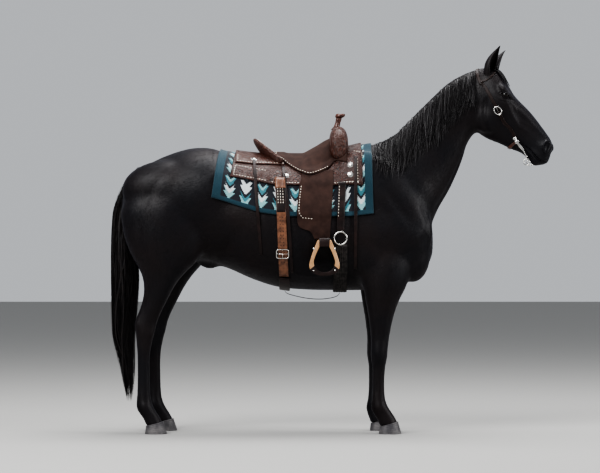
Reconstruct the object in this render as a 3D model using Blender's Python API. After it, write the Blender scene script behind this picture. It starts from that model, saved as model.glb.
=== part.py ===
"""A life-size standing horse in western tack, as closed solids.

Units are metres and +Z is up. The horse faces +X and stands on z = 0 with its middle plane on y = 0.
Its right side is towards -Y. The head and upper neck turn a little to that side.
The body is shaped whole from lofted masses, fused into one skin, and then parted with thin cuts.
The tack is wrapped on the finished body with rays cast from the body's own middle line.
"""

import math
from collections import namedtuple

import bmesh
import bpy
from mathutils import Matrix, Vector
from mathutils.bvhtree import BVHTree

# ---------------------------------------------------------------- driving sizes
GAP = 0.0003
FIT_GAP = 0.0006
LAYER_GAP = 0.0012
SETTLE_ROUNDS = 60
SETTLE_STEP = 0.001
FUSE_VOXEL = 0.010
FINE_SMOOTHING = 3
BODY_SMOOTHING = 22
REST_TRIANGLES = 1800
HEAD_TRIANGLES = 620
FLAT_ANGLE = math.radians(0.2)
SIDES = {"right": -1.0, "left": 1.0}
UP = Vector((0.0, 0.0, 1.0))
FORWARD = Vector((1.0, 0.0, 0.0))
LEFT = Vector((0.0, 1.0, 0.0))

HEAD_YAW = math.radians(-12.0)
HEAD_PIVOT = Vector((0.83, -0.012, 1.90))
FACE_TOP = Vector((0.9136, -0.012, 1.964))
FACE_SLOPE = math.radians(52.6)
EYE_RADIUS = 0.0215
EYE_ALONG = 0.137
EYE_DEEP = 0.048
EYE_OUT = 0.0815

FORE_FOOT_Y = 0.130
HIND_FOOT_Y = 0.135

MATERIALS = {
    "coat": ((0.020, 0.016, 0.020), 0.50, 0.0),
    "mane_hair": ((0.012, 0.010, 0.012), 0.45, 0.0),
    "tail_hair": ((0.014, 0.012, 0.013), 0.45, 0.0),
    "hoof_horn": ((0.130, 0.125, 0.135), 0.60, 0.0),
    "eye": ((0.015, 0.008, 0.005), 0.06, 0.0),
    "blanket_wool": ((0.030, 0.160, 0.200), 0.95, 0.0),
    "saddle_leather": ((0.120, 0.045, 0.030), 0.50, 0.0),
    "suede": ((0.075, 0.035, 0.028), 0.90, 0.0),
    "tooled_leather": ((0.170, 0.060, 0.035), 0.45, 0.0),
    "tan_leather": ((0.420, 0.190, 0.100), 0.50, 0.0),
    "dark_leather": ((0.045, 0.022, 0.018), 0.50, 0.0),
    "bridle_leather": ((0.060, 0.035, 0.028), 0.50, 0.0),
    "silver": ((0.700, 0.690, 0.660), 0.25, 1.0),
    "stirrup_wood": ((0.600, 0.400, 0.240), 0.45, 0.0),
    "mohair": ((0.110, 0.095, 0.085), 0.95, 0.0),
}

# A slice across the trunk: heights of its top, bottom and widest level, and its half width there.
Slice = namedtuple("Slice", "x top bottom widest half above below")
TRUNK = (
    Slice(-1.105, 1.330, 1.020, 1.20, 0.100, 2.0, 2.0),
    Slice(-1.060, 1.405, 0.960, 1.20, 0.165, 2.0, 2.0),
    Slice(-0.980, 1.462, 0.920, 1.22, 0.222, 2.0, 2.0),
    Slice(-0.880, 1.508, 0.920, 1.25, 0.262, 2.1, 2.0),
    Slice(-0.760, 1.543, 0.930, 1.28, 0.282, 2.1, 2.0),
    Slice(-0.650, 1.544, 0.915, 1.28, 0.286, 2.1, 2.0),
    Slice(-0.550, 1.515, 0.885, 1.22, 0.283, 2.1, 2.0),
    Slice(-0.420, 1.494, 0.828, 1.16, 0.300, 2.1, 2.1),
    Slice(-0.280, 1.487, 0.785, 1.13, 0.307, 2.0, 2.1),
    Slice(-0.120, 1.490, 0.771, 1.12, 0.300, 1.8, 2.1),
    Slice(0.020, 1.520, 0.769, 1.11, 0.278, 1.6, 2.1),
    Slice(0.140, 1.553, 0.768, 1.09, 0.250, 1.5, 2.0),
    Slice(0.250, 1.565, 0.775, 1.08, 0.235, 1.5, 2.0),
    Slice(0.360, 1.520, 0.800, 1.08, 0.228, 1.7, 2.0),
    Slice(0.460, 1.400, 0.835, 1.06, 0.205, 1.9, 2.0),
    Slice(0.530, 1.220, 0.905, 1.03, 0.150, 2.0, 2.0),
    Slice(0.556, 1.100, 0.970, 1.03, 0.070, 2.0, 2.0),
)

# A slice across the neck, from its crest to its throat line.
Collar = namedtuple("Collar", "crest_x crest_z throat_x throat_z half level sway")
NECK = (
    Collar(0.140, 1.540, 0.500, 1.000, 0.190, 0.60, 0.000),
    Collar(0.270, 1.578, 0.577, 1.188, 0.165, 0.60, 0.000),
    Collar(0.345, 1.620, 0.615, 1.258, 0.140, 0.58, 0.000),
    Collar(0.430, 1.706, 0.652, 1.325, 0.120, 0.56, 0.000),
    Collar(0.530, 1.806, 0.692, 1.412, 0.106, 0.55, -0.002),
    Collar(0.630, 1.898, 0.722, 1.492, 0.097, 0.52, -0.004),
    Collar(0.720, 1.950, 0.742, 1.560, 0.090, 0.50, -0.007),
    Collar(0.810, 1.980, 0.785, 1.625, 0.082, 0.50, -0.010),
    Collar(0.870, 1.980, 0.860, 1.700, 0.070, 0.50, -0.012),
)

# A slice across the head, measured along the face line from the forehead and back from it.
Mask = namedtuple("Mask", "along front back deep half above below")
HEAD = (
    Mask(-0.050, 0.030, 0.160, 0.090, 0.050, 2.0, 2.0),
    Mask(0.000, 0.004, 0.210, 0.090, 0.076, 2.2, 2.0),
    Mask(0.050, 0.004, 0.250, 0.080, 0.090, 2.4, 1.9),
    Mask(0.100, 0.010, 0.275, 0.072, 0.100, 2.5, 1.8),
    Mask(0.150, 0.017, 0.288, 0.076, 0.100, 2.4, 1.8),
    Mask(0.200, 0.014, 0.298, 0.086, 0.089, 2.2, 1.8),
    Mask(0.260, 0.006, 0.277, 0.090, 0.075, 2.1, 1.8),
    Mask(0.320, 0.003, 0.242, 0.090, 0.064, 2.1, 1.9),
    Mask(0.380, 0.004, 0.212, 0.085, 0.056, 2.1, 2.0),
    Mask(0.430, 0.006, 0.182, 0.080, 0.054, 2.2, 2.1),
    Mask(0.475, 0.011, 0.174, 0.076, 0.058, 2.3, 2.1),
    Mask(0.510, 0.033, 0.170, 0.084, 0.055, 2.3, 2.1),
    Mask(0.540, 0.070, 0.146, 0.100, 0.042, 2.2, 2.1),
    Mask(0.557, 0.094, 0.118, 0.105, 0.018, 2.0, 2.0),
)

# Rounded masses of the head: place along, back and out, then the three radii in that order.
Lump = namedtuple("Lump", "along deep out r_along r_deep r_out")
HEAD_LUMPS = (
    Lump(0.165, 0.190, 0.046, 0.100, 0.098, 0.046),
    Lump(0.112, 0.046, 0.078, 0.046, 0.030, 0.028),
    Lump(0.240, 0.104, 0.060, 0.085, 0.015, 0.016),
    Lump(0.487, 0.047, 0.040, 0.036, 0.032, 0.024),
    Lump(0.507, 0.152, 0.010, 0.032, 0.022, 0.028),
)

# A level slice through a leg.
Level = namedtuple("Level", "z back front out half")
FORELEG = (
    Level(1.060, 0.150, 0.430, 0.130, 0.070),
    Level(0.920, 0.140, 0.435, 0.148, 0.085),
    Level(0.800, 0.168, 0.412, 0.152, 0.082),
    Level(0.720, 0.182, 0.372, 0.148, 0.070),
    Level(0.620, 0.200, 0.338, 0.144, 0.057),
    Level(0.520, 0.212, 0.317, 0.140, 0.047),
    Level(0.455, 0.212, 0.309, 0.138, 0.050),
    Level(0.410, 0.212, 0.306, 0.137, 0.047),
    Level(0.365, 0.220, 0.297, 0.136, 0.036),
    Level(0.280, 0.221, 0.291, 0.135, 0.030),
    Level(0.190, 0.219, 0.296, 0.134, 0.032),
    Level(0.145, 0.215, 0.312, 0.132, 0.040),
    Level(0.110, 0.226, 0.335, 0.131, 0.038),
    Level(0.075, 0.248, 0.356, 0.130, 0.040),
    Level(0.040, 0.262, 0.364, 0.130, 0.044),
)
HINDLEG = (
    Level(1.360, -1.000, -0.760, 0.140, 0.090),
    Level(1.230, -1.124, -0.680, 0.152, 0.124),
    Level(1.110, -1.124, -0.650, 0.158, 0.128),
    Level(1.010, -1.098, -0.668, 0.162, 0.118),
    Level(0.930, -1.060, -0.715, 0.162, 0.102),
    Level(0.860, -1.022, -0.785, 0.158, 0.085),
    Level(0.800, -1.010, -0.832, 0.154, 0.072),
    Level(0.730, -1.014, -0.870, 0.150, 0.060),
    Level(0.660, -1.036, -0.906, 0.146, 0.050),
    Level(0.605, -1.058, -0.930, 0.143, 0.044),
    Level(0.550, -1.055, -0.944, 0.141, 0.046),
    Level(0.490, -1.048, -0.960, 0.139, 0.041),
    Level(0.410, -1.044, -0.972, 0.138, 0.033),
    Level(0.290, -1.044, -0.972, 0.137, 0.031),
    Level(0.190, -1.047, -0.966, 0.136, 0.034),
    Level(0.140, -1.046, -0.950, 0.136, 0.041),
    Level(0.105, -1.028, -0.928, 0.135, 0.039),
    Level(0.070, -1.006, -0.908, 0.135, 0.040),
    Level(0.040, -0.996, -0.898, 0.135, 0.043),
)
LEFT_FORE_SHIFT = -0.013
LEFT_FORE_FOOT_SHIFT = -0.042
LEFT_HIND_SHIFT = 0.044

Hoof = namedtuple("Hoof", "heel toe half_top half_sole toe_height heel_height rake")
FORE_HOOF = Hoof(0.257, 0.381, 0.048, 0.060, 0.066, 0.038, 0.020)
HIND_HOOF = Hoof(-1.002, -0.882, 0.046, 0.056, 0.066, 0.042, 0.022)

TAIL = (
    Level(1.440, -1.060, -0.990, 0.0, 0.030),
    Level(1.400, -1.112, -0.990, 0.0, 0.038),
    Level(1.330, -1.152, -1.020, 0.0, 0.048),
    Level(1.200, -1.187, -1.060, 0.0, 0.058),
    Level(1.030, -1.194, -1.060, 0.0, 0.066),
    Level(0.860, -1.197, -1.036, 0.0, 0.070),
    Level(0.700, -1.196, -1.044, 0.0, 0.066),
    Level(0.520, -1.186, -1.062, 0.0, 0.054),
    Level(0.430, -1.160, -1.064, 0.0, 0.042),
    Level(0.300, -1.134, -1.066, 0.0, 0.030),
    Level(0.165, -1.104, -1.078, 0.0, 0.010),
)


# ---------------------------------------------------------------- making meshes
def clear_scene():
    for obj in list(bpy.data.objects):
        bpy.data.objects.remove(obj, do_unlink=True)


def material(slot):
    found = bpy.data.materials.get(slot)
    if found:
        return found
    colour, roughness, metallic = MATERIALS[slot]
    made = bpy.data.materials.new(slot)
    made.use_nodes = True
    shader = made.node_tree.nodes["Principled BSDF"]
    shader.inputs["Base Color"].default_value = (*colour, 1.0)
    shader.inputs["Roughness"].default_value = roughness
    shader.inputs["Metallic"].default_value = metallic
    return made


def put(name, bm, slot, smooth=True):
    """Turns a bmesh into a named object with its material."""
    mesh = bpy.data.meshes.new(name)
    bm.to_mesh(mesh)
    bm.free()
    mesh.materials.append(material(slot))
    if smooth:
        mesh.shade_smooth()
        mesh.set_sharp_from_angle(angle=math.radians(40.0))
    obj = bpy.data.objects.new(name, mesh)
    bpy.context.scene.collection.objects.link(obj)
    return obj


def discard(obj):
    mesh = obj.data
    bpy.data.objects.remove(obj, do_unlink=True)
    bpy.data.meshes.remove(mesh)


def bake(obj):
    """Applies an object's modifiers to its mesh."""
    bpy.context.view_layer.update()
    graph = bpy.context.evaluated_depsgraph_get()
    mesh = bpy.data.meshes.new_from_object(obj.evaluated_get(graph))
    old = obj.data
    obj.modifiers.clear()
    obj.data = mesh
    bpy.data.meshes.remove(old)
    return obj


def loft(bm, rings):
    """Skins a row of rings and closes both ends with a fan."""
    rows = [[bm.verts.new(point) for point in ring] for ring in rings]
    count = len(rows[0])
    for lower, upper in zip(rows, rows[1:]):
        for k in range(count):
            j = (k + 1) % count
            bm.faces.new((lower[k], lower[j], upper[j], upper[k]))
    for row in (rows[0], rows[-1]):
        hub = bm.verts.new(sum((v.co for v in row), Vector()) / count)
        for k in range(count):
            bm.faces.new((row[k], row[(k + 1) % count], hub))
    bmesh.ops.recalc_face_normals(bm, faces=bm.faces)


def solid(rings):
    bm = bmesh.new()
    loft(bm, rings)
    return bm


def refine(stations, steps):
    """Runs a smooth curve through every field of a row of stations."""
    kind = type(stations[0])
    rows = []
    last = len(stations) - 1
    for i in range(last):
        before = stations[max(i - 1, 0)]
        after = stations[min(i + 2, last)]
        for k in range(steps):
            t = k / steps
            values = []
            for a, b, c, d in zip(before, stations[i], stations[i + 1], after):
                curve = 2 * b + (c - a) * t + (2 * a - 5 * b + 4 * c - d) * t * t
                curve += (3 * b - a - 3 * c + d) * t ** 3
                values.append(0.5 * curve)
            rows.append(kind(*values))
    rows.append(stations[last])
    return rows


def egg(centre, up, side, above, below, half, above_power=2.0, below_power=2.0, count=24):
    """A closed ring, rounder or squarer above and below its widest level."""
    ring = []
    for k in range(count):
        angle = 2 * math.pi * k / count
        c, s = math.cos(angle), math.sin(angle)
        power = 2.0 / (above_power if c >= 0 else below_power)
        reach = (above if c >= 0 else below) * math.copysign(abs(c) ** power, c)
        out = half * math.copysign(abs(s) ** power, s)
        ring.append(centre + up * reach + side * out)
    return ring


def ball(centre, axes, radii, segments=16, rows=10):
    """Rings of an ellipsoid along its first axis."""
    rings = []
    for i in range(1, rows):
        angle = math.pi * i / rows
        middle = centre - axes[0] * (radii[0] * math.cos(angle))
        size = math.sin(angle)
        rings.append(egg(middle, axes[1], axes[2], radii[1] * size, radii[1] * size,
                         radii[2] * size, count=segments))
    return rings


# ---------------------------------------------------------------- the body's masses
def trunk_rings():
    rings = []
    for cut in refine(TRUNK, 3):
        centre = Vector((cut.x, 0.0, cut.widest))
        rings.append(egg(centre, UP, LEFT, cut.top - cut.widest, cut.widest - cut.bottom,
                         cut.half, cut.above, cut.below, 40))
    return rings


def neck_rings():
    rings = []
    for cut in refine(NECK, 3):
        crest = Vector((cut.crest_x, cut.sway, cut.crest_z))
        throat = Vector((cut.throat_x, cut.sway, cut.throat_z))
        up = (crest - throat).normalized()
        middle = throat.lerp(crest, 1.0 - cut.level)
        rings.append(egg(middle, up, LEFT, (crest - middle).length, (middle - throat).length,
                         cut.half, 1.5, 2.1, 32))
    return rings


def head_point(along, deep, out):
    """Places a point of the head: down the face line, back from it and out to the left."""
    down = Vector((math.cos(FACE_SLOPE), 0.0, -math.sin(FACE_SLOPE)))
    back = Vector((-math.sin(FACE_SLOPE), 0.0, -math.cos(FACE_SLOPE)))
    flat = FACE_TOP + down * along + back * deep + LEFT * out - HEAD_PIVOT
    flat.x /= math.cos(HEAD_YAW)
    return HEAD_PIVOT + Matrix.Rotation(HEAD_YAW, 3, "Z") @ flat


def head_axes():
    origin = head_point(0.0, 0.0, 0.0)
    return tuple((head_point(*step) - origin).normalized()
                 for step in ((1.0, 0.0, 0.0), (0.0, 1.0, 0.0), (0.0, 0.0, 1.0)))


def head_rings():
    rings = []
    for cut in refine(HEAD, 3):
        flat = egg(Vector((cut.along, cut.deep, 0.0)), Vector((0.0, -1.0, 0.0)),
                   Vector((0.0, 0.0, 1.0)), cut.deep - cut.front, cut.back - cut.deep,
                   cut.half, cut.above, cut.below, 32)
        rings.append([head_point(*point) for point in flat])
    return rings


def ease(value, start, end):
    t = min(max((value - start) / (end - start), 0.0), 1.0)
    return t * t * (3.0 - 2.0 * t)


def foreleg_shift(z):
    foot = 1.0 - ease(z, 0.06, 0.17)
    return LEFT_FORE_SHIFT * (1.0 - ease(z, 0.75, 1.0)) * (1.0 - foot) + LEFT_FORE_FOOT_SHIFT * foot


def hindleg_shift(z):
    return LEFT_HIND_SHIFT * (1.0 - ease(z, 0.80, 1.15))


def leg_rings(levels, side, shift, count=24):
    rings = []
    for cut in refine(levels, 3):
        slide = shift(cut.z) if side > 0 else 0.0
        reach = 0.5 * (cut.front - cut.back)
        centre = Vector((0.5 * (cut.front + cut.back) + slide, side * cut.out, cut.z))
        rings.append(egg(centre, FORWARD, LEFT, reach, reach, cut.half, count=count))
    return rings


def muscle_rings():
    """Rounded masses that a plain loft lacks, the same on both sides."""
    blade = Vector((0.62, 0.0, -0.78)).normalized()
    across = blade.cross(LEFT)
    masses = []
    for side in SIDES.values():
        masses.append(ball(Vector((0.290, side * 0.130, 1.225)), (blade, across, LEFT),
                           (0.340, 0.200, 0.088)))
        masses.append(ball(Vector((0.440, side * 0.090, 0.960)), (UP, FORWARD, LEFT),
                           (0.150, 0.100, 0.095)))
        masses.append(ball(Vector((0.200, side * 0.160, 0.980)), (UP, FORWARD, LEFT),
                           (0.150, 0.110, 0.075)))
        masses.append(ball(Vector((-0.860, side * 0.125, 1.310)), (FORWARD, UP, LEFT),
                           (0.270, 0.170, 0.140)))
        masses.append(ball(Vector((-1.060, side * 0.085, 1.200)), (UP, FORWARD, LEFT),
                           (0.160, 0.075, 0.070)))
        for lump in HEAD_LUMPS:
            masses.append(ball(head_point(lump.along, lump.deep, side * lump.out), head_axes(),
                               (lump.r_along, lump.r_deep, lump.r_out)))
    masses.append(ball(Vector((-0.655, 0.0, 0.925)), (FORWARD, UP, LEFT), (0.070, 0.042, 0.030)))
    return masses


def fused_body():
    """The whole body as one closed skin of few faces."""
    bm = bmesh.new()
    loft(bm, trunk_rings())
    loft(bm, neck_rings())
    loft(bm, head_rings())
    for side in SIDES.values():
        loft(bm, leg_rings(FORELEG, side, foreleg_shift))
        loft(bm, leg_rings(HINDLEG, side, hindleg_shift))
    for rings in muscle_rings():
        loft(bm, rings)
    body = put("body_whole", bm, "coat")
    remesh = body.modifiers.new("fuse", "REMESH")
    remesh.mode = "VOXEL"
    remesh.voxel_size = FUSE_VOXEL
    bake(body)
    groups = {name: body.vertex_groups.new(name=name) for name in ("large", "head", "rest")}
    for vert in body.data.vertices:
        head = ease(vert.co.x, 0.74, 0.86) * ease(vert.co.z, 1.35, 1.45)
        leg = 1.0 - ease(vert.co.z, 0.45, 0.85)
        groups["large"].add([vert.index], 1.0 - max(head, leg), "REPLACE")
        groups["head" if head > 0.5 else "rest"].add([vert.index], 1.0, "REPLACE")
    for name, rounds in (("", FINE_SMOOTHING), ("large", BODY_SMOOTHING)):
        smooth = body.modifiers.new("soften_" + name, "SMOOTH")
        smooth.factor = 0.5
        smooth.iterations = rounds
        smooth.vertex_group = name
    bake(body)
    for name, target in (("rest", REST_TRIANGLES), ("head", HEAD_TRIANGLES)):
        thin_out(body, name, target)
    return body


def thin_out(obj, group, target):
    """Thins the faces of one vertex group down to a number of triangles."""
    index = obj.vertex_groups[group].index
    inside = {vert.index for vert in obj.data.vertices
              if any(item.group == index for item in vert.groups)}
    total = 0
    chosen = 0
    for face in obj.data.polygons:
        triangles = len(face.vertices) - 2
        total += triangles
        if face.vertices[0] in inside:
            chosen += triangles
    thin = obj.modifiers.new("thin_" + group, "DECIMATE")
    thin.ratio = (total - chosen + target) / total
    thin.vertex_group = group
    thin.vertex_group_factor = 1000.0
    bake(obj)


def body_without(zones, body, name):
    """The body less some zones, as a new node."""
    obj = copy_of(body, name)
    for zone in zones:
        carve(obj, zone, "DIFFERENCE")
    return keep_largest(bake(obj))


# ---------------------------------------------------------------- parting the body
def copy_of(obj, name):
    made = bpy.data.objects.new(name, obj.data.copy())
    made.data.name = name
    made.vertex_groups.clear()
    bpy.context.scene.collection.objects.link(made)
    return made


def carve(obj, tool, operation):
    """Adds an exact Boolean whose tool isn't part of the model."""
    tool.hide_render = True
    tool.display_type = "WIRE"
    cut = obj.modifiers.new("cut_" + tool.name, "BOOLEAN")
    cut.operation = operation
    cut.object = tool


def breadth(verts):
    """The length of the diagonal of the box round some vertices."""
    spans = [[vert.co[axis] for vert in verts] for axis in range(3)]
    return math.sqrt(sum((max(span) - min(span)) ** 2 for span in spans))


def keep_largest(obj):
    """Drops the crumbs that a cut can leave beside the widest solid."""
    bm = bmesh.new()
    bm.from_mesh(obj.data)
    bmesh.ops.remove_doubles(bm, verts=bm.verts, dist=1e-6)
    bmesh.ops.dissolve_degenerate(bm, edges=bm.edges, dist=1e-6)
    left = set(bm.verts)
    islands = []
    while left:
        island = set()
        stack = [left.pop()]
        while stack:
            vert = stack.pop()
            island.add(vert)
            for edge in vert.link_edges:
                other = edge.other_vert(vert)
                if other in left:
                    left.discard(other)
                    stack.append(other)
        islands.append(island)
    islands.sort(key=breadth)
    for island in islands[:-1]:
        bmesh.ops.delete(bm, geom=list(island), context="VERTS")
    bmesh.ops.dissolve_limit(bm, angle_limit=FLAT_ANGLE, verts=bm.verts, edges=bm.edges)
    bmesh.ops.triangulate(bm, faces=bm.faces)
    bmesh.ops.recalc_face_normals(bm, faces=bm.faces)
    bm.to_mesh(obj.data)
    bm.free()
    return obj


def beyond(name, point, normal):
    """A large block that fills the space past a plane."""
    bm = bmesh.new()
    reach = 3.0
    bmesh.ops.create_cube(bm, size=reach)
    turn = normal.to_track_quat("Z", "Y").to_matrix().to_4x4()
    place = Matrix.Translation(point + normal * (0.5 * reach)) @ turn
    bmesh.ops.transform(bm, matrix=place, verts=bm.verts)
    return put(name, bm, "coat", smooth=False)


def leg_zone(name, side, reach, height, rise, back_rise, grow):
    """A block round one leg, whose roof climbs outwards, and to the rear by its back rise."""
    bm = bmesh.new()
    inner, outer = 0.004 - grow, 0.5
    middle = 0.5 * (reach[0] + reach[1])
    corners = []
    for x in reach:
        for y in (inner, outer):
            top = height + rise * (y - 0.02) + back_rise * (middle - x) + grow
            corners.append((Vector((x, side * y, -0.2)), Vector((x, side * y, top))))
    low = [bm.verts.new(pair[0]) for pair in corners]
    high = [bm.verts.new(pair[1]) for pair in corners]
    for a, b in ((0, 1), (1, 3), (3, 2), (2, 0)):
        bm.faces.new((low[a], low[b], high[b], high[a]))
    for row in (low, high):
        bm.faces.new((row[0], row[1], row[3], row[2]))
    bmesh.ops.recalc_face_normals(bm, faces=bm.faces)
    return put(name, bm, "coat", smooth=False)


FORE_ZONE = ((-0.10, 0.52), 0.745, 0.5, 0.0)
HIND_ZONE = ((-1.25, -0.40), 0.895, 0.4, 0.2)
NECK_CUT = (Vector((0.395, 0.0, 1.35)), Vector((0.857, 0.0, 0.514)).normalized())
HEAD_CUT = (Vector((0.767, 0.0, 1.787)), Vector((0.9885, 0.0, -0.151)).normalized())


def coronet_plane(spec, slide):
    """A point on the top of a hoof and the upward normal there."""
    front = Vector((spec.toe - spec.rake + slide, 0.0, spec.toe_height))
    rear = Vector((spec.heel + slide, 0.0, spec.heel_height))
    slope = (front - rear).normalized()
    return 0.5 * (front + rear), Vector((-slope.z, 0.0, slope.x))


def part_body(body):
    """Parts the fused body into its named nodes."""
    nodes = {}
    zones = []
    legs = (("foreleg", FORE_ZONE, FORE_HOOF, LEFT_FORE_FOOT_SHIFT),
            ("hindleg", HIND_ZONE, HIND_HOOF, LEFT_HIND_SHIFT))
    for kind, zone, spec, left_shift in legs:
        for label, side in SIDES.items():
            slide = left_shift if side > 0 else 0.0
            node = copy_of(body, kind + "_" + label)
            keep = leg_zone("keep_" + node.name, side, *zone, 0.0)
            carve(node, keep, "INTERSECT")
            point, normal = coronet_plane(spec, slide)
            foot = beyond("foot_" + node.name, point, -normal)
            carve(node, foot, "DIFFERENCE")
            keep_largest(bake(node))
            discard(keep)
            discard(foot)
            nodes[node.name] = node
            zones.append(leg_zone("zone_" + node.name, side, *zone, GAP))
    front = beyond("zone_neck", *NECK_CUT)
    nodes["trunk"] = body_without(zones + [front], body, "trunk")
    front_gap = beyond("zone_neck_gap", NECK_CUT[0] + NECK_CUT[1] * GAP, NECK_CUT[1])
    face = beyond("zone_head", *HEAD_CUT)
    neck = copy_of(body, "neck")
    carve(neck, front_gap, "INTERSECT")
    carve(neck, face, "DIFFERENCE")
    nodes["neck"] = keep_largest(bake(neck))
    face_gap = beyond("zone_head_gap", HEAD_CUT[0] + HEAD_CUT[1] * GAP, HEAD_CUT[1])
    head = copy_of(body, "head")
    carve(head, face_gap, "INTERSECT")
    nodes["head"] = keep_largest(bake(head))
    for tool in zones + [front, front_gap, face, face_gap]:
        discard(tool)
    return nodes


def inflated(obj, amount):
    """A copy whose skin stands off by a small amount, for fitting a neighbour."""
    bm = bmesh.new()
    bm.from_mesh(obj.data)
    bm.normal_update()
    moves = [(vert, vert.normal.copy()) for vert in bm.verts]
    for vert, normal in moves:
        vert.co += normal * amount
    return put("fit_" + obj.name, bm, "coat", smooth=False)


def fit(obj, neighbours):
    """Cuts a piece back so that it meets its neighbours with a small gap."""
    tools = [inflated(other, FIT_GAP) for other in neighbours]
    for tool in tools:
        carve(obj, tool, "DIFFERENCE")
    bake(obj)
    for tool in tools:
        discard(tool)
    return keep_largest(obj)


# ---------------------------------------------------------------- hooves, eyes, ears and hair
def make_hoof(name, spec, side, out, slide):
    """A horn hoof with a flat sole and a slanted top."""
    point, normal = coronet_plane(spec, slide)
    point -= normal * GAP
    rings = []
    for share in (1.0, 0.55, 0.12, 0.0):
        front = spec.toe - spec.rake * share + slide
        back = spec.heel + 0.006 * share + slide
        half = spec.half_sole + (spec.half_top - spec.half_sole) * share
        if share == 0.0:
            front, back, half = front - 0.004, back + 0.004, half - 0.004
        centre = Vector((0.5 * (front + back), side * out, 0.0))
        reach = 0.5 * (front - back)
        ring = egg(centre, FORWARD, LEFT, reach, reach, half, 2.0, 2.8, 16)
        for p in ring:
            p.z = share * (point.z - (p.x - point.x) * normal.x / normal.z)
        rings.append(ring)
    return put(name, solid(rings), "hoof_horn")


def make_eye(label, side, grow=0.0):
    radius = EYE_RADIUS + grow
    centre = head_point(EYE_ALONG, EYE_DEEP, side * EYE_OUT)
    return put("eye_" + label, solid(ball(centre, head_axes()[::-1], (radius,) * 3, 12, 7)), "eye")


Ear = namedtuple("Ear", "base tip width turn")
EARS = {
    "right": Ear(Vector((0.848, -0.058, 1.915)), Vector((0.9170, -0.078, 2.098)), 0.037, -0.7),
    "left": Ear(Vector((0.870, 0.026, 1.912)), Vector((0.9545, 0.046, 2.080)), 0.037, 0.2),
}
EAR_SHAPE = ((0.0, 0.55), (0.20, 0.80), (0.38, 1.00), (0.54, 0.94), (0.70, 0.68), (0.87, 0.32), (0.98, 0.07))


def make_ear(label):
    """A pricked ear: a leaf with a hollow down its open side."""
    ear = EARS[label]
    axis = (ear.tip - ear.base).normalized()
    open_way = Matrix.Rotation(ear.turn, 3, axis) @ FORWARD
    open_way = (open_way - axis * open_way.dot(axis)).normalized()
    side_way = axis.cross(open_way)
    rings = []
    for share, wide in EAR_SHAPE:
        middle = ear.base.lerp(ear.tip, share)
        ring = []
        for k in range(10):
            angle = 2 * math.pi * k / 10
            hollow = 0.55 * max(0.0, math.cos(angle)) ** 2 * (1.0 - share)
            reach = ear.width * wide * math.cos(angle) * (1.0 - hollow) * 0.80
            ring.append(middle + open_way * reach + side_way * (ear.width * wide * math.sin(angle)))
        rings.append(ring)
    return put("ear_" + label, solid(rings), "coat")


def make_tail():
    rings = []
    for cut in TAIL:
        reach = 0.5 * (cut.front - cut.back)
        centre = Vector((0.5 * (cut.front + cut.back), 0.0, cut.z))
        rings.append(egg(centre, FORWARD, LEFT, reach, reach, cut.half, count=12))
    return put("tail", solid(rings), "tail_hair")


class Drape:
    """Finds the outermost of some surfaces along rays cast inwards."""

    def __init__(self, objects, far=1.2):
        self.far = far
        self.trees = []
        self.lay(*objects)

    def lay(self, *objects):
        for obj in objects:
            bm = bmesh.new()
            bm.from_mesh(obj.data)
            self.trees.append(BVHTree.FromBMesh(bm))
            bm.free()

    def reach(self, origin, way):
        """How far out of the origin the surface lies along a unit direction."""
        best = 0.0
        for tree in self.trees:
            hit = tree.ray_cast(origin + way * self.far, -way, self.far)
            if hit[0] is not None:
                best = max(best, self.far - hit[3])
        return best

    def touched(self, bm):
        """The corners of every face that cuts one of the surfaces."""
        bm.faces.ensure_lookup_table()
        tree = BVHTree.FromBMesh(bm)
        found = set()
        for other in self.trees:
            for face, _ in tree.overlap(other):
                found.update(vert.index for vert in bm.faces[face].verts)
        return found

    def angle_at(self, x, axis_z, side, z):
        """The angle from straight up at which the side surface passes a height."""
        low, high = 0.0, math.pi
        origin = Vector((x, 0.0, axis_z))
        for _ in range(24):
            angle = 0.5 * (low + high)
            way = spoke(side * angle)
            if (origin + way * self.reach(origin, way)).z > z:
                low = angle
            else:
                high = angle
        return 0.5 * (low + high)


def spoke(angle):
    """A direction in the crosswise plane, turned from straight up to the left."""
    return Vector((0.0, math.sin(angle), math.cos(angle)))


def grid_solid(rays, low, high):
    """A closed sheet between two depths over a grid of rays."""
    rows, columns = len(rays), len(rays[0])
    bm = bmesh.new()
    below, above = [], []
    for i in range(rows):
        below.append([])
        above.append([])
        for j in range(columns):
            origin, way = rays[i][j]
            below[i].append(bm.verts.new(origin + way * low[i][j]))
            above[i].append(bm.verts.new(origin + way * high[i][j]))
    for i in range(rows - 1):
        for j in range(columns - 1):
            bm.faces.new((above[i][j], above[i + 1][j], above[i + 1][j + 1], above[i][j + 1]))
            bm.faces.new((below[i][j], below[i][j + 1], below[i + 1][j + 1], below[i + 1][j]))
    rim = [(0, j) for j in range(columns)] + [(i, columns - 1) for i in range(1, rows)]
    rim += [(rows - 1, j) for j in range(columns - 2, -1, -1)] + [(i, 0) for i in range(rows - 2, 0, -1)]
    for (a, b), (c, d) in zip(rim, rim[1:] + rim[:1]):
        bm.faces.new((above[a][b], above[c][d], below[c][d], below[a][b]))
    bmesh.ops.recalc_face_normals(bm, faces=bm.faces)
    bmesh.ops.triangulate(bm, faces=bm.faces)
    bm.verts.index_update()
    return bm


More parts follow.
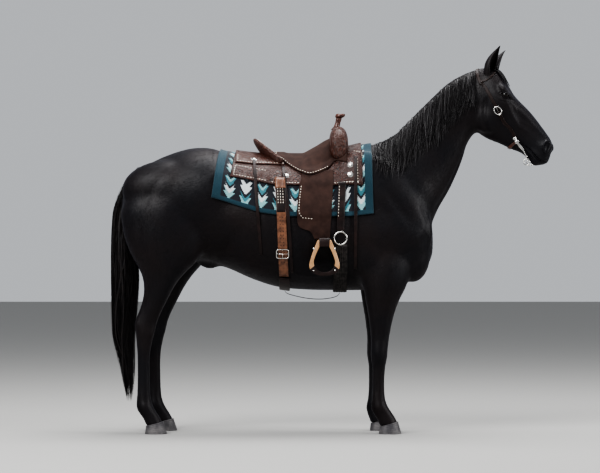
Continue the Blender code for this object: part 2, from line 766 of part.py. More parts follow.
def sheet(name, drape, rays, slot, inner, thickness, clear=True):
    """A closed sheet over a grid of rays, raised wherever it would cut what lies beneath."""
    rows, columns = len(rays), len(rays[0])
    bare = [[drape.reach(*rays[i][j]) + inner for j in range(columns)] for i in range(rows)]
    thick = [[thickness(i, j) for j in range(columns)] for i in range(rows)]
    for _ in range(SETTLE_ROUNDS if clear else 0):
        low = [[value - FIT_GAP for value in row] for row in bare]
        high = [[a + b for a, b in zip(*pair)] for pair in zip(bare, thick)]
        probe = grid_solid(rays, low, high)
        touched = drape.touched(probe)
        probe.free()
        if not touched:
            break
        for index in touched:
            i, j = divmod(index // 2, columns)
            bare[i][j] += SETTLE_STEP
    high = [[a + b for a, b in zip(*pair)] for pair in zip(bare, thick)]
    return put(name, grid_solid(rays, bare, high), slot)


def stand_clear(obj, drape, way):
    """Moves a stiff piece outwards until it touches nothing beneath it."""
    bm = bmesh.new()
    bm.from_mesh(obj.data)
    for _ in range(SETTLE_ROUNDS):
        if not drape.touched(bm):
            break
        bmesh.ops.translate(bm, vec=way * SETTLE_STEP, verts=bm.verts)
    bmesh.ops.translate(bm, vec=way * FIT_GAP, verts=bm.verts)
    bm.to_mesh(obj.data)
    bm.free()
    return obj


def between(points, x):
    """Reads a broken line of (x, value) points, eased straight between them."""
    for (x0, v0), (x1, v1) in zip(points, points[1:]):
        if x <= x1:
            return v0 + (v1 - v0) * (x - x0) / (x1 - x0)
    return points[-1][1]


def spread_over(start, end, count):
    return [start + (end - start) * k / (count - 1) for k in range(count)]


MANE_REACH = (0.246, 0.785)
MANE_TOP_AXIS = ((0.20, 1.25), (0.50, 1.50), (0.82, 1.80))
MANE_EDGE = ((0.246, 1.462), (0.30, 1.440), (0.45, 1.480), (0.60, 1.560), (0.70, 1.660), (0.785, 1.780))


def make_mane(body):
    """Hair that falls from the crest down the right side of the neck."""
    drape = Drape([body])
    rays = []
    columns = spread_over(*MANE_REACH, 11)
    for x in columns:
        axis_z = between(MANE_TOP_AXIS, x)
        end = drape.angle_at(x, axis_z, -1.0, between(MANE_EDGE, x))
        origin = Vector((x, 0.0, axis_z))
        rays.append([(origin, spoke(angle)) for angle in spread_over(0.22, -end, 6)])
    full = 0.017
    return sheet("mane", drape, rays, "mane_hair", LAYER_GAP,
                 lambda i, j: full * (1.0 - 0.55 * j / 5.0) * (1.0 - 0.6 * (i / 10.0) ** 4))


def make_forelock(body):
    """A thin lock that falls between the ears on the forehead."""
    drape = Drape([body])
    axes = head_axes()
    rays = []
    for along in spread_over(-0.012, 0.115, 6):
        wide = 0.026 - 0.12 * max(0.0, along - 0.02)
        origin = head_point(along, 0.12, 0.0)
        rays.append([(origin + axes[2] * out, -axes[1]) for out in spread_over(-wide, wide, 3)])
    lock = sheet("forelock", drape, rays, "mane_hair", -0.006,
                 lambda i, j: 0.015, clear=False)
    return lock


# ---------------------------------------------------------------- tack on the trunk
BARREL_AXIS = 1.14

BLANKET_REACH = (-0.640, 0.230)
BLANKET_TOP_REACH = (-0.597, 0.220)
BLANKET_EDGE = ((-0.640, 1.268), (-0.502, 1.225), (-0.376, 1.188), (-0.230, 1.169),
                (0.112, 1.170), (0.230, 1.184))
BLANKET_THICKNESS = 0.012

SKIRT_REACH = (-0.540, 0.172)
SKIRT_TOP_REACH = (-0.512, 0.165)
SKIRT_EDGE = ((-0.540, 1.370), (-0.409, 1.348), (-0.303, 1.327), (0.172, 1.321))
SKIRT_THICKNESS = 0.009

JOCKEY_REACH = (-0.512, -0.250)
JOCKEY_EDGE = ((-0.512, 1.440), (-0.420, 1.430), (-0.250, 1.425))
JOCKEY_THICKNESS = 0.006

SEAT_REACH = (-0.300, 0.085)
SEAT_EDGE = ((-0.300, 1.465), (-0.238, 1.429), (-0.165, 1.385), (-0.107, 1.367), (-0.019, 1.400),
             (0.025, 1.437), (0.085, 1.437))
SEAT_TOP = ((-0.300, 1.512), (-0.261, 1.500), (-0.179, 1.503), (-0.090, 1.547), (-0.018, 1.592),
            (0.000, 1.530), (0.085, 1.530))
SEAT_EDGE_THICKNESS = 0.009
SEAT_HALF = 0.200

FENDER = ((1.395, -0.150, 0.014), (1.300, -0.172, 0.010), (1.180, -0.182, 0.002),
          (1.115, -0.170, -0.002), (1.088, -0.110, -0.004), (1.050, -0.090, -0.006))
FENDER_THICKNESS = 0.007

STIRRUP_TOP = 1.046
STIRRUP_BOTTOM = 0.853
STIRRUP_HALF = 0.082
STIRRUP_NECK_HALF = 0.036
STIRRUP_X = -0.036
STIRRUP_SIDE = 0.026
STIRRUP_DEPTH = 0.052

FLANK_STRAP = ((-0.274, 1.360), (-0.265, 1.180), (-0.258, 1.000), (-0.252, 0.850))
FLANK_HALF = 0.026
GIRTH_X = 0.050
GIRTH_HALF = 0.038
RING_RADIUS = 0.034
RING_TUBE = 0.0045
CONNECTOR = ((0.050, 0.750), (0.012, 0.731), (-0.060, 0.725), (-0.140, 0.734), (-0.200, 0.747), (-0.250, 0.752))
CONNECTOR_HALF = 0.011
CONNECTOR_THICKNESS = 0.004

TIES = {
    "rear": ((-0.413, 1.455), (-0.395, 1.236), (-0.374, 0.964)),
    "seat": ((-0.256, 1.418), (-0.232, 1.204), (-0.208, 0.868)),
    "front": ((0.133, 1.470), (0.132, 1.257), (0.131, 0.889)),
}
TIE_HALF = 0.009
TIE_THICKNESS = 0.004


def smooth_line(points, steps):
    """More points along a short route, on a smooth curve."""
    kind = namedtuple("Spot", [f"c{k}" for k in range(len(points[0]))])
    return refine([kind(*point) for point in points], steps)


def make_connector(saddler):
    """The short strap under the belly that ties the two cinches together."""
    bm = bmesh.new()
    rows = []
    for x, z in smooth_line(CONNECTOR, 3):
        rows.append([bm.verts.new((x, y, z - drop)) for y, drop in
                     ((-CONNECTOR_HALF, 0.0), (CONNECTOR_HALF, 0.0),
                      (CONNECTOR_HALF, CONNECTOR_THICKNESS), (-CONNECTOR_HALF, CONNECTOR_THICKNESS))])
    for here, there in zip(rows, rows[1:]):
        for m in range(4):
            n = (m + 1) % 4
            bm.faces.new((here[m], here[n], there[n], there[m]))
    for row in (rows[0], rows[-1]):
        bm.faces.new(row)
    bmesh.ops.recalc_face_normals(bm, faces=bm.faces)
    bmesh.ops.triangulate(bm, faces=bm.faces)
    return stand_clear(put("cinch_connector", bm, "dark_leather"), saddler.layers, -UP)


class Saddler:
    """Lays pieces of tack on the trunk, each over what is already there."""

    def __init__(self, body):
        self.skin = Drape([body])
        self.layers = Drape([body])

    def add(self, obj):
        self.layers.lay(obj)
        return obj

    def ray(self, x, angle):
        return Vector((x, 0.0, BARREL_AXIS)), spoke(angle)

    def over_back(self, name, reach, top_reach, edge, columns, rows, slot, inner, thickness):
        """A sheet over the back, its ends slanting from the top line to the lower edge."""
        rays = []
        for share in spread_over(0.0, 1.0, columns):
            low_x = reach[0] + (reach[1] - reach[0]) * share
            top_x = top_reach[0] + (top_reach[1] - top_reach[0]) * share
            ends = [self.skin.angle_at(low_x, BARREL_AXIS, side, between(edge, low_x))
                    for side in (-1.0, 1.0)]
            row = []
            for part in spread_over(-1.0, 1.0, rows):
                angle = part * (ends[0] if part < 0 else ends[1])
                row.append(self.ray(top_x + (low_x - top_x) * abs(part) ** 1.5, angle))
            rays.append(row)
        return sheet(name, self.layers, rays, slot, inner, thickness)

    def strap(self, name, side, route, half, thickness, slot, steps=3, across=2):
        """A strap that hangs down one side along a route of (x, z) points."""
        rays = []
        for spot in smooth_line(route, steps):
            angle = side * self.skin.angle_at(spot[0], BARREL_AXIS, side, spot[1])
            rays.append([self.ray(spot[0] + shift, angle) for shift in spread_over(-half, half, across)])
        return sheet(name, self.layers, rays, slot, LAYER_GAP, lambda i, j: thickness)

    def girth(self, name, x, top, half, thickness, slot, gap, count):
        """A band under the belly from one side to the other."""
        start = self.skin.angle_at(x, BARREL_AXIS, -1.0, top)
        end = self.skin.angle_at(x, BARREL_AXIS, 1.0, top)
        rays = []
        for angle in spread_over(start, 2.0 * math.pi - end, count):
            rays.append([self.ray(x + shift, -angle) for shift in (-half, half)])
        return sheet(name, self.layers, rays, slot, gap, lambda i, j: thickness)

    def side_face(self, side, x, z):
        """A point on the outermost layer at a place seen from the side."""
        angle = side * self.skin.angle_at(x, BARREL_AXIS, side, z)
        origin, way = self.ray(x, angle)
        return origin + way * self.layers.reach(origin, way)


def ring_band(centre, radius, tube, axis_a, axis_b, count=12, sides=4):
    """A round wire ring as a bmesh."""
    out = axis_a.cross(axis_b)
    bm = bmesh.new()
    rows = []
    for k in range(count):
        angle = 2 * math.pi * k / count
        way = axis_a * math.cos(angle) + axis_b * math.sin(angle)
        middle = centre + way * radius
        rows.append([bm.verts.new(middle + (way * math.cos(turn) + out * math.sin(turn)) * tube)
                     for turn in (2 * math.pi * m / sides for m in range(sides))])
    for here, there in zip(rows, rows[1:] + rows[:1]):
        for m in range(sides):
            n = (m + 1) % sides
            bm.faces.new((here[m], here[n], there[n], there[m]))
    bmesh.ops.recalc_face_normals(bm, faces=bm.faces)
    bmesh.ops.triangulate(bm, faces=bm.faces)
    return bm


def frame_band(outer, inner, depth_vector):
    """A closed frame between two outlines, with square edges."""
    bm = bmesh.new()
    count = len(outer)
    near_out = [bm.verts.new(point) for point in outer]
    near_in = [bm.verts.new(point) for point in inner]
    far_out = [bm.verts.new(point + depth_vector) for point in outer]
    far_in = [bm.verts.new(point + depth_vector) for point in inner]
    for k in range(count):
        j = (k + 1) % count
        bm.faces.new((near_out[k], near_out[j], near_in[j], near_in[k]))
        bm.faces.new((far_out[k], far_in[k], far_in[j], far_out[j]))
        bm.faces.new((near_out[k], far_out[k], far_out[j], near_out[j]))
        bm.faces.new((near_in[k], near_in[j], far_in[j], far_in[k]))
    bmesh.ops.recalc_face_normals(bm, faces=bm.faces)
    bmesh.ops.triangulate(bm, faces=bm.faces)
    return bm


def stirrup_outline(inset):
    """A bell-shaped loop seen from the side, from the top bar round the tread."""
    points = []
    height = STIRRUP_TOP - STIRRUP_BOTTOM
    wide = STIRRUP_HALF - inset
    narrow = STIRRUP_NECK_HALF - 0.62 * inset
    low = STIRRUP_BOTTOM + 0.75 * inset
    high = STIRRUP_TOP - 1.1 * inset
    belly = low + 0.30 * height
    for k in range(13):
        angle = math.pi * k / 12
        points.append((wide * math.cos(angle), belly - (belly - low) * math.sin(angle) ** 0.8))
    for share in (0.35, 0.7, 1.0):
        points.append((-wide + (wide - narrow) * share ** 1.3, belly + (high - belly) * share))
    mirrored = [(-x, z) for x, z in points[:12:-1]]
    return points + mirrored


def make_stirrup(label, side, face_y):
    depth = Vector((0.0, side * STIRRUP_DEPTH, 0.0))
    loops = []
    for inset in (0.0, STIRRUP_SIDE):
        loops.append([Vector((STIRRUP_X + x, face_y, z)) for x, z in stirrup_outline(inset)])
    return put("stirrup_" + label, frame_band(loops[0], loops[1], depth), "stirrup_wood")


def make_cantle():
    """The raised rim behind the seat, swept from side to side."""
    rings = []
    for t in spread_over(-1.0, 1.0, 13):
        rise = 1.0 - abs(t) ** 2.2
        rim = Vector((-0.268 - 0.150 * rise, 0.185 * t, 1.484 + 0.112 * rise))
        foot = Vector((-0.272 - 0.085 * rise, 0.178 * t, 1.452 + 0.045 * rise))
        up = (rim - foot).normalized()
        back = up.cross(LEFT).normalized()
        reach = 0.5 * (rim - foot).length
        rings.append(egg(0.5 * (rim + foot), up, back, reach, reach, 0.012 + 0.004 * rise,
                         3.0, 3.0, 12))
    return put("saddle_cantle", solid(rings), "tooled_leather")


def make_fork():
    """The swell at the front of the saddle."""
    levels = ((-0.158, 1.505, 1.575, 0.028), (-0.145, 1.475, 1.612, 0.044), (-0.105, 1.470, 1.645, 0.053),
              (-0.050, 1.500, 1.658, 0.052), (0.0, 1.510, 1.662, 0.050))
    rows = list(levels) + [(-y, low, high, reach) for y, low, high, reach in levels[-2::-1]]
    rings = []
    for y, low, high, reach in rows:
        centre = Vector((0.043, y, 0.5 * (low + high)))
        half = 0.5 * (high - low)
        rings.append(egg(centre, UP, FORWARD, half, half, reach, 2.4, 2.4, 12))
    return put("saddle_fork", solid(rings), "tooled_leather")


def make_horn():
    """A short leaning neck under a round cap, joined in one piece."""
    rings = []
    for z, x, radius in ((1.640, 0.030, 0.030), (1.668, 0.036, 0.017), (1.690, 0.041, 0.0135),
                         (1.708, 0.046, 0.015), (1.712, 0.049, 0.024), (1.722, 0.053, 0.0265),
                         (1.730, 0.055, 0.024)):
        centre = Vector((x, 0.0, z))
        rings.append(egg(centre, FORWARD, LEFT, radius, radius, radius, count=12))
    return put("saddle_horn", solid(rings), "tan_leather")


def make_seat(saddler):
    """The seat with its side flaps, thickest along the middle."""
    rows = 11
    columns = spread_over(*SEAT_REACH, 10)

    def padding(i, j):
        origin, way = saddler.ray(columns[i], 0.0)
        share = abs(j - (rows - 1) / 2) / ((rows - 1) / 2)
        target = between(SEAT_TOP, columns[i]) - (BARREL_AXIS + saddler.layers.reach(origin, way))
        pad = max(target - SEAT_EDGE_THICKNESS, 0.0)
        return SEAT_EDGE_THICKNESS + pad * max(0.0, 1.0 - (share / 0.72) ** 2)

    return saddler.over_back("saddle_seat", SEAT_REACH, SEAT_REACH, SEAT_EDGE, len(columns), rows,
                             "suede", LAYER_GAP, padding)


def make_fender(saddler, label, side):
    """The broad leg flap that narrows to the stirrup leather."""
    rays = []
    for z, left, right in smooth_line(FENDER, 2):
        row = []
        for x in spread_over(left, right, 4):
            row.append(saddler.ray(x, side * saddler.skin.angle_at(x, BARREL_AXIS, side, z)))
        rays.append(row)
    return sheet("fender_" + label, saddler.layers, rays, "suede", LAYER_GAP,
                 lambda i, j: FENDER_THICKNESS)


def make_tack(body):
    saddler = Saddler(body)
    blanket = saddler.over_back("saddle_blanket", BLANKET_REACH, BLANKET_TOP_REACH, BLANKET_EDGE,
                                11, 13, "blanket_wool", LAYER_GAP, lambda i, j: BLANKET_THICKNESS)
    saddler.add(blanket)
    saddler.add(saddler.over_back("saddle_skirts", SKIRT_REACH, SKIRT_TOP_REACH, SKIRT_EDGE, 9, 11,
                                  "saddle_leather", LAYER_GAP, lambda i, j: SKIRT_THICKNESS))
    for label, side in SIDES.items():
        saddler.add(saddler.strap("flank_billet_" + label, side, FLANK_STRAP, FLANK_HALF, 0.006,
                                  "tan_leather", across=3))
        saddler.add(saddler.strap("latigo_" + label, side, ((0.060, 1.330), (0.054, 1.200), (0.050, 1.088)),
                                  0.021, 0.010, "dark_leather"))
    saddler.add(saddler.over_back("rear_jockey", JOCKEY_REACH, JOCKEY_REACH, JOCKEY_EDGE, 5, 9,
                                  "saddle_leather", LAYER_GAP, lambda i, j: JOCKEY_THICKNESS))
    for label, side in SIDES.items():
        saddler.add(make_fender(saddler, label, side))
    seat = saddler.add(make_seat(saddler))
    jockey = bpy.data.objects["rear_jockey"]
    skirts = bpy.data.objects["saddle_skirts"]
    cantle = saddler.add(fit(make_cantle(), [seat, jockey, skirts, blanket]))
    fork = saddler.add(fit(make_fork(), [seat, skirts, blanket]))
    fit(make_horn(), [fork])
    saddler.add(saddler.girth("front_cinch", GIRTH_X, 1.018, GIRTH_HALF, 0.013, "mohair", LAYER_GAP, 15))
    saddler.add(saddler.girth("flank_cinch", -0.250, 0.848, 0.029, 0.009, "dark_leather", 0.006, 11))
    for label, side in SIDES.items():
        outward = LEFT * side
        face = saddler.side_face(side, GIRTH_X, 1.053)
        ring = put("cinch_ring_" + label, ring_band(face, RING_RADIUS, RING_TUBE, FORWARD, UP), "silver")
        saddler.add(stand_clear(ring, saddler.layers, outward))
        buckle = saddler.side_face(side, -0.259, 0.975)
        slope = (saddler.side_face(side, -0.259, 1.02) - buckle).normalized()
        outward = FORWARD.cross(slope) * (1.0 if FORWARD.cross(slope).y * side > 0 else -1.0)
        corners = ((1, 1), (-1, 1), (-1, -1), (1, -1))
        start = buckle + outward * FIT_GAP
        outer = [start + FORWARD * (0.035 * a) + slope * (0.027 * b) for a, b in corners]
        inner = [start + FORWARD * (0.029 * a) + slope * (0.021 * b) for a, b in corners]
        frame = put("flank_buckle_" + label, frame_band(outer, inner, outward * 0.004), "silver")
        saddler.add(stand_clear(frame, saddler.layers, outward))
        neck_face = max(abs(saddler.side_face(side, STIRRUP_X, z).y) for z in (0.86, 0.95, 1.04))
        stirrup = make_stirrup(label, side, side * neck_face)
        stand_clear(stirrup, saddler.layers, LEFT * side)
    make_connector(saddler)
    for kind, route in TIES.items():
        for label, side in SIDES.items():
            saddler.add(saddler.strap("tie_" + kind + "_" + label, side, route, TIE_HALF, TIE_THICKNESS,
                                      "dark_leather"))


# ---------------------------------------------------------------- tack on the head
CROWN_ANGLE = 1.62
CHEEK_STRAP = ((0.826, 1.884), (0.866, 1.812), (0.903, 1.742))
CHEEK_LOWER = ((0.905, 1.736), (0.938, 1.672), (0.968, 1.640), (0.986, 1.604))
EAR_LOOP = ((0.824, 1.902), (0.862, 1.926), (0.884, 1.952))
BIT_SHANK = ((0.984, 1.596), (1.004, 1.566), (1.030, 1.532), (1.052, 1.490))
CURB_SPOT = (0.995, 1.575)
REIN_RING = (1.052, 1.464)
REIN_RING_RADIUS = 0.0165
BUCKLE_WIRE = 0.0032
BIT_STANDOFF = 0.007


def head_place(x, z, out):
    """Where a place seen from the side lies in the head's own measures."""
    yaw_shift = out * math.sin(HEAD_YAW)
    flat = Vector((x - HEAD_PIVOT.x + yaw_shift, 0.0, z - HEAD_PIVOT.z)) + HEAD_PIVOT - FACE_TOP
    down = Vector((math.cos(FACE_SLOPE), 0.0, -math.sin(FACE_SLOPE)))
    back = Vector((-math.sin(FACE_SLOPE), 0.0, -math.cos(FACE_SLOPE)))
    return flat.dot(down), flat.dot(back)


class Bridler:
    """Lays the bridle on the head, its two sides alike in the head's own frame."""

    GUESS = 0.085

    def __init__(self, surfaces):
        self.layers = Drape(surfaces, far=0.22)
        self.axes = head_axes()

    def side_ray(self, side, x, z):
        """A ray outwards through a place measured on the right side."""
        along, deep = head_place(x, z, -self.GUESS)
        return head_point(along, deep, 0.0), self.axes[2] * side

    def outside(self, side, x, z, radius, proud):
        """A point that clears everything within a radius of a place seen from the side."""
        origin, way = self.side_ray(side, x, z)
        reach = self.layers.reach(origin, way)
        for k in range(24):
            around = 2 * math.pi * k / 12
            ring = radius * (1.0 if k < 12 else 0.5)
            spot, _ = self.side_ray(side, x + ring * math.cos(around), z + ring * math.sin(around))
            reach = max(reach, (spot - origin).dot(way) + self.layers.reach(spot, way))
        return origin + way * (reach + proud)

    def strap(self, name, side, route, half, thickness, slot, steps=3):
        spots = smooth_line(route, steps)
        rays = []
        for k, spot in enumerate(spots):
            before, after = spots[max(k - 1, 0)], spots[min(k + 1, len(spots) - 1)]
            run = Vector((after[0] - before[0], after[1] - before[1])).normalized()
            rays.append([self.side_ray(side, spot[0] - run.y * shift, spot[1] + run.x * shift)
                         for shift in (-half, half)])
        made = sheet(name, self.layers, rays, slot, LAYER_GAP, lambda i, j: thickness)
        self.layers.lay(made)
        return made

    def crown(self):
        """The strap over the poll behind the ears, down to the cheeks."""
        rays = []
        for angle in spread_over(-CROWN_ANGLE, CROWN_ANGLE, 13):
            lean = 0.030 * (1.0 - math.cos(angle))
            way = (UP * math.cos(angle) + self.axes[2] * math.sin(angle)).normalized()
            rays.append([(Vector((0.797 + lean + shift, -0.010, 1.885)), way) for shift in (-0.008, 0.008)])
        made = sheet("bridle_crown", self.layers, rays, "bridle_leather", LAYER_GAP, lambda i, j: 0.004)
        self.layers.lay(made)
        return made

    def curb(self):
        """The strap that passes behind the chin from bit to bit."""
        along, deep = head_place(*CURB_SPOT, -self.GUESS)
        rays = []
        for angle in spread_over(-1.35, 1.35, 9):
            way = (self.axes[1] * math.cos(angle) + self.axes[2] * math.sin(angle)).normalized()
            rays.append([(head_point(along + shift, deep, 0.0), way) for shift in (-0.008, 0.008)])
        return sheet("curb_strap", self.layers, rays, "bridle_leather", LAYER_GAP, lambda i, j: 0.005)


def make_bit(bridler, label, side):
    """The cheek of a curb bit: a curved bar outside the lips."""
    middle = head_point(0.0, 0.0, 0.0)
    face = max(abs((bridler.outside(side, x, z, 0.012, BIT_STANDOFF) - middle).dot(bridler.axes[2]))
               for x, z in BIT_SHANK)
    rings = []
    for k, spot in enumerate(smooth_line(BIT_SHANK, 2)):
        along, deep = head_place(*spot, -bridler.GUESS)
        centre = head_point(along, deep, side * face)
        wide = 0.011 - 0.0045 * k / 6.0
        rings.append(egg(centre, bridler.axes[1], bridler.axes[2], wide, wide, 0.0035, 3.0, 3.0, 8))
    put("bit_" + label, solid(rings), "silver")
    along, deep = head_place(*REIN_RING, -bridler.GUESS)
    centre = head_point(along, deep, side * face)
    put("rein_ring_" + label,
        ring_band(centre, REIN_RING_RADIUS, 0.0028, bridler.axes[0], bridler.axes[1]), "silver")


def make_bridle(surfaces):
    bridler = Bridler(surfaces)
    bridler.crown()
    for label, side in SIDES.items():
        bridler.strap("cheek_strap_" + label, side, CHEEK_STRAP, 0.008, 0.004, "bridle_leather")
        bridler.strap("cheek_lower_" + label, side, CHEEK_LOWER, 0.007, 0.004, "bridle_leather")
        bridler.strap("ear_loop_" + label, side, EAR_LOOP, 0.006, 0.004, "tan_leather")
        centre = bridler.outside(side, 0.9035, 1.7405, 0.026, BUCKLE_WIRE + LAYER_GAP)
        put("cheek_buckle_" + label,
            ring_band(centre, 0.021, BUCKLE_WIRE, bridler.axes[0] * 1.15, bridler.axes[1] * 0.85), "silver")
    curb = bridler.curb()
    bridler.layers.lay(curb)
    for label, side in SIDES.items():
        make_bit(bridler, label, side)


def centre_on_floor():
    """Moves every node so that the middle of the whole box stands on the origin."""
    nodes = [obj for obj in bpy.data.objects if obj.type == "MESH"]
    corners = [vert.co for obj in nodes for vert in obj.data.vertices]
    shift = Vector((0.0, 0.0, 0.0))
    for axis in (0, 1):
        values = [corner[axis] for corner in corners]
        shift[axis] = -0.5 * (min(values) + max(values))
    for obj in nodes:
        obj.data.transform(Matrix.Translation(shift))


def main():
    clear_scene()
    body = fused_body()
    nodes = part_body(body)
    for label, side in SIDES.items():
        slide = side > 0
        make_hoof("hoof_fore_" + label, FORE_HOOF, side, FORE_FOOT_Y, slide * LEFT_FORE_FOOT_SHIFT)
        make_hoof("hoof_hind_" + label, HIND_HOOF, side, HIND_FOOT_Y, slide * LEFT_HIND_SHIFT)
        socket = make_eye("socket", side, GAP)
        carve(nodes["head"], socket, "DIFFERENCE")
        bake(nodes["head"])
        discard(socket)
        make_eye(label, side)
    keep_largest(nodes["head"])
    for label in SIDES:
        fit(make_ear(label), [nodes["head"]])
    fit(make_tail(), [body])
    make_mane(body)
    ears = [bpy.data.objects["ear_" + label] for label in SIDES]
    forelock = fit(make_forelock(body), [body] + ears)
    make_tack(body)
    make_bridle([body, forelock] + ears)
    discard(body)
    centre_on_floor()


main()
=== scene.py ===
"""Builds the looks of a life-size standing horse in western tack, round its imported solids.

Units are metres and +Z is up. The horse faces +X and stands on z = 0, and its right side is towards -Y.
Everything is shaped in the maker's own frame, whose middle plane is y = 0, and then moved by one small
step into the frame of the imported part.
"""

import logging
import math
from contextlib import contextmanager
from dataclasses import dataclass, field, replace
from enum import Enum
from functools import partial
from typing import Callable, Iterable, Iterator, NamedTuple, Sequence

import bmesh
import bpy
import numpy as np
from mathutils import Matrix, Vector
from mathutils.bvhtree import BVHTree


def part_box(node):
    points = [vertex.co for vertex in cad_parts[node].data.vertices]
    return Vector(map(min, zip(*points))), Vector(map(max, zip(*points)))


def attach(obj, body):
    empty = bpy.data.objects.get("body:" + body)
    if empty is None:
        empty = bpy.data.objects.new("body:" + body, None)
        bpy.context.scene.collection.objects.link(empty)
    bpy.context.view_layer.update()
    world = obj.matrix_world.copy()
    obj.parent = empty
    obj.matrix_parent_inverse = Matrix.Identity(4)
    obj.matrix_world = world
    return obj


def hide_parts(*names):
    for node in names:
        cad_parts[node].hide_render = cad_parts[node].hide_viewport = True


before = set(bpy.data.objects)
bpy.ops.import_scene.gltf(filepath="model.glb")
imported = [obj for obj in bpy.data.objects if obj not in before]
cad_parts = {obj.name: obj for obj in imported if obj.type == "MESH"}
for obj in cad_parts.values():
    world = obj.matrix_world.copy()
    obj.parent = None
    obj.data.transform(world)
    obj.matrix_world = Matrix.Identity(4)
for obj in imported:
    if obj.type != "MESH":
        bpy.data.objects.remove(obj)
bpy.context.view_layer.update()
log = logging.getLogger("horse")

Array = np.ndarray
Piece = bpy.types.Object
Socket = bpy.types.NodeSocket
Tree = bpy.types.NodeTree
Ray = tuple[Vector, Vector]
Rings = list[list[Vector]]
Route = Sequence[tuple[float, float]]
Line = tuple[Array, Array]
Colour = tuple[float, float, float]

UP = Vector((0.0, 0.0, 1.0))
FORWARD = Vector((1.0, 0.0, 0.0))
LEFT = Vector((0.0, 1.0, 0.0))
STIRRUP_MIDDLE_X = -0.036
CINCH_X, CINCH_TOP = 0.050, 1.018
FLANK_X, FLANK_TOP = -0.250, 0.848
WAVE_TURN = 6.28


class Side(Enum):
    """The horse's two sides, as the sign of y."""

    RIGHT = -1.0
    LEFT = 1.0

    @property
    def label(self) -> str:
        """The word that ends the names of this side's nodes."""
        return self.name.lower()


def frame_shift() -> Vector:
    """Works out the step from the maker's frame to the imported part's frame.

    Returns:
        The shift, from where the stirrup and the horn stand in the part.
    """
    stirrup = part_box("stirrup_right")
    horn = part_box("saddle_horn")
    return Vector((0.5 * (stirrup[0][0] + stirrup[1][0]) - STIRRUP_MIDDLE_X,
                   0.5 * (horn[0][1] + horn[1][1]), 0.0))


def middle_of(name: str) -> Vector:
    """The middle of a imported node, in the maker's frame."""
    low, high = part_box(name)
    return (Vector(low) + Vector(high)) * 0.5 - frame_shift()


# ---------------------------------------------------------------- shapes in numbers
class Slice(NamedTuple):
    """A slice across the trunk: heights of its top, bottom and widest level, and its half width."""

    x: float
    top: float
    bottom: float
    widest: float
    half: float
    above: float
    below: float


class Collar(NamedTuple):
    """A slice across the neck, from its crest to its throat line."""

    crest_x: float
    crest_z: float
    throat_x: float
    throat_z: float
    half: float
    level: float
    sway: float


class Mask(NamedTuple):
    """A slice across the head, measured along the face line and back from it."""

    along: float
    front: float
    back: float
    deep: float
    half: float
    above: float
    below: float


class Lump(NamedTuple):
    """A rounded mass of the head: its place along, back and out, then its radii in that order."""

    along: float
    deep: float
    out: float
    r_along: float
    r_deep: float
    r_out: float


class Level(NamedTuple):
    """A level slice through a leg or the tail."""

    z: float
    back: float
    front: float
    out: float
    half: float


def stations_of(kind: type, *rows: Sequence[float]) -> tuple:
    """Reads a table of one kind of station."""
    return tuple(kind(*row) for row in rows)


TRUNK = stations_of(Slice,
    (-1.105, 1.330, 1.020, 1.20, 0.100, 2.0, 2.0),
    (-1.060, 1.405, 0.960, 1.20, 0.165, 2.0, 2.0),
    (-0.980, 1.462, 0.920, 1.22, 0.222, 2.0, 2.0),
    (-0.880, 1.508, 0.920, 1.25, 0.262, 2.1, 2.0),
    (-0.760, 1.543, 0.930, 1.28, 0.282, 2.1, 2.0),
    (-0.650, 1.544, 0.915, 1.28, 0.286, 2.1, 2.0),
    (-0.550, 1.515, 0.885, 1.22, 0.283, 2.1, 2.0),
    (-0.420, 1.494, 0.828, 1.16, 0.300, 2.1, 2.1),
    (-0.280, 1.487, 0.785, 1.13, 0.307, 2.0, 2.1),
    (-0.120, 1.490, 0.771, 1.12, 0.300, 1.8, 2.1),
    (0.020, 1.520, 0.769, 1.11, 0.278, 1.6, 2.1),
    (0.140, 1.553, 0.768, 1.09, 0.250, 1.5, 2.0),
    (0.250, 1.565, 0.775, 1.08, 0.235, 1.5, 2.0),
    (0.360, 1.520, 0.800, 1.08, 0.228, 1.7, 2.0),
    (0.460, 1.400, 0.835, 1.06, 0.205, 1.9, 2.0),
    (0.530, 1.220, 0.905, 1.03, 0.150, 2.0, 2.0),
    (0.556, 1.100, 0.970, 1.03, 0.070, 2.0, 2.0),
)

NECK = stations_of(Collar,
    (0.140, 1.540, 0.500, 1.000, 0.190, 0.60, 0.000),
    (0.270, 1.578, 0.577, 1.188, 0.165, 0.60, 0.000),
    (0.345, 1.620, 0.615, 1.258, 0.140, 0.58, 0.000),
    (0.430, 1.706, 0.652, 1.325, 0.120, 0.56, 0.000),
    (0.530, 1.806, 0.692, 1.412, 0.106, 0.55, -0.002),
    (0.630, 1.898, 0.722, 1.492, 0.097, 0.52, -0.004),
    (0.720, 1.950, 0.742, 1.560, 0.090, 0.50, -0.007),
    (0.810, 1.980, 0.785, 1.625, 0.082, 0.50, -0.010),
    (0.870, 1.980, 0.860, 1.700, 0.070, 0.50, -0.012),
)

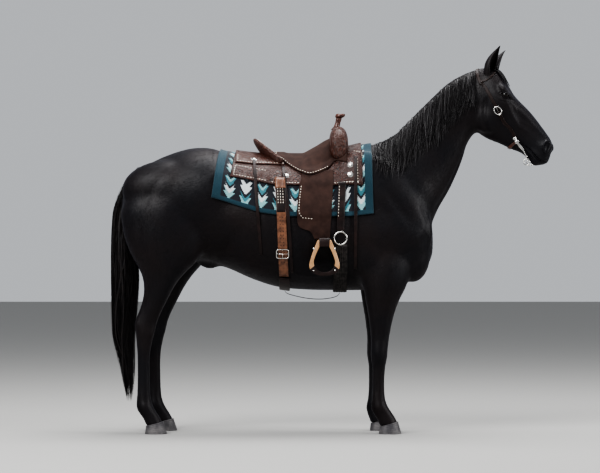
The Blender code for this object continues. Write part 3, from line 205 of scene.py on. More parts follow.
HEAD = stations_of(Mask,
    (-0.050, 0.030, 0.160, 0.090, 0.050, 2.0, 2.0),
    (0.000, 0.004, 0.210, 0.090, 0.076, 2.2, 2.0),
    (0.050, 0.004, 0.250, 0.080, 0.090, 2.4, 1.9),
    (0.100, 0.010, 0.275, 0.072, 0.100, 2.5, 1.8),
    (0.150, 0.017, 0.288, 0.076, 0.100, 2.4, 1.8),
    (0.200, 0.014, 0.298, 0.086, 0.089, 2.2, 1.8),
    (0.260, 0.006, 0.277, 0.090, 0.075, 2.1, 1.8),
    (0.320, 0.003, 0.242, 0.090, 0.064, 2.1, 1.9),
    (0.380, 0.004, 0.212, 0.085, 0.056, 2.1, 2.0),
    (0.430, 0.006, 0.182, 0.080, 0.054, 2.2, 2.1),
    (0.475, 0.011, 0.174, 0.076, 0.058, 2.3, 2.1),
    (0.510, 0.033, 0.170, 0.084, 0.055, 2.3, 2.1),
    (0.540, 0.070, 0.146, 0.100, 0.042, 2.2, 2.1),
    (0.557, 0.094, 0.118, 0.105, 0.018, 2.0, 2.0),
)

HEAD_LUMPS = stations_of(Lump,
    (0.165, 0.190, 0.046, 0.100, 0.098, 0.046),
    (0.112, 0.046, 0.078, 0.046, 0.030, 0.028),
    (0.240, 0.104, 0.060, 0.085, 0.015, 0.016),
    (0.487, 0.047, 0.040, 0.036, 0.032, 0.024),
    (0.507, 0.152, 0.010, 0.032, 0.022, 0.028),
)

FORELEG = stations_of(Level,
    (1.060, 0.150, 0.430, 0.130, 0.070),
    (0.920, 0.140, 0.435, 0.148, 0.085),
    (0.800, 0.168, 0.412, 0.152, 0.082),
    (0.720, 0.182, 0.372, 0.148, 0.070),
    (0.620, 0.200, 0.338, 0.144, 0.057),
    (0.520, 0.212, 0.317, 0.140, 0.047),
    (0.455, 0.212, 0.309, 0.138, 0.050),
    (0.410, 0.212, 0.306, 0.137, 0.047),
    (0.365, 0.220, 0.297, 0.136, 0.036),
    (0.280, 0.221, 0.291, 0.135, 0.030),
    (0.190, 0.219, 0.296, 0.134, 0.032),
    (0.145, 0.215, 0.312, 0.132, 0.040),
    (0.110, 0.226, 0.335, 0.131, 0.038),
    (0.075, 0.248, 0.356, 0.130, 0.040),
    (0.040, 0.262, 0.364, 0.130, 0.044),
)

HINDLEG = stations_of(Level,
    (1.360, -1.000, -0.760, 0.140, 0.090),
    (1.230, -1.124, -0.680, 0.152, 0.124),
    (1.110, -1.124, -0.650, 0.158, 0.128),
    (1.010, -1.098, -0.668, 0.162, 0.118),
    (0.930, -1.060, -0.715, 0.162, 0.102),
    (0.860, -1.022, -0.785, 0.158, 0.085),
    (0.800, -1.010, -0.832, 0.154, 0.072),
    (0.730, -1.014, -0.870, 0.150, 0.060),
    (0.660, -1.036, -0.906, 0.146, 0.050),
    (0.605, -1.058, -0.930, 0.143, 0.044),
    (0.550, -1.055, -0.944, 0.141, 0.046),
    (0.490, -1.048, -0.960, 0.139, 0.041),
    (0.410, -1.044, -0.972, 0.138, 0.033),
    (0.290, -1.044, -0.972, 0.137, 0.031),
    (0.190, -1.047, -0.966, 0.136, 0.034),
    (0.140, -1.046, -0.950, 0.136, 0.041),
    (0.105, -1.028, -0.928, 0.135, 0.039),
    (0.070, -1.006, -0.908, 0.135, 0.040),
    (0.040, -0.996, -0.898, 0.135, 0.043),
)

FORE_SHIFT = -0.013
FORE_FOOT_SHIFT = -0.042
HIND_SHIFT = 0.044


def smooth_rows(stations: Sequence, steps: int) -> list:
    """Runs a smooth curve through every field of a row of stations.

    Args:
        stations: Tuples of one kind, in order.
        steps: How many pieces each gap is cut into.

    Returns:
        The denser row, of the same kind of tuple.
    """
    kind = type(stations[0])
    last = len(stations) - 1
    rows = []
    for i in range(last):
        before = stations[max(i - 1, 0)]
        after = stations[min(i + 2, last)]
        for k in range(steps):
            t = k / steps
            values = []
            for a, b, c, d in zip(before, stations[i], stations[i + 1], after):
                curve = 2 * b + (c - a) * t + (2 * a - 5 * b + 4 * c - d) * t * t
                values.append(0.5 * (curve + (3 * b - a - 3 * c + d) * t ** 3))
            rows.append(kind(*values) if hasattr(kind, "_fields") else tuple(values))
    rows.append(stations[last])
    return rows


def ease(value: float, start: float, end: float) -> float:
    """Rises smoothly from 0 at the start to 1 at the end."""
    t = min(max((value - start) / (end - start), 0.0), 1.0)
    return t * t * (3.0 - 2.0 * t)


def ease_array(value: Array, start: float, end: float) -> Array:
    """Rises smoothly from 0 at the start to 1 at the end, for a whole array."""
    t = np.clip((value - start) / (end - start), 0.0, 1.0)
    return t * t * (3.0 - 2.0 * t)


def on_head(points: Array, rear: float, front: float, low: float, high: float) -> Array:
    """How far each place belongs to the head, from 0 to 1, which is ahead of the neck and above the chest."""
    return ease_array(points[:, 0], rear, front) * ease_array(points[:, 2], low, high)


def spread_over(start: float, end: float, count: int) -> list[float]:
    """Evenly spaced values from the start to the end."""
    return [start + (end - start) * k / (count - 1) for k in range(count)]


def between(points: Route, x: float) -> float:
    """Reads a broken line of (x, value) points.

    Args:
        points: The broken line, in rising order of x.
        x: Where to read it.

    Returns:
        The value there.
    """
    for (x0, v0), (x1, v1) in zip(points, points[1:]):
        if x <= x1:
            return v0 + (v1 - v0) * (x - x0) / (x1 - x0)
    return points[-1][1]


def egg(centre: Vector, up: Vector, side: Vector, above: float, below: float, half: float,
        above_power: float = 2.0, below_power: float = 2.0, count: int = 48) -> list[Vector]:
    """Draws a closed ring, rounder or squarer above and below its widest level.

    Args:
        centre: The middle of the widest level.
        up: The unit direction of its height.
        side: The unit direction of its width.
        above: The reach along up.
        below: The reach against up.
        half: Half the width.
        above_power: 2 for an ellipse, more for a squarer top.
        below_power: The same for the lower part.
        count: The number of points.

    Returns:
        The points, in order round the ring.
    """
    ring = []
    for k in range(count):
        angle = 2 * math.pi * k / count
        c, s = math.cos(angle), math.sin(angle)
        power = 2.0 / (above_power if c >= 0 else below_power)
        reach = (above if c >= 0 else below) * math.copysign(abs(c) ** power, c)
        ring.append(centre + up * reach + side * (half * math.copysign(abs(s) ** power, s)))
    return ring


def ball(centre: Vector, axes: Sequence[Vector], radii: Sequence[float], segments: int = 32,
         rows: int = 18) -> Rings:
    """Gives the rings of an ellipsoid along its first axis.

    Args:
        centre: Its middle.
        axes: Its three unit directions.
        radii: Its half size along each of them.
        segments: Points in a ring.
        rows: One more than the number of rings.

    Returns:
        The rings.
    """
    rings = []
    for i in range(1, rows):
        angle = math.pi * i / rows
        size = math.sin(angle)
        rings.append(egg(centre - axes[0] * (radii[0] * math.cos(angle)), axes[1], axes[2],
                         radii[1] * size, radii[1] * size, radii[2] * size, count=segments))
    return rings


def loft(bm: bmesh.types.BMesh, rings: Sequence[Sequence[Vector]]) -> None:
    """Skins a row of rings and closes both ends with a fan.

    Args:
        bm: The mesh that takes the faces.
        rings: Rings of equal length.
    """
    rows = [[bm.verts.new(point) for point in ring] for ring in rings]
    count = len(rows[0])
    made = []
    for lower, upper in zip(rows, rows[1:]):
        for k in range(count):
            j = (k + 1) % count
            made.append(bm.faces.new((lower[k], lower[j], upper[j], upper[k])))
    for row in (rows[0], rows[-1]):
        hub = bm.verts.new(sum((v.co for v in row), Vector()) / count)
        for k in range(count):
            made.append(bm.faces.new((row[k], row[(k + 1) % count], hub)))
    bmesh.ops.recalc_face_normals(bm, faces=made)


def in_scene(name: str, data: bpy.types.ID) -> Piece:
    """Puts a mesh, a light or a camera into the scene.

    Args:
        name: The object's name.
        data: What it shows.

    Returns:
        The object.
    """
    obj = bpy.data.objects.new(name, data)
    bpy.context.scene.collection.objects.link(obj)
    return obj


def object_from(name: str, bm: bmesh.types.BMesh) -> Piece:
    """Turns a bmesh into an object of the scene.

    Args:
        name: The object's name.
        bm: The mesh, which is freed.

    Returns:
        The object.
    """
    mesh = bpy.data.meshes.new(name)
    bm.to_mesh(mesh)
    bm.free()
    mesh.shade_smooth()
    return in_scene(name, mesh)


def lofted(name: str, *groups: Sequence[Sequence[Vector]]) -> Piece:
    """Makes one object of several lofts.

    Args:
        name: The object's name.
        groups: The rings of each loft.

    Returns:
        The object.
    """
    bm = bmesh.new()
    for rings in groups:
        loft(bm, rings)
    return object_from(name, bm)


@contextmanager
def reshaped(obj: Piece) -> Iterator[bmesh.types.BMesh]:
    """Opens an object's mesh for changes and writes it back.

    Args:
        obj: The object.

    Returns:
        The mesh that is open for changes, once.
    """
    bm = bmesh.new()
    bm.from_mesh(obj.data)
    yield bm
    bm.to_mesh(obj.data)
    bm.free()


def object_of_arrays(name: str, points: Array, faces: Array) -> Piece:
    """Makes an object from an array of points and one of faces of a single size.

    Args:
        name: The object's name.
        points: The places, one row of three each.
        faces: The corners' numbers, one row for each face.

    Returns:
        The object.
    """
    mesh = bpy.data.meshes.new(name)
    mesh.vertices.add(len(points))
    mesh.vertices.foreach_set("co", points.astype(np.float32).ravel())
    size = faces.shape[1]
    mesh.loops.add(faces.size)
    mesh.loops.foreach_set("vertex_index", faces.astype(np.int32).ravel())
    mesh.polygons.add(len(faces))
    mesh.polygons.foreach_set("loop_start", np.arange(0, faces.size, size, dtype=np.int32))
    mesh.update(calc_edges=True)
    mesh.shade_smooth()
    return in_scene(name, mesh)


def applied(obj: Piece) -> Piece:
    """Applies an object's modifiers to its mesh.

    Args:
        obj: The object.

    Returns:
        The same object, without modifiers.
    """
    bpy.context.view_layer.update()
    graph = bpy.context.evaluated_depsgraph_get()
    mesh = bpy.data.meshes.new_from_object(obj.evaluated_get(graph))
    old = obj.data
    obj.modifiers.clear()
    obj.data = mesh
    bpy.data.meshes.remove(old)
    return obj


def discard(obj: Piece) -> None:
    """Removes an object that was only a tool.

    Args:
        obj: The object.
    """
    mesh = obj.data
    bpy.data.objects.remove(obj, do_unlink=True)
    bpy.data.meshes.remove(mesh)


def gathered(items: bpy.types.bpy_prop_collection, name: str, width: int, kind: type = np.float32) -> Array:
    """Reads one property of every item of a mesh, one row of the given width for each.

    Args:
        items: The mesh's points, corners or faces.
        name: The property.
        width: How many numbers one item has.
        kind: The type of the numbers.

    Returns:
        The numbers, one row for each item.
    """
    values = np.empty(width * len(items), kind)
    items.foreach_get(name, values)
    return values.reshape(-1, width)


def corners_of(obj: Piece) -> Array:
    """The vertex at each corner of the object's faces."""
    return gathered(obj.data.loops, "vertex_index", 1, np.int32).ravel()


def add_map(obj: Piece, name: str, places: Array) -> None:
    """Stores a flat map on an object, from a place for each vertex."""
    layer = obj.data.uv_layers.new(name=name)
    layer.data.foreach_set("uv", places[corners_of(obj)].astype(np.float32).ravel())


def points_of(obj: Piece) -> Array:
    """The object's vertices as an array."""
    return gathered(obj.data.vertices, "co", 3).astype(float)


def normals_of(obj: Piece) -> Array:
    """The object's vertex normals as an array."""
    obj.data.update()
    return gathered(obj.data.vertex_normals, "vector", 3).astype(float)


def set_points(obj: Piece, points: Array) -> None:
    """Moves the object's vertices to new places."""
    obj.data.vertices.foreach_set("co", points.astype(np.float32).ravel())
    obj.data.update()


# ---------------------------------------------------------------- the head's own frame
@dataclass
class HeadFrame:
    """Places on the head: along the face line, back from it and out to the left."""

    yaw: float = math.radians(-12.0)
    pivot: Vector = field(default_factory=lambda: Vector((0.83, -0.012, 1.90)))
    face_top: Vector = field(default_factory=lambda: Vector((0.9136, -0.012, 1.964)))
    slope: float = math.radians(52.6)

    @property
    def down(self) -> Vector:
        """Down the face line, before the head turns."""
        return Vector((math.cos(self.slope), 0.0, -math.sin(self.slope)))

    @property
    def back(self) -> Vector:
        """Back from the face line, before the head turns."""
        return Vector((-math.sin(self.slope), 0.0, -math.cos(self.slope)))

    def point(self, along: float, deep: float, out: float) -> Vector:
        """Turns the head's own measures into a place in space.

        Args:
            along: How far down the face.
            deep: How far behind the face's line.
            out: How far out to the left.

        Returns:
            The place.
        """
        flat = self.face_top + self.down * along + self.back * deep + LEFT * out - self.pivot
        flat.x /= math.cos(self.yaw)
        return self.pivot + Matrix.Rotation(self.yaw, 3, "Z") @ flat

    def axes(self) -> tuple[Vector, Vector, Vector]:
        """The three directions in space: along, back and out to the left.

        Returns:
            The three unit directions.
        """
        origin = self.point(0.0, 0.0, 0.0)
        return tuple((self.point(*step) - origin).normalized()
                     for step in ((1.0, 0.0, 0.0), (0.0, 1.0, 0.0), (0.0, 0.0, 1.0)))

    def measures(self, points: Array) -> Array:
        """Turns places in space into the head's own measures, one row of three each.

        Args:
            points: Places in space, one row each.

        Returns:
            Rows of along, deep and out.
        """
        turn = np.array(Matrix.Rotation(-self.yaw, 3, "Z"))
        flat = (points - np.array(self.pivot)) @ turn.T
        flat[:, 0] *= math.cos(self.yaw)
        flat += np.array(self.pivot - self.face_top)
        return np.stack([flat @ np.array(self.down), flat @ np.array(self.back), flat[:, 1]], 1)

    def places(self, measures: Array) -> Array:
        """Turns rows of the head's own measures into places in space.

        Args:
            measures: Rows of along, deep and out.

        Returns:
            Places in space, one row each.
        """
        flat = (np.outer(measures[:, 0], np.array(self.down)) + np.outer(measures[:, 1], np.array(self.back))
                + np.outer(measures[:, 2], np.array(LEFT)) + np.array(self.face_top - self.pivot))
        flat[:, 0] /= math.cos(self.yaw)
        return flat @ np.array(Matrix.Rotation(self.yaw, 3, "Z")).T + np.array(self.pivot)

    def place_seen(self, x: float, z: float, out: float) -> tuple[float, float]:
        """Where a place seen squarely from the side lies, along and back.

        Args:
            x: The place's x.
            z: The place's z.
            out: How far out to the left the place lies.

        Returns:
            The distance along the face line and the distance back from it.
        """
        flat = Vector((x - self.pivot.x + out * math.sin(self.yaw), 0.0, z - self.pivot.z))
        flat += self.pivot - self.face_top
        return flat.dot(self.down), flat.dot(self.back)


HEAD_FRAME = HeadFrame()
NOSE_OUT = -0.05
CHEEK_OUT = -0.075


def foreleg_shift(z: float) -> float:
    """How far forward the left foreleg stands of the right one at a height."""
    foot = 1.0 - ease(z, 0.06, 0.17)
    return FORE_SHIFT * (1.0 - ease(z, 0.75, 1.0)) * (1.0 - foot) + FORE_FOOT_SHIFT * foot


def hindleg_shift(z: float) -> float:
    """How far forward the left hind leg stands of the right one at a height."""
    return HIND_SHIFT * (1.0 - ease(z, 0.80, 1.15))


# ---------------------------------------------------------------- the skin
class Mound(NamedTuple):
    """A soft rise or hollow on both sides: its place from the side, its size and its height."""

    x: float
    z: float
    turn: float
    long: float
    wide: float
    height: float


class Furrow(NamedTuple):
    """A soft crease along a route of (x, z) points on both sides; a negative depth is a ridge."""

    route: Route
    width: float
    depth: float


BODY_MOUNDS = stations_of(Mound,
    (0.500, 1.090, 60.0, 0.070, 0.055, 0.010),
    (0.255, 1.300, -52.0, 0.170, 0.030, 0.004),
    (0.350, 1.240, -52.0, 0.160, 0.028, -0.005),
    (0.190, 0.980, 70.0, 0.110, 0.070, 0.008),
    (0.090, 1.020, 80.0, 0.090, 0.022, -0.007),
    (0.300, 0.850, 85.0, 0.110, 0.040, 0.004),
    (-0.560, 1.240, 30.0, 0.085, 0.055, -0.008),
    (-0.610, 1.395, 20.0, 0.050, 0.030, 0.005),
    (-0.650, 0.960, 60.0, 0.055, 0.045, 0.009),
    (-0.575, 0.990, 50.0, 0.090, 0.028, -0.010),
    (-0.880, 1.230, 75.0, 0.170, 0.080, 0.006),
    (-0.880, 0.800, 75.0, 0.120, 0.034, 0.006),
    (-1.000, 0.690, 80.0, 0.080, 0.014, -0.007),
    (-1.045, 0.590, 80.0, 0.028, 0.018, 0.006),
    (-0.960, 0.545, 60.0, 0.030, 0.020, 0.005),
    (-1.000, 0.520, 70.0, 0.040, 0.014, -0.003),
    (0.255, 0.435, 90.0, 0.045, 0.030, 0.004),
    (0.230, 0.395, 90.0, 0.030, 0.014, -0.004),
    (0.265, 0.150, 80.0, 0.030, 0.022, 0.004),
    (-1.005, 0.150, 80.0, 0.030, 0.022, 0.004),
)
BODY_FURROWS = (
    Furrow(((0.745, 1.545), (0.690, 1.420), (0.630, 1.300), (0.560, 1.190)), 0.016, 0.007),
    Furrow(((0.690, 1.700), (0.600, 1.560), (0.500, 1.420), (0.420, 1.330)), 0.045, 0.004),
    Furrow(((0.480, 1.250), (0.520, 1.150), (0.490, 1.040), (0.400, 0.960)), 0.020, 0.006),
    Furrow(((-0.800, 1.470), (-0.930, 1.350), (-1.010, 1.200), (-1.030, 1.040), (-1.000, 0.930)),
           0.022, 0.004),
    Furrow(((-0.700, 1.420), (-0.790, 1.280), (-0.830, 1.120), (-0.830, 0.960)), 0.040, 0.002),
    Furrow(((0.243, 0.370), (0.246, 0.290), (0.243, 0.200)), 0.007, 0.0045),
    Furrow(((-1.022, 0.470), (-1.020, 0.340), (-1.020, 0.210)), 0.007, 0.0045),
    Furrow(((0.330, 0.800), (0.290, 0.690), (0.270, 0.580), (0.262, 0.490)), 0.012, 0.004),
    Furrow(((0.010, 0.860), (-0.120, 0.850), (-0.260, 0.880), (-0.400, 0.930)), 0.007, -0.0025),
    Furrow(((0.330, 0.930), (0.300, 0.830), (0.310, 0.720)), 0.006, -0.0022),
    Furrow(((-0.900, 0.960), (-0.930, 0.830), (-0.940, 0.700)), 0.006, -0.0022),
)
FACE_MOUNDS = stations_of(Mound,
    (0.934, 1.862, -50.0, 0.026, 0.012, 0.004),
    (0.905, 1.862, -40.0, 0.026, 0.017, -0.006),
    (0.955, 1.775, -60.0, 0.050, 0.014, 0.003),
    (1.034, 1.690, -52.0, 0.070, 0.019, -0.006),
    (0.985, 1.700, -62.0, 0.075, 0.011, 0.006),
    (0.880, 1.700, -50.0, 0.080, 0.060, 0.006),
    (1.100, 1.650, -50.0, 0.090, 0.010, 0.003),
    (1.105, 1.530, -45.0, 0.040, 0.020, -0.004),
    (1.140, 1.475, 0.0, 0.030, 0.014, 0.004),
    (1.080, 1.470, -20.0, 0.030, 0.016, 0.004),
)
FACE_FURROWS = (
    Furrow(((1.030, 1.556), (1.052, 1.541), (1.084, 1.508), (1.112, 1.477), (1.135, 1.466), (1.170, 1.470)),
           0.0050, 0.0065),
    Furrow(((0.850, 1.600), (0.835, 1.680), (0.833, 1.760), (0.845, 1.820)), 0.012, 0.005),
    Furrow(((0.968, 1.792), (0.990, 1.765), (1.000, 1.735)), 0.006, -0.0020),
    Furrow(((1.000, 1.660), (1.040, 1.640), (1.075, 1.610), (1.100, 1.570)), 0.005, -0.0022),
    Furrow(((1.020, 1.690), (1.060, 1.665), (1.090, 1.640)), 0.005, -0.0020),
    Furrow(((0.918, 1.796), (0.940, 1.789), (0.962, 1.790)), 0.0035, 0.0016),
)


@dataclass
class Eyes:
    """The eyeballs and the opening between their lids."""

    along: float = 0.137
    deep: float = 0.048
    out: float = 0.0815
    radius: float = 0.0215
    half_long: float = 0.0208
    half_up: float = 0.0095
    half_low: float = 0.0088
    tilt: float = math.radians(33.0)
    lid: float = 0.0032

    def local(self, measures: Array, side: Side) -> Array:
        """Measures points in one eye's frame: along its slit, up across it, and outwards.

        Args:
            measures: Rows in the head's own measures.
            side: Which eye.

        Returns:
            One row of three for each point.
        """
        a = measures[:, 0] - self.along
        d = measures[:, 1] - self.deep
        long = a * math.cos(self.tilt) - d * math.sin(self.tilt)
        short = -a * math.sin(self.tilt) - d * math.cos(self.tilt)
        return np.stack([long, short, measures[:, 2] * side.value - self.out], 1)

    def head_measures(self, local: Array, side: Side) -> Array:
        """Turns rows of the eye's frame back into the head's own measures.

        Args:
            local: Rows in the eye's frame.
            side: Which eye it is.

        Returns:
            Rows of along, deep and out.
        """
        a = local[:, 0] * math.cos(self.tilt) - local[:, 1] * math.sin(self.tilt) + self.along
        d = -local[:, 0] * math.sin(self.tilt) - local[:, 1] * math.cos(self.tilt) + self.deep
        return np.stack([a, d, (local[:, 2] + self.out) * side.value], 1)

    def open_lids(self, measures: Array, side: Side) -> Array:
        """Wraps the skin over the eyeball, with an opening in the shape of an almond.

        Args:
            measures: Rows of skin points in the head's own measures.
            side: Which eye.

        Returns:
            The moved rows.
        """
        p = self.local(measures, side)
        near = (np.hypot(p[:, 0], p[:, 1]) < 0.075) & (p[:, 2] > -0.03)
        q = p[near]
        u = np.abs(q[:, 0]) / self.half_long
        v = q[:, 1] / np.where(q[:, 1] > 0, self.half_up, self.half_low)
        edge = np.sqrt(u ** 2.2 + v ** 2)
        reach = q[:, 0] ** 2 + q[:, 1] ** 2
        natural = q[:, 2]
        globe = np.sqrt(np.clip(self.radius ** 2 - reach, 0.0, None))
        over = np.sqrt(np.clip((self.radius + self.lid) ** 2 - reach, 0.0, None))
        apart = over - (natural - 0.004)
        over = 0.5 * (over + natural - 0.004 + np.sqrt(apart ** 2 + 0.004 ** 2))
        rim = ease_array(edge, 0.90, 1.06)
        lidded = (globe - 0.007) * (1.0 - rim) + over * rim
        lidded += 0.0010 * np.exp(-((edge - 1.14) / 0.11) ** 2)
        upper = ease_array(q[:, 1], -0.004, 0.004)
        lidded -= (0.0026 * upper + 0.0014 * (1.0 - upper)) * np.exp(-((edge - 1.62) / 0.16) ** 2)
        lidded += 0.0016 * upper * np.exp(-((edge - 2.05) / 0.22) ** 2)
        fade = ease_array(edge, 1.5, 3.2)
        q[:, 2] = lidded * (1.0 - fade) + natural * fade
        p[near] = q
        return self.head_measures(p, side)


@dataclass
class Nostrils:
    """The flared openings of the nose."""

    x: float = 1.1690
    z: float = 1.5475
    half_high: float = 0.0310
    half_wide: float = 0.0200
    lean: float = math.radians(14.0)
    pit: float = 0.024
    rim: float = 0.0030

    def open(self, measures: Array, side: Side) -> Array:
        """Sinks the pit of one nostril and raises the rim round it.

        Args:
            measures: Rows of skin points in the head's own measures.
            side: Which nostril.

        Returns:
            The moved rows.
        """
        along, deep = HEAD_FRAME.place_seen(self.x, self.z, NOSE_OUT)
        a = measures[:, 0] - along
        d = measures[:, 1] - deep
        turn = HEAD_FRAME.slope - self.lean
        high = a * math.sin(turn) + d * math.cos(turn)
        wide = a * math.cos(turn) - d * math.sin(turn)
        edge = np.hypot(high / self.half_high, wide / self.half_wide)
        facing = ease_array(measures[:, 2] * side.value, 0.012, 0.034)
        sink = self.pit * np.clip(1.0 - edge ** 2.2, 0.0, None) ** 0.75
        rise = self.rim * np.exp(-((edge - 1.16) / 0.20) ** 2)
        moved = measures.copy()
        moved[:, 2] += side.value * facing * (rise - sink)
        return moved


@dataclass
class Ears:
    """The pricked ears, each a cup with thick edges."""

    bases: dict[Side, Vector] = field(default_factory=lambda: {
        Side.RIGHT: Vector((0.846, -0.058, 1.905)), Side.LEFT: Vector((0.868, 0.026, 1.902))})
    tips: dict[Side, Vector] = field(default_factory=lambda: {
        Side.RIGHT: Vector((0.9165, -0.077, 2.094)), Side.LEFT: Vector((0.9540, 0.045, 2.077))})
    turns: dict[Side, float] = field(default_factory=lambda: {Side.RIGHT: -0.75, Side.LEFT: 0.25})
    width: float = 0.0345
    wall: float = 0.0050
    shape: tuple[tuple[float, float, float], ...] = (
        (0.00, 0.70, 165.0), (0.12, 0.76, 160.0), (0.25, 0.90, 145.0), (0.38, 1.00, 125.0),
        (0.52, 0.96, 112.0), (0.66, 0.78, 105.0), (0.80, 0.50, 98.0), (0.92, 0.24, 92.0), (1.00, 0.07, 90.0))

    def rings(self, side: Side) -> Rings:
        """Gives the cupped rings of one ear, from base to tip.

        Args:
            side: Which ear it is.

        Returns:
            The rings.
        """
        base, tip = self.bases[side], self.tips[side]
        axis = (tip - base).normalized()
        open_way = Matrix.Rotation(self.turns[side], 3, axis) @ FORWARD
        open_way = (open_way - axis * open_way.dot(axis)).normalized()
        side_way = axis.cross(open_way)
        rings = []
        for share, wide, spread in smooth_rows(self.shape, 3):
            bend = open_way * (-0.010 * math.sin(math.pi * share)) + side_way * (
                0.004 * side.value * math.sin(math.pi * share))
            middle = base.lerp(tip, share) + bend
            radius = self.width * wide
            inner = max(radius - self.wall, 0.35 * radius)
            reach = math.radians(spread)
            ring = []
            for angle in spread_over(-reach, reach, 20):
                ring.append(middle - open_way * (radius * math.cos(angle) * 0.92)
                            + side_way * (radius * math.sin(angle)))
            for angle in spread_over(reach, -reach, 20):
                ring.append(middle - open_way * (inner * math.cos(angle) * 0.90)
                            + side_way * (inner * math.sin(angle)))
            rings.append(ring)
        return rings


@dataclass
class Skin:
    """The horse's whole skin in one piece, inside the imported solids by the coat's depth."""

    voxel: float = 0.0115
    fine_rounds: int = 3
    broad_rounds: int = 18
    coat_depth: float = 0.0025
    eyes: Eyes = field(default_factory=Eyes)
    nostrils: Nostrils = field(default_factory=Nostrils)
    ears: Ears = field(default_factory=Ears)

    def trunk(self) -> Rings:
        """The rings of the trunk.

        Returns:
            The rings.
        """
        return [egg(Vector((cut.x, 0.0, cut.widest)), UP, LEFT, cut.top - cut.widest,
                    cut.widest - cut.bottom, cut.half, cut.above, cut.below, 72)
                for cut in smooth_rows(TRUNK, 4)]

    def neck(self) -> Rings:
        """The rings of the neck.

        Returns:
            The rings.
        """
        rings = []
        for cut in smooth_rows(NECK, 4):
            crest = Vector((cut.crest_x, cut.sway, cut.crest_z))
            throat = Vector((cut.throat_x, cut.sway, cut.throat_z))
            middle = throat.lerp(crest, 1.0 - cut.level)
            rings.append(egg(middle, (crest - throat).normalized(), LEFT, (crest - middle).length,
                             (middle - throat).length, cut.half, 1.5, 2.1, 56))
        return rings

    def head(self) -> Rings:
        """The rings of the head.

        Returns:
            The rings.
        """
        rings = []
        for cut in smooth_rows(HEAD, 4):
            flat = egg(Vector((cut.along, cut.deep, 0.0)), Vector((0.0, -1.0, 0.0)),
                       Vector((0.0, 0.0, 1.0)), cut.deep - cut.front, cut.back - cut.deep,
                       cut.half, cut.above, cut.below, 56)
            rings.append([HEAD_FRAME.point(*point) for point in flat])
        return rings

    def leg(self, levels: Sequence[Level], side: Side, shift: Callable[[float], float]) -> Rings:
        """The rings of one leg.

        Args:
            levels: The leg's level cuts.
            side: Which side of the horse it is on.
            shift: How far forward the far leg stands, by height.

        Returns:
            The rings.
        """
        rings = []
        for cut in smooth_rows(levels, 4):
            slide = shift(cut.z) if side is Side.LEFT else 0.0
            reach = 0.5 * (cut.front - cut.back)
            centre = Vector((0.5 * (cut.front + cut.back) + slide, side.value * cut.out, cut.z))
            rings.append(egg(centre, FORWARD, LEFT, reach, reach, cut.half, count=40))
        return rings

    def muscles(self) -> Iterable[Rings]:
        """The rounded masses that plain lofts lack, the same on both sides.

        Returns:
            The rings of one mass after the other.
        """
        blade = Vector((0.62, 0.0, -0.78)).normalized()
        upright = (UP, FORWARD, LEFT)
        for side in Side:
            y = side.value
            for x, out, z, ways, radii in (
                    (0.290, 0.130, 1.225, (blade, blade.cross(LEFT), LEFT), (0.340, 0.200, 0.088)),
                    (0.440, 0.090, 0.960, upright, (0.150, 0.100, 0.095)),
                    (0.200, 0.160, 0.980, upright, (0.150, 0.110, 0.075)),
                    (-0.860, 0.125, 1.310, (FORWARD, UP, LEFT), (0.270, 0.170, 0.140)),
                    (-1.060, 0.085, 1.200, upright, (0.160, 0.075, 0.070))):
                yield ball(Vector((x, y * out, z)), ways, radii)
            for lump in HEAD_LUMPS:
                yield ball(HEAD_FRAME.point(lump.along, lump.deep, y * lump.out), HEAD_FRAME.axes(),
                           (lump.r_along, lump.r_deep, lump.r_out))
        yield ball(Vector((-0.655, 0.0, 0.925)), (FORWARD, UP, LEFT), (0.070, 0.042, 0.030))

    def fused(self) -> Piece:
        """Fuses all masses into one closed skin and softens where they join.

        Returns:
            The skin, not yet modelled.
        """
        legs = [self.leg(levels, side, shift) for side in Side
                for levels, shift in ((FORELEG, foreleg_shift), (HINDLEG, hindleg_shift))]
        body = lofted("skin", self.trunk(), self.neck(), self.head(), *legs, *self.muscles())
        remesh = body.modifiers.new("fuse", "REMESH")
        remesh.mode = "VOXEL"
        remesh.voxel_size = self.voxel
        applied(body)
        points = points_of(body)
        face = on_head(points, 0.74, 0.86, 1.35, 1.45)
        leg = 1.0 - ease_array(points[:, 2], 0.45, 0.85)
        broad = 1.0 - np.maximum(face, leg)
        group = body.vertex_groups.new(name="broad")
        for level in range(1, 11):
            chosen = np.nonzero(np.round(broad * 10) == level)[0]
            group.add(chosen.tolist(), level / 10.0, "REPLACE")
        for name, rounds in (("", self.fine_rounds), ("broad", self.broad_rounds)):
            soften = body.modifiers.new("soften_" + name, "SMOOTH")
            soften.factor = 0.5
            soften.iterations = rounds
            soften.vertex_group = name
        applied(body)
        body.vertex_groups.clear()
        return body

    def add_ears(self, body: Piece) -> None:
        """Joins the ears to the head with a Boolean union.

        Args:
            body: The skin.
        """
        tool = lofted("ears_tool", *(self.ears.rings(side) for side in Side))
        tool.hide_render = True
        union = body.modifiers.new("ears", "BOOLEAN")
        union.operation = "UNION"
        union.solver = "EXACT"
        union.object = tool
        applied(body)
        discard(tool)

    def refine(self, body: Piece, inside: Callable[[Array], Array], rounds: int) -> None:
        """Splits the faces in one region and smooths what they gain.

        Args:
            body: The skin.
            inside: Says for rows of points which of them lie in the region.
            rounds: How often the region is smoothed.
        """
        with reshaped(body) as bm:
            bm.verts.ensure_lookup_table()
            chosen = inside(np.array([vert.co for vert in bm.verts]))
            edges = [edge for edge in bm.edges if chosen[edge.verts[0].index] and chosen[edge.verts[1].index]]
            done = bmesh.ops.subdivide_edges(bm, edges=edges, cuts=1, use_grid_fill=True)
            fresh = {item for item in done["geom_inner"] if isinstance(item, bmesh.types.BMVert)}
            around = list(fresh | {vert for edge in edges for vert in edge.verts if vert.is_valid})
            for _ in range(rounds):
                bmesh.ops.smooth_vert(bm, verts=around, factor=0.5, use_axis_x=True, use_axis_y=True,
                                      use_axis_z=True)

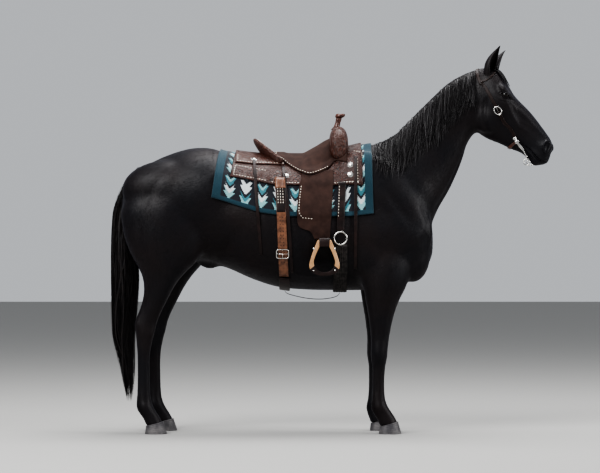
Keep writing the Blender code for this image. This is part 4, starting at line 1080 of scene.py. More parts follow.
    def relief(self, points: Array, normals: Array, mounds: Sequence[Mound],
               furrows: Sequence[Furrow], keep: Array) -> Array:
        """Works out how far each point rises for a set of mounds and furrows.

        Args:
            points: Rows of (x, z) places as seen from the side, with y as their third value.
            normals: The outward directions there.
            mounds: Soft rises and hollows.
            furrows: Creases and ridges along routes.
            keep: A weight for each point.

        Returns:
            The rise of each point along its normal.
        """
        rise = np.zeros(len(points))
        for mound in mounds:
            turn = math.radians(mound.turn)
            dx, dz = points[:, 0] - mound.x, points[:, 1] - mound.z
            long = (dx * math.cos(turn) + dz * math.sin(turn)) / mound.long
            wide = (dz * math.cos(turn) - dx * math.sin(turn)) / mound.wide
            rise += mound.height * np.exp(-(long ** 2 + wide ** 2))
        for furrow in furrows:
            route = smooth_rows(furrow.route, 6)
            near = np.full(len(points), 9.0)
            share = np.zeros(len(points))
            for k, ((ax, az), (bx, bz)) in enumerate(zip(route, route[1:])):
                run = np.array((bx - ax, bz - az))
                step = points[:, :2] - np.array((ax, az))
                t = np.clip(step @ run / (run @ run), 0.0, 1.0)
                gap = np.hypot(step[:, 0] - t * run[0], step[:, 1] - t * run[1])
                closer = gap < near
                near = np.where(closer, gap, near)
                share = np.where(closer, (k + t) / (len(route) - 1), share)
            fade = np.clip(np.minimum(share, 1.0 - share) * 6.0, 0.0, 1.0)
            rise -= furrow.depth * np.exp(-(near / furrow.width) ** 2) * fade
        return rise * keep * ease_array(np.abs(normals[:, 1]), 0.15, 0.5)

    def model_body(self, body: Piece) -> None:
        """Raises the muscles, tendons and veins of the body, and settles it under the coat.

        Args:
            body: The skin.
        """
        points = points_of(body)
        normals = normals_of(body)
        seen = points[:, [0, 2, 1]].copy()
        left = points[:, 1] > 0
        fore = left & (points[:, 0] > -0.2)
        hind = left & (points[:, 0] <= -0.2)
        slide = np.array([foreleg_shift(z) for z in points[:, 2]])
        slide_hind = np.array([hindleg_shift(z) for z in points[:, 2]])
        seen[:, 0] -= np.where(fore, slide, 0.0) + np.where(hind, slide_hind, 0.0)
        head = on_head(points, 0.74, 0.80, 1.40, 1.50)
        rise = self.relief(seen, normals, BODY_MOUNDS, BODY_FURROWS, 1.0 - head)
        ribs = np.sin((points[:, 0] + 0.22 * (points[:, 2] - 1.1)) * 125.0) * 0.0012
        rise += ribs * np.exp(-((points[:, 0] + 0.24) / 0.20) ** 2 - ((points[:, 2] - 1.08) / 0.14) ** 2)
        breast = np.exp(-(points[:, 1] / 0.014) ** 2) * ease_array(points[:, 0], 0.40, 0.50)
        above = ease_array(points[:, 2], 0.82, 0.92)
        rise -= 0.010 * breast * above * (1.0 - ease_array(points[:, 2], 1.15, 1.30))
        rise -= self.coat_depth
        set_points(body, points + normals * rise[:, None])

    def model_face(self, body: Piece) -> None:
        """Shapes the face: bones, hollows, veins, mouth, nostrils and lids.

        Args:
            body: The skin.
        """
        points = points_of(body)
        normals = normals_of(body)
        measures = HEAD_FRAME.measures(points)
        flat = measures.copy()
        flat[:, 2] = CHEEK_OUT
        seen = HEAD_FRAME.places(flat)[:, [0, 2, 1]]
        head = on_head(points, 0.76, 0.82, 1.38, 1.44)
        out = normals @ np.array(HEAD_FRAME.axes()[2])
        facing = np.stack([normals[:, 0], out, normals[:, 2]], 1)
        rise = self.relief(seen, facing, FACE_MOUNDS, FACE_FURROWS, head)
        moved = HEAD_FRAME.measures(points + normals * rise[:, None])
        for side in Side:
            moved = self.nostrils.open(moved, side)
            moved = self.eyes.open_lids(moved, side)
        near = head > 0.0
        points[near] = HEAD_FRAME.places(moved)[near]
        set_points(body, points)

    def near_features(self, reach: float) -> Callable[[Array], Array]:
        """Says which points lie close to an eye, a nostril or the mouth.

        Args:
            reach: How close counts as close.

        Returns:
            A function that marks the rows of points that are close.
        """
        spots = [HEAD_FRAME.point(self.eyes.along, self.eyes.deep, side.value * 0.10) for side in Side]
        for x, z in ((self.nostrils.x, self.nostrils.z), (1.075, 1.517), (1.120, 1.475)):
            along, deep = HEAD_FRAME.place_seen(x, z, NOSE_OUT)
            spots += [HEAD_FRAME.point(along, deep, side.value * 0.045) for side in Side]

        def inside(points: Array) -> Array:
            """Marks the points within reach of any of the spots.

            Args:
                points: The places, one row of three each.

            Returns:
                A mark for each place.
            """
            found = np.zeros(len(points), bool)
            for spot in spots:
                found |= np.linalg.norm(points - np.array(spot), axis=1) < reach
            return found

        return inside

    def build(self) -> Piece:
        """Makes the whole skin.

        Returns:
            The skin.
        """
        body = self.fused()
        self.model_body(body)
        self.refine(body, lambda p: (p[:, 0] > 0.80) & (p[:, 2] > 1.40), 1)
        self.add_ears(body)
        self.refine(body, self.near_features(0.050), 1)
        self.refine(body, self.near_features(0.036), 1)
        self.model_face(body)
        body.data.shade_smooth()
        return body


# ---------------------------------------------------------------- finishes
def feed(tree: Tree, made: bpy.types.Node, inputs: dict[str | int, object]) -> None:
    """Fills a node's inputs, each with a value or with a link from a socket.

    Args:
        tree: The tree that holds the node.
        made: The node.
        inputs: What each input takes, by its name or number. A colour is three numbers.
    """
    for key, value in inputs.items():
        socket = made.inputs[key]
        if isinstance(value, Socket):
            tree.links.new(value, socket)
        else:
            socket.default_value = (*value, 1.0) if socket.type == "RGBA" else value


def add_node(tree: Tree, kind: str, inputs: dict[str | int, object] | None = None,
             **settings: object) -> bpy.types.Node:
    """Adds a node to a tree.

    Args:
        tree: The tree.
        kind: The kind of node.
        inputs: What its inputs take, as for feed.
        settings: The node's own settings.

    Returns:
        The node.
    """
    made = tree.nodes.new(kind)
    for name, value in settings.items():
        setattr(made, name, value)
    feed(tree, made, inputs or {})
    return made


def arithmetic(tree: Tree, kind: str, *values: object) -> Socket:
    """Adds one step of arithmetic on numbers and sockets."""
    return add_node(tree, "ShaderNodeMath", dict(enumerate(values)), operation=kind).outputs[0]


def colour_ramp(tree: Tree, factor: Socket, stops: Sequence[tuple[float, Colour]],
                steps: str = "LINEAR") -> Socket:
    """Colours a factor by a row of places and colours.

    Args:
        tree: The tree.
        factor: The factor, from 0 to 1.
        stops: Each place with its colour, in order.
        steps: How the ramp runs between two stops.

    Returns:
        The colour.
    """
    made = add_node(tree, "ShaderNodeValToRGB", {"Fac": factor})
    ramp = made.color_ramp
    ramp.interpolation = steps
    while len(ramp.elements) < len(stops):
        ramp.elements.new(0.5)
    for element, (place, colour) in zip(ramp.elements, stops):
        element.position = place
        element.color = (*colour, 1.0)
    return made.outputs["Color"]


def add_bump(tree: Tree, height: Socket, shader: bpy.types.Node, strength: float, depth: float) -> None:
    """Turns a height into a surface's relief."""
    bump = add_node(tree, "ShaderNodeBump", {"Strength": strength, "Distance": depth, "Height": height})
    feed(tree, shader, {"Normal": bump.outputs["Normal"]})


def blank_material(title: str) -> tuple[bpy.types.Material, Tree, bpy.types.Node]:
    """Makes a plain material, and gives its tree and its shader too.

    Args:
        title: The material's name.

    Returns:
        The material, its node tree and its shader.
    """
    made = bpy.data.materials.new(title)
    made.use_nodes = True
    return made, made.node_tree, made.node_tree.nodes["Principled BSDF"]


class Grain(Enum):
    """How the fine relief of a surface runs."""

    NONE = "none"
    NOISE = "noise"
    HAIR = "hair"
    STRAND = "strand"
    TOOLED = "tooled"
    WOOD = "wood"


@dataclass(frozen=True)
class Finish:
    """One finish of the horse or its tack."""

    name: str
    colour: Colour
    second: Colour
    patch_scale: float = 6.0
    grain: Grain = Grain.NOISE
    grain_scale: float = 400.0
    bump: float = 0.15
    depth: float = 0.001
    roughness: float = 0.5
    metallic: float = 0.0
    sheen: float = 0.0
    sheen_colour: Colour = (1.0, 1.0, 1.0)
    gloss: float = 0.0
    shine: float = 0.5
    uv: str = ""
    slot: str = ""

    def stretch(self) -> tuple[float, float, float]:
        """How far the grain is drawn out along each axis.

        Returns:
            One factor for each axis.
        """
        if self.grain is Grain.HAIR:
            return (0.16, 1.0, 0.35)
        if self.grain is Grain.STRAND:
            return (1.0, 0.02, 1.0)
        if self.grain is Grain.WOOD:
            return (1.0, 1.0, 0.08)
        return (1.0, 1.0, 1.0)

    def material(self) -> bpy.types.Material:
        """Builds the material, or returns the one that was built before.

        Returns:
            The material.
        """
        title = self.name + "_finish"
        if title in bpy.data.materials:
            return bpy.data.materials[title]
        made, tree, shader = blank_material(title)
        feed(tree, shader, {
            "Roughness": self.roughness, "Metallic": self.metallic, "Specular IOR Level": self.shine,
            "Sheen Weight": self.sheen, "Sheen Tint": self.sheen_colour, "Sheen Roughness": 0.45,
            "Coat Weight": self.gloss, "Coat Roughness": 0.25})
        if self.uv:
            source = add_node(tree, "ShaderNodeUVMap", uv_map=self.uv).outputs["UV"]
        else:
            source = add_node(tree, "ShaderNodeTexCoord").outputs["Object"]
        tooled = self.grain is Grain.TOOLED
        pattern = self.carved(tree, source) if tooled else self.noise(tree, source, self.patch_scale, 4.0)
        stops = tuple(zip((0.10, 0.60) if tooled else (0.38, 0.66), (self.colour, self.second)))
        feed(tree, shader, {"Base Color": colour_ramp(tree, pattern, stops)})
        if tooled:
            add_bump(tree, pattern, shader, self.bump, self.depth)
        elif self.grain is not Grain.NONE:
            drawn = add_node(tree, "ShaderNodeMapping", {"Scale": self.stretch(), "Vector": source})
            relief = self.noise(tree, drawn.outputs["Vector"], self.grain_scale, 3.0)
            add_bump(tree, relief, shader, self.bump, self.depth)
        return made

    def noise(self, tree: Tree, source: Socket, scale: float, detail: float) -> Socket:
        """Adds soft noise."""
        found = add_node(tree, "ShaderNodeTexNoise", {"Scale": scale, "Detail": detail, "Vector": source})
        return found.outputs["Fac"]

    def carved(self, tree: Tree, source: Socket) -> Socket:
        """Draws carved flowers: rings round scattered centres, bent into petals and scrolls.

        Args:
            tree: The material's node tree.
            source: The coordinates that the carving follows.

        Returns:
            The height of the carving, from 0 to 1.
        """
        noise = add_node(tree, "ShaderNodeTexNoise", {"Scale": 2.2 * self.patch_scale, "Vector": source})
        sway = (0.35 / self.patch_scale,) * 3
        bend = add_node(tree, "ShaderNodeVectorMath", {0: noise.outputs["Color"], 1: sway, 2: source},
                        operation="MULTIPLY_ADD")
        cells = add_node(tree, "ShaderNodeTexVoronoi", {
            "Scale": self.patch_scale, "Vector": bend.outputs["Vector"]})
        rings = arithmetic(tree, "MULTIPLY", cells.outputs["Distance"], self.grain_scale)
        return arithmetic(tree, "MULTIPLY_ADD", arithmetic(tree, "SINE", rings), 0.5, 0.5)


COAT = Finish(
    "coat", (0.0042, 0.0036, 0.0056), (0.0105, 0.0062, 0.0064), 3.2, Grain.HAIR, 520.0, 0.35, 0.0012, 0.50,
    sheen=0.05, sheen_colour=(0.60, 0.60, 0.85), shine=0.28)
COAT_TUFTS = Finish(
    "coat_tufts", (0.0046, 0.0040, 0.0062), (0.0118, 0.0070, 0.0072), 3.2, Grain.NONE, roughness=0.50,
    sheen=0.05, sheen_colour=(0.60, 0.60, 0.85), shine=0.28, slot="coat")
MANE_HAIR = Finish(
    "mane_hair", (0.0035, 0.0030, 0.0042), (0.0110, 0.0075, 0.0085), 60.0, Grain.STRAND, 900.0, 0.5, 0.0012,
    0.46, uv="strand", shine=0.38)
TAIL_HAIR = Finish(
    "tail_hair", (0.0038, 0.0032, 0.0044), (0.0130, 0.0085, 0.0080), 60.0, Grain.STRAND, 900.0, 0.5, 0.0012,
    0.46, uv="strand", shine=0.38)
HOOF = Finish(
    "hoof_horn", (0.048, 0.045, 0.050), (0.115, 0.108, 0.108), 24.0, Grain.WOOD, 260.0, 0.35, 0.001, 0.55)
SADDLE_LEATHER = Finish(
    "saddle_leather", (0.0110, 0.0042, 0.0034), (0.056, 0.0185, 0.0125), 24.0, Grain.TOOLED, 34.0, 0.8,
    0.0016, 0.44, gloss=0.06, shine=0.35)
SUEDE = Finish(
    "suede", (0.027, 0.0130, 0.0105), (0.045, 0.0225, 0.0175), 22.0, Grain.NOISE, 700.0, 0.45, 0.001, 0.92,
    sheen=0.05, sheen_colour=(0.9, 0.7, 0.6), shine=0.3)
TOOLED = Finish(
    "tooled_leather", (0.0135, 0.0052, 0.0040), (0.080, 0.0265, 0.0165), 30.0, Grain.TOOLED, 38.0, 0.9,
    0.0018, 0.40, gloss=0.10, shine=0.4)
HORN = Finish(
    "horn_leather", (0.050, 0.0165, 0.0115), (0.105, 0.0365, 0.0235), 60.0, Grain.NOISE, 500.0, 0.3, 0.0010,
    0.36, gloss=0.2, slot="tan_leather")
TAN = Finish(
    "tan_leather", (0.100, 0.040, 0.021), (0.215, 0.092, 0.048), 45.0, Grain.NOISE, 600.0, 0.35, 0.0010,
    0.42, gloss=0.08)
DARK = Finish(
    "dark_leather", (0.0095, 0.0048, 0.0046), (0.0230, 0.0110, 0.0100), 30.0, Grain.NOISE, 500.0, 0.35,
    0.0008, 0.46, shine=0.3)
BRIDLE = Finish(
    "bridle_leather", (0.0085, 0.0048, 0.0044), (0.020, 0.0105, 0.0090), 40.0, Grain.NOISE, 500.0, 0.25,
    0.0008, 0.48, shine=0.25)
LOOP = replace(BRIDLE, name="loop_leather", slot="tan_leather")
CURB = replace(HORN, name="curb_leather", slot="bridle_leather")
SILVER = Finish(
    "silver", (0.50, 0.49, 0.47), (0.74, 0.73, 0.70), 70.0, Grain.NOISE, 420.0, 0.30, 0.0006, 0.24, 1.0)
WOOD = Finish(
    "stirrup_wood", (0.330, 0.180, 0.085), (0.470, 0.280, 0.145), 14.0, Grain.WOOD, 200.0, 0.20, 0.0006,
    0.36, gloss=0.25)
MOHAIR = Finish(
    "mohair", (0.014, 0.012, 0.012), (0.042, 0.036, 0.034), 60.0, Grain.NOISE, 900.0, 0.5, 0.0010, 0.95)
RAWHIDE = Finish(
    "rawhide", (0.66, 0.62, 0.54), (0.52, 0.47, 0.40), 60.0, Grain.NONE, roughness=0.6,
    slot="saddle_leather")


def dress(obj: Piece, finish: Finish) -> Piece:
    """Gives an object one finish.

    Args:
        obj: The object.
        finish: What it is made of.

    Returns:
        The same object.
    """
    obj.data.materials.clear()
    obj.data.materials.append(finish.material())
    finish.slot or finish.name
    return obj


# ---------------------------------------------------------------- eyes and hooves
def paint(obj: Piece, name: str, values: Array) -> None:
    """Stores one number for each vertex under a name."""
    layer = obj.data.attributes.new(name, "FLOAT", "POINT")
    layer.data.foreach_set("value", values.astype(np.float32))


@dataclass
class Eyeballs:
    """The two eyes, each a glossy ball with a dark iris and a long level pupil."""

    eyes: Eyes = field(default_factory=Eyes)
    iris: float = 0.0155
    bulge: float = 0.0009
    rows: int = 40
    count: int = 48

    def material(self) -> bpy.types.Material:
        """The eye's colours, by distance from the middle of the iris.

        Returns:
            The material.
        """
        made, tree, shader = blank_material("eye_glass")
        ring = add_node(tree, "ShaderNodeAttribute", attribute_name="iris")
        stops = ((0.0, (0.002, 0.002, 0.003)), (0.42, (0.003, 0.002, 0.002)), (0.52, (0.009, 0.005, 0.004)),
                 (0.80, (0.006, 0.004, 0.003)), (0.92, (0.004, 0.003, 0.003)), (1.0, (0.010, 0.007, 0.006)))
        feed(tree, shader, {
            "Base Color": colour_ramp(tree, ring.outputs["Fac"], stops), "Roughness": 0.05,
            "Specular IOR Level": 0.25, "Coat Weight": 0.4, "Coat Roughness": 0.03})
        return made

    def build(self, side: Side) -> Piece:
        """Makes one eye.

        Args:
            side: The side it looks to.

        Returns:
            The eyeball.
        """
        local, ring = [], []
        for i in range(1, self.rows):
            polar = math.pi * i / self.rows
            for k in range(self.count):
                turn = 2.0 * math.pi * k / self.count
                x = self.eyes.radius * math.sin(polar) * math.cos(turn)
                y = self.eyes.radius * math.sin(polar) * math.sin(turn)
                z = self.eyes.radius * math.cos(polar)
                level = math.hypot(x / self.iris, y / self.iris)
                pupil = math.hypot(x / (0.66 * self.iris), y / (0.34 * self.iris))
                z += self.bulge * math.exp(-(level / 0.8) ** 4)
                local.append((x, y, z))
                ring.append(min(0.45 * pupil, 0.50) if pupil < 1.1 else min(max(level, 0.55), 1.15) / 1.15)
        for z in (self.eyes.radius + self.bulge, -self.eyes.radius):
            local.append((0.0, 0.0, z))
        ring += [0.0, 1.0]
        measures = self.eyes.head_measures(np.array(local), side)
        points = HEAD_FRAME.places(measures)
        bm = bmesh.new()
        verts = [bm.verts.new(point) for point in points]
        made = []
        for i in range(self.rows - 2):
            for k in range(self.count):
                a, b = i * self.count + k, i * self.count + (k + 1) % self.count
                made.append(bm.faces.new((verts[a], verts[b], verts[b + self.count], verts[a + self.count])))
        for start, hub in ((0, len(verts) - 2), ((self.rows - 2) * self.count, len(verts) - 1)):
            for k in range(self.count):
                made.append(bm.faces.new((verts[start + k], verts[start + (k + 1) % self.count], verts[hub])))
        bmesh.ops.recalc_face_normals(bm, faces=made)
        eye = object_from(f"eyeball_{side.label}", bm)
        paint(eye, "iris", np.array(ring))
        eye.data.materials.append(self.material())
        return eye


class HoofShape(NamedTuple):
    """A hoof's heel and toe on the ground, its half widths, its heights and the toe's rake."""

    heel: float
    toe: float
    half_top: float
    half_sole: float
    toe_height: float
    heel_height: float
    rake: float


FORE_HOOF = HoofShape(0.257, 0.381, 0.048, 0.060, 0.066, 0.038, 0.020)
HIND_HOOF = HoofShape(-1.002, -0.882, 0.046, 0.056, 0.066, 0.042, 0.022)


@dataclass
class Hooves:
    """The four hooves, with growth rings, a coronet band and a hollow sole."""

    count: int = 64
    ring_depth: float = 0.0005
    ring_turns: float = 34.0
    coronet: float = 0.955
    coronet_height: float = 0.0018
    ground_bevel: float = 0.0035
    top_bevel: float = 0.006
    sole: Route = ((0.82, 0.0), (0.74, 0.004), (0.35, 0.007))

    def build(self, name: str, spec: HoofShape, side: Side, out: float, slide: float) -> Piece:
        """Makes one hoof.

        Args:
            name: The piece's name.
            spec: The hoof's shape.
            side: Which side it stands on.
            out: How far out it stands.
            slide: How far forward of its fellow it stands.

        Returns:
            The hoof.
        """
        rings = []
        front = spec.toe - spec.rake + slide
        rear = spec.heel + slide
        slope = (spec.toe_height - spec.heel_height) / (front - rear)
        shares = [0.0, 0.015, 0.05] + spread_over(0.10, 0.93, 22) + [0.965, 1.0, 1.02]
        for share in shares:
            toe = spec.toe - spec.rake * share + slide
            heel = spec.heel + 0.006 * share + slide
            half = spec.half_sole + (spec.half_top - spec.half_sole) * share
            grow = self.ring_depth * math.sin(share * self.ring_turns) if 0.05 < share < 0.93 else 0.0
            grow += self.coronet_height * math.exp(-((share - self.coronet) / 0.03) ** 2)
            if share == 0.0:
                grow = -self.ground_bevel
            if share > 1.0:
                grow = -self.top_bevel
            centre = Vector((0.5 * (toe + heel), side.value * out, 0.0))
            reach = 0.5 * (toe - heel) + grow
            ring = egg(centre, FORWARD, LEFT, reach, reach, half + grow, 2.0, 2.7, self.count)
            for point in ring:
                inward = 0.006 * math.exp(-((point.x - heel) / 0.012) ** 2) * math.exp(
                    -((point.y - side.value * out) / 0.010) ** 2)
                point.x += inward
                point.z = min(share, 1.02) * (spec.heel_height + slope * (point.x - rear))
            rings.append(ring)
        floor = rings[0]
        middle = sum(floor, Vector()) / len(floor)
        inner = []
        for size, lift in self.sole:
            inner.append([middle.lerp(point, size) + UP * lift for point in floor])
        bm = bmesh.new()
        loft(bm, inner[::-1] + rings)
        hoof = object_from(name, bm)
        return dress(hoof, HOOF)


def spoke(angle: float) -> Vector:
    """A direction in the crosswise plane, turned from straight up to the left."""
    return Vector((0.0, math.sin(angle), math.cos(angle)))


@dataclass
class Drape:
    """Finds the outermost of some surfaces along rays cast inwards."""

    trees: list[BVHTree] = field(default_factory=list)

    def lay(self, *objects: Piece) -> None:
        """Adds the surfaces of finished pieces.

        Args:
            objects: The pieces.
        """
        for obj in objects:
            bm = bmesh.new()
            bm.from_mesh(obj.data)
            self.trees.append(BVHTree.FromBMesh(bm))
            bm.free()

    def reach(self, origin: Vector, way: Vector, far: float = 1.2) -> float:
        """How far out of the origin the surface lies along a unit direction.

        Args:
            origin: Where the distance counts from.
            way: The unit direction.
            far: Where the ray starts on its way back.

        Returns:
            The distance, or zero where nothing is met.
        """
        best = 0.0
        for tree in self.trees:
            hit = tree.ray_cast(origin + way * far, -way, far)
            if hit[0] is not None:
                best = max(best, far - hit[3])
        return best

    def angle_at(self, x: float, axis_z: float, side: Side, z: float) -> float:
        """The angle from straight up at which the side's surface passes a height.

        Args:
            x: How far forward.
            axis_z: The height that the angle turns about.
            side: Which side of the horse it is on.
            z: The height.

        Returns:
            The angle.
        """
        low, high = 0.0, math.pi
        origin = Vector((x, 0.0, axis_z))
        for _ in range(20):
            angle = 0.5 * (low + high)
            way = spoke(side.value * angle)
            if (origin + way * self.reach(origin, way)).z > z:
                low = angle
            else:
                high = angle
        return 0.5 * (low + high)


# ---------------------------------------------------------------- long hair
class Lock(NamedTuple):
    """The ranges of a lock's width and thickness, its number of sides and its taper."""

    widths: tuple[float, float]
    thicknesses: tuple[float, float]
    sides: int
    taper: float


HAIR = (0.0009, 0.0008, 3, 0.5)
BROW_HAIR = (0.0010, 0.0008, 3, 0.5)


@dataclass
class Strands:
    """Collects tapered locks and single hairs, and turns them into one mesh."""

    points: list[Array] = field(default_factory=list)
    faces: list[Array] = field(default_factory=list)
    places: list[Array] = field(default_factory=list)
    total: int = 0

    def add(self, path: Array, outward: Array, width: float, thick: float, sides: int,
            taper: float = 0.75, seed: float = 0.0) -> None:
        """Adds one lock along a path.

        Args:
            path: One row of three for each station, from root to tip.
            outward: The direction away from the body at each station.
            width: Half its greatest width.
            thick: Half its greatest thickness.
            sides: How many points its outline has.
            taper: Above 0, how late the lock grows thin.
            seed: Shifts its grain.
        """
        count = len(path)
        share = np.linspace(0.0, 1.0, count)
        run = np.gradient(path, axis=0)
        run /= np.linalg.norm(run, axis=1, keepdims=True)
        across = np.cross(run, outward)
        across /= np.maximum(np.linalg.norm(across, axis=1, keepdims=True), 1e-6)
        up = np.cross(across, run)
        body = np.clip(share / 0.06, 0.35, 1.0) * np.clip((1.0 - share) / taper, 0.0, 1.0) ** 0.6
        body = np.maximum(body, 0.03)
        turn = np.linspace(0.0, 2.0 * np.pi, sides, endpoint=False)
        ridge = 1.0 + (0.10 * np.cos(3.0 * turn + seed) if sides > 4 else 0.0)
        ring = (across[:, None, :] * (width * np.cos(turn) * ridge)[None, :, None]
                + up[:, None, :] * (thick * np.sin(turn) * ridge)[None, :, None])
        self.points.append((path[:, None, :] + ring * body[:, None, None]).reshape(-1, 3))
        i, k = np.meshgrid(np.arange(count - 1), np.arange(sides), indexing="ij")
        a = i * sides + k
        b = i * sides + (k + 1) % sides
        quads = np.stack([a, b, b + sides, a + sides], -1).reshape(-1, 4)
        self.faces.append(quads + self.total)
        self.total += count * sides
        along = np.concatenate([[0.0], np.cumsum(np.linalg.norm(np.diff(path, axis=0), axis=1))])
        place = np.stack(np.broadcast_arrays((turn / 6.283 * 0.03 + seed)[None, :], along[:, None]), -1)
        self.places.append(place.reshape(-1, 2))

    def grow(self, rng: np.random.Generator, path: Array, ways: Array, lock: Lock | None,
             hair: tuple[float, float, int, float] = HAIR) -> None:
        """Adds a lock of a random size, or one hair where no lock is given.

        Args:
            rng: The source of random numbers.
            path: The stations, one row each.
            ways: The outward directions there.
            lock: The lock's measures.
            hair: The hair's width, thickness, number of sides and taper.
        """
        form = hair if lock is None else (
            rng.uniform(*lock.widths), rng.uniform(*lock.thicknesses), lock.sides, lock.taper)
        self.add(path, ways, *form, rng.uniform(0, 9))

    def build(self, name: str, finish: Finish) -> Piece:
        """Makes the mesh, with a map that runs along every strand.

        Args:
            name: The piece's name.
            finish: What it is made of.

        Returns:
            The piece.
        """
        obj = object_of_arrays(name, np.concatenate(self.points), np.concatenate(self.faces))
        add_map(obj, "strand", np.concatenate(self.places))
        return dress(obj, finish)


def bent(points: Array, count: int) -> Array:
    """Resamples a rough path to evenly spaced stations, softly rounded.

    Args:
        points: The rough path, one row for each place.
        count: How many stations it gets.

    Returns:
        The stations, one row each.
    """
    steps = np.concatenate([[0.0], np.cumsum(np.linalg.norm(np.diff(points, axis=0), axis=1))])
    spots = np.linspace(0.0, steps[-1], count)
    path = np.stack([np.interp(spots, steps, points[:, k]) for k in range(3)], 1)
    for _ in range(3):
        path[1:-1] = 0.25 * path[:-2] + 0.5 * path[1:-1] + 0.25 * path[2:]
    return path


def wave(rng: np.random.Generator, share: Array, size: float) -> Array:
    """A soft random sway that grows towards the tip.

    Args:
        rng: The source of random numbers.
        share: How far along the strand each station lies, from 0 to 1.
        size: How wide the sway is.

    Returns:
        The sway at each station.
    """
    turns = rng.uniform(0.6, 1.8)
    start = rng.uniform(0.0, WAVE_TURN)
    return size * (np.sin(share * turns * WAVE_TURN + start) - math.sin(start)) * share


@dataclass
class Mane:
    """The mane, falling from the crest down the right side of the neck."""

    start: float = 0.246
    end: float = 0.780
    locks: int = 210
    hairs: int = 1500
    edge: Route = (
        (0.246, 1.415), (0.30, 1.375), (0.40, 1.390), (0.50, 1.480), (0.60, 1.565), (0.70, 1.660),
        (0.785, 1.770), (0.820, 1.800))
    axis: Route = ((0.20, 1.25), (0.50, 1.50), (0.82, 1.80))
    root_angle: float = 0.16
    lowest_angle: float = -2.5
    steps: int = 34
    foremost: float = 0.792
    seed: int = 11
    lock: Lock = Lock((0.0045, 0.0090), (0.0018, 0.0032), 8, 0.8)

    def path(self, drape: Drape, x: float, low: float, lift: float, back: float) -> Line:
        """Follows the neck's skin from the crest down to a height.

        Args:
            drape: The skin.
            x: Where the root stands along the crest.
            low: The height of the tip.
            lift: How far the lock lies off the skin.
            back: How far the tip drifts backwards.

        Returns:
            The places and the outward directions.
        """
        height = between(self.axis, x)
        spots, ways = [], []
        for angle in spread_over(self.root_angle, self.lowest_angle, self.steps):
            way = spoke(angle)
            share = max(0.0, (self.root_angle - angle) / 2.4)
            origin = Vector((min(x - back * share ** 1.3, self.foremost), 0.0, height))
            spot = origin + way * (drape.reach(origin, way) + lift * min(1.0, 0.06 + share * 3.0))
            if spot.z < low:
                break
            spots.append(np.array(spot))
            ways.append(np.array(way))
        return np.array(spots), np.array(ways)

    def build(self, drape: Drape) -> Piece:
        """Makes the whole mane.

        Args:
            drape: The surfaces that it falls over.

        Returns:
            The mane.
        """
        rng = np.random.default_rng(self.seed)
        strands = Strands()
        for k in range(self.locks + self.hairs):
            single = k >= self.locks
            x = rng.uniform(self.start, self.end)
            full = self.raggedness(x)
            low = between(self.edge, x) + rng.uniform(-0.02, 0.12) * full
            low += rng.uniform(-0.01, 0.10) if single else 0.0
            lift = rng.uniform(0.003, 0.015) if not single else rng.uniform(0.008, 0.021)
            spots, ways = self.path(drape, x, low, lift, rng.normal(0.018, 0.018))
            if len(spots) < 4:
                continue
            count = 16 if not single else 12
            path = bent(spots, count)
            ways = bent(ways, count)
            ways /= np.linalg.norm(ways, axis=1, keepdims=True)
            share = np.linspace(0.0, 1.0, count)
            path[:, 0] += wave(rng, share, 0.010)
            path += ways * (np.abs(wave(rng, share, 0.003)))[:, None]
            strands.grow(rng, path, ways, None if single else self.lock)
        return strands.build("mane_locks", MANE_HAIR)

    def raggedness(self, x: float) -> float:
        """How ragged the lower edge is at a place along the crest."""
        return 1.0 - 0.5 * ease(x, 0.60, 0.80)


@dataclass
class Forelock:
    """The hair that falls between the ears on to the forehead."""

    locks: int = 26
    hairs: int = 120
    seed: int = 23
    lock: Lock = Lock((0.004, 0.007), (0.0018, 0.003), 7, 0.85)

    def build(self, drape: Drape) -> Piece:
        """Makes the forelock.

        Args:
            drape: The surfaces that it falls over.

        Returns:
            The forelock.
        """
        rng = np.random.default_rng(self.seed)
        strands = Strands()
        axes = HEAD_FRAME.axes()
        for k in range(self.locks + self.hairs):
            single = k >= self.locks
            out = rng.normal(0.0, 0.011)
            length = rng.uniform(0.085, 0.125) if not single else rng.uniform(0.06, 0.14)
            spread = rng.normal(0.0, 0.10) + out * 3.0 - 0.12
            spots = []
            for share in spread_over(0.0, 1.0, 12):
                along = -0.026 + length * share
                origin = HEAD_FRAME.point(along, 0.12, out + spread * 0.10 * share)
                lift = 0.004 + 0.005 * math.sin(math.pi * min(share * 1.2, 1.0)) + rng.uniform(0.0, 0.003)
                spots.append(np.array(origin - axes[1] * (drape.reach(origin, -axes[1], 0.16) + lift)))
            path = bent(np.array(spots), 12)
            ways = np.tile(-np.array(axes[1]), (12, 1))
            path += np.array(axes[2]) * wave(rng, np.linspace(0, 1, 12), 0.004)[:, None]
            strands.grow(rng, path, ways, None if single else self.lock, BROW_HAIR)
        return strands.build("forelock_locks", MANE_HAIR)


TAIL = stations_of(Level,
    (1.440, -1.060, -0.990, 0.0, 0.030),
    (1.400, -1.112, -0.990, 0.0, 0.038),
    (1.330, -1.152, -1.020, 0.0, 0.048),
    (1.200, -1.187, -1.060, 0.0, 0.058),
    (1.030, -1.194, -1.060, 0.0, 0.066),
    (0.860, -1.197, -1.036, 0.0, 0.070),
    (0.700, -1.196, -1.044, 0.0, 0.066),
    (0.520, -1.186, -1.062, 0.0, 0.054),
    (0.430, -1.160, -1.064, 0.0, 0.042),
    (0.300, -1.134, -1.066, 0.0, 0.030),
    (0.165, -1.104, -1.078, 0.0, 0.010),
)


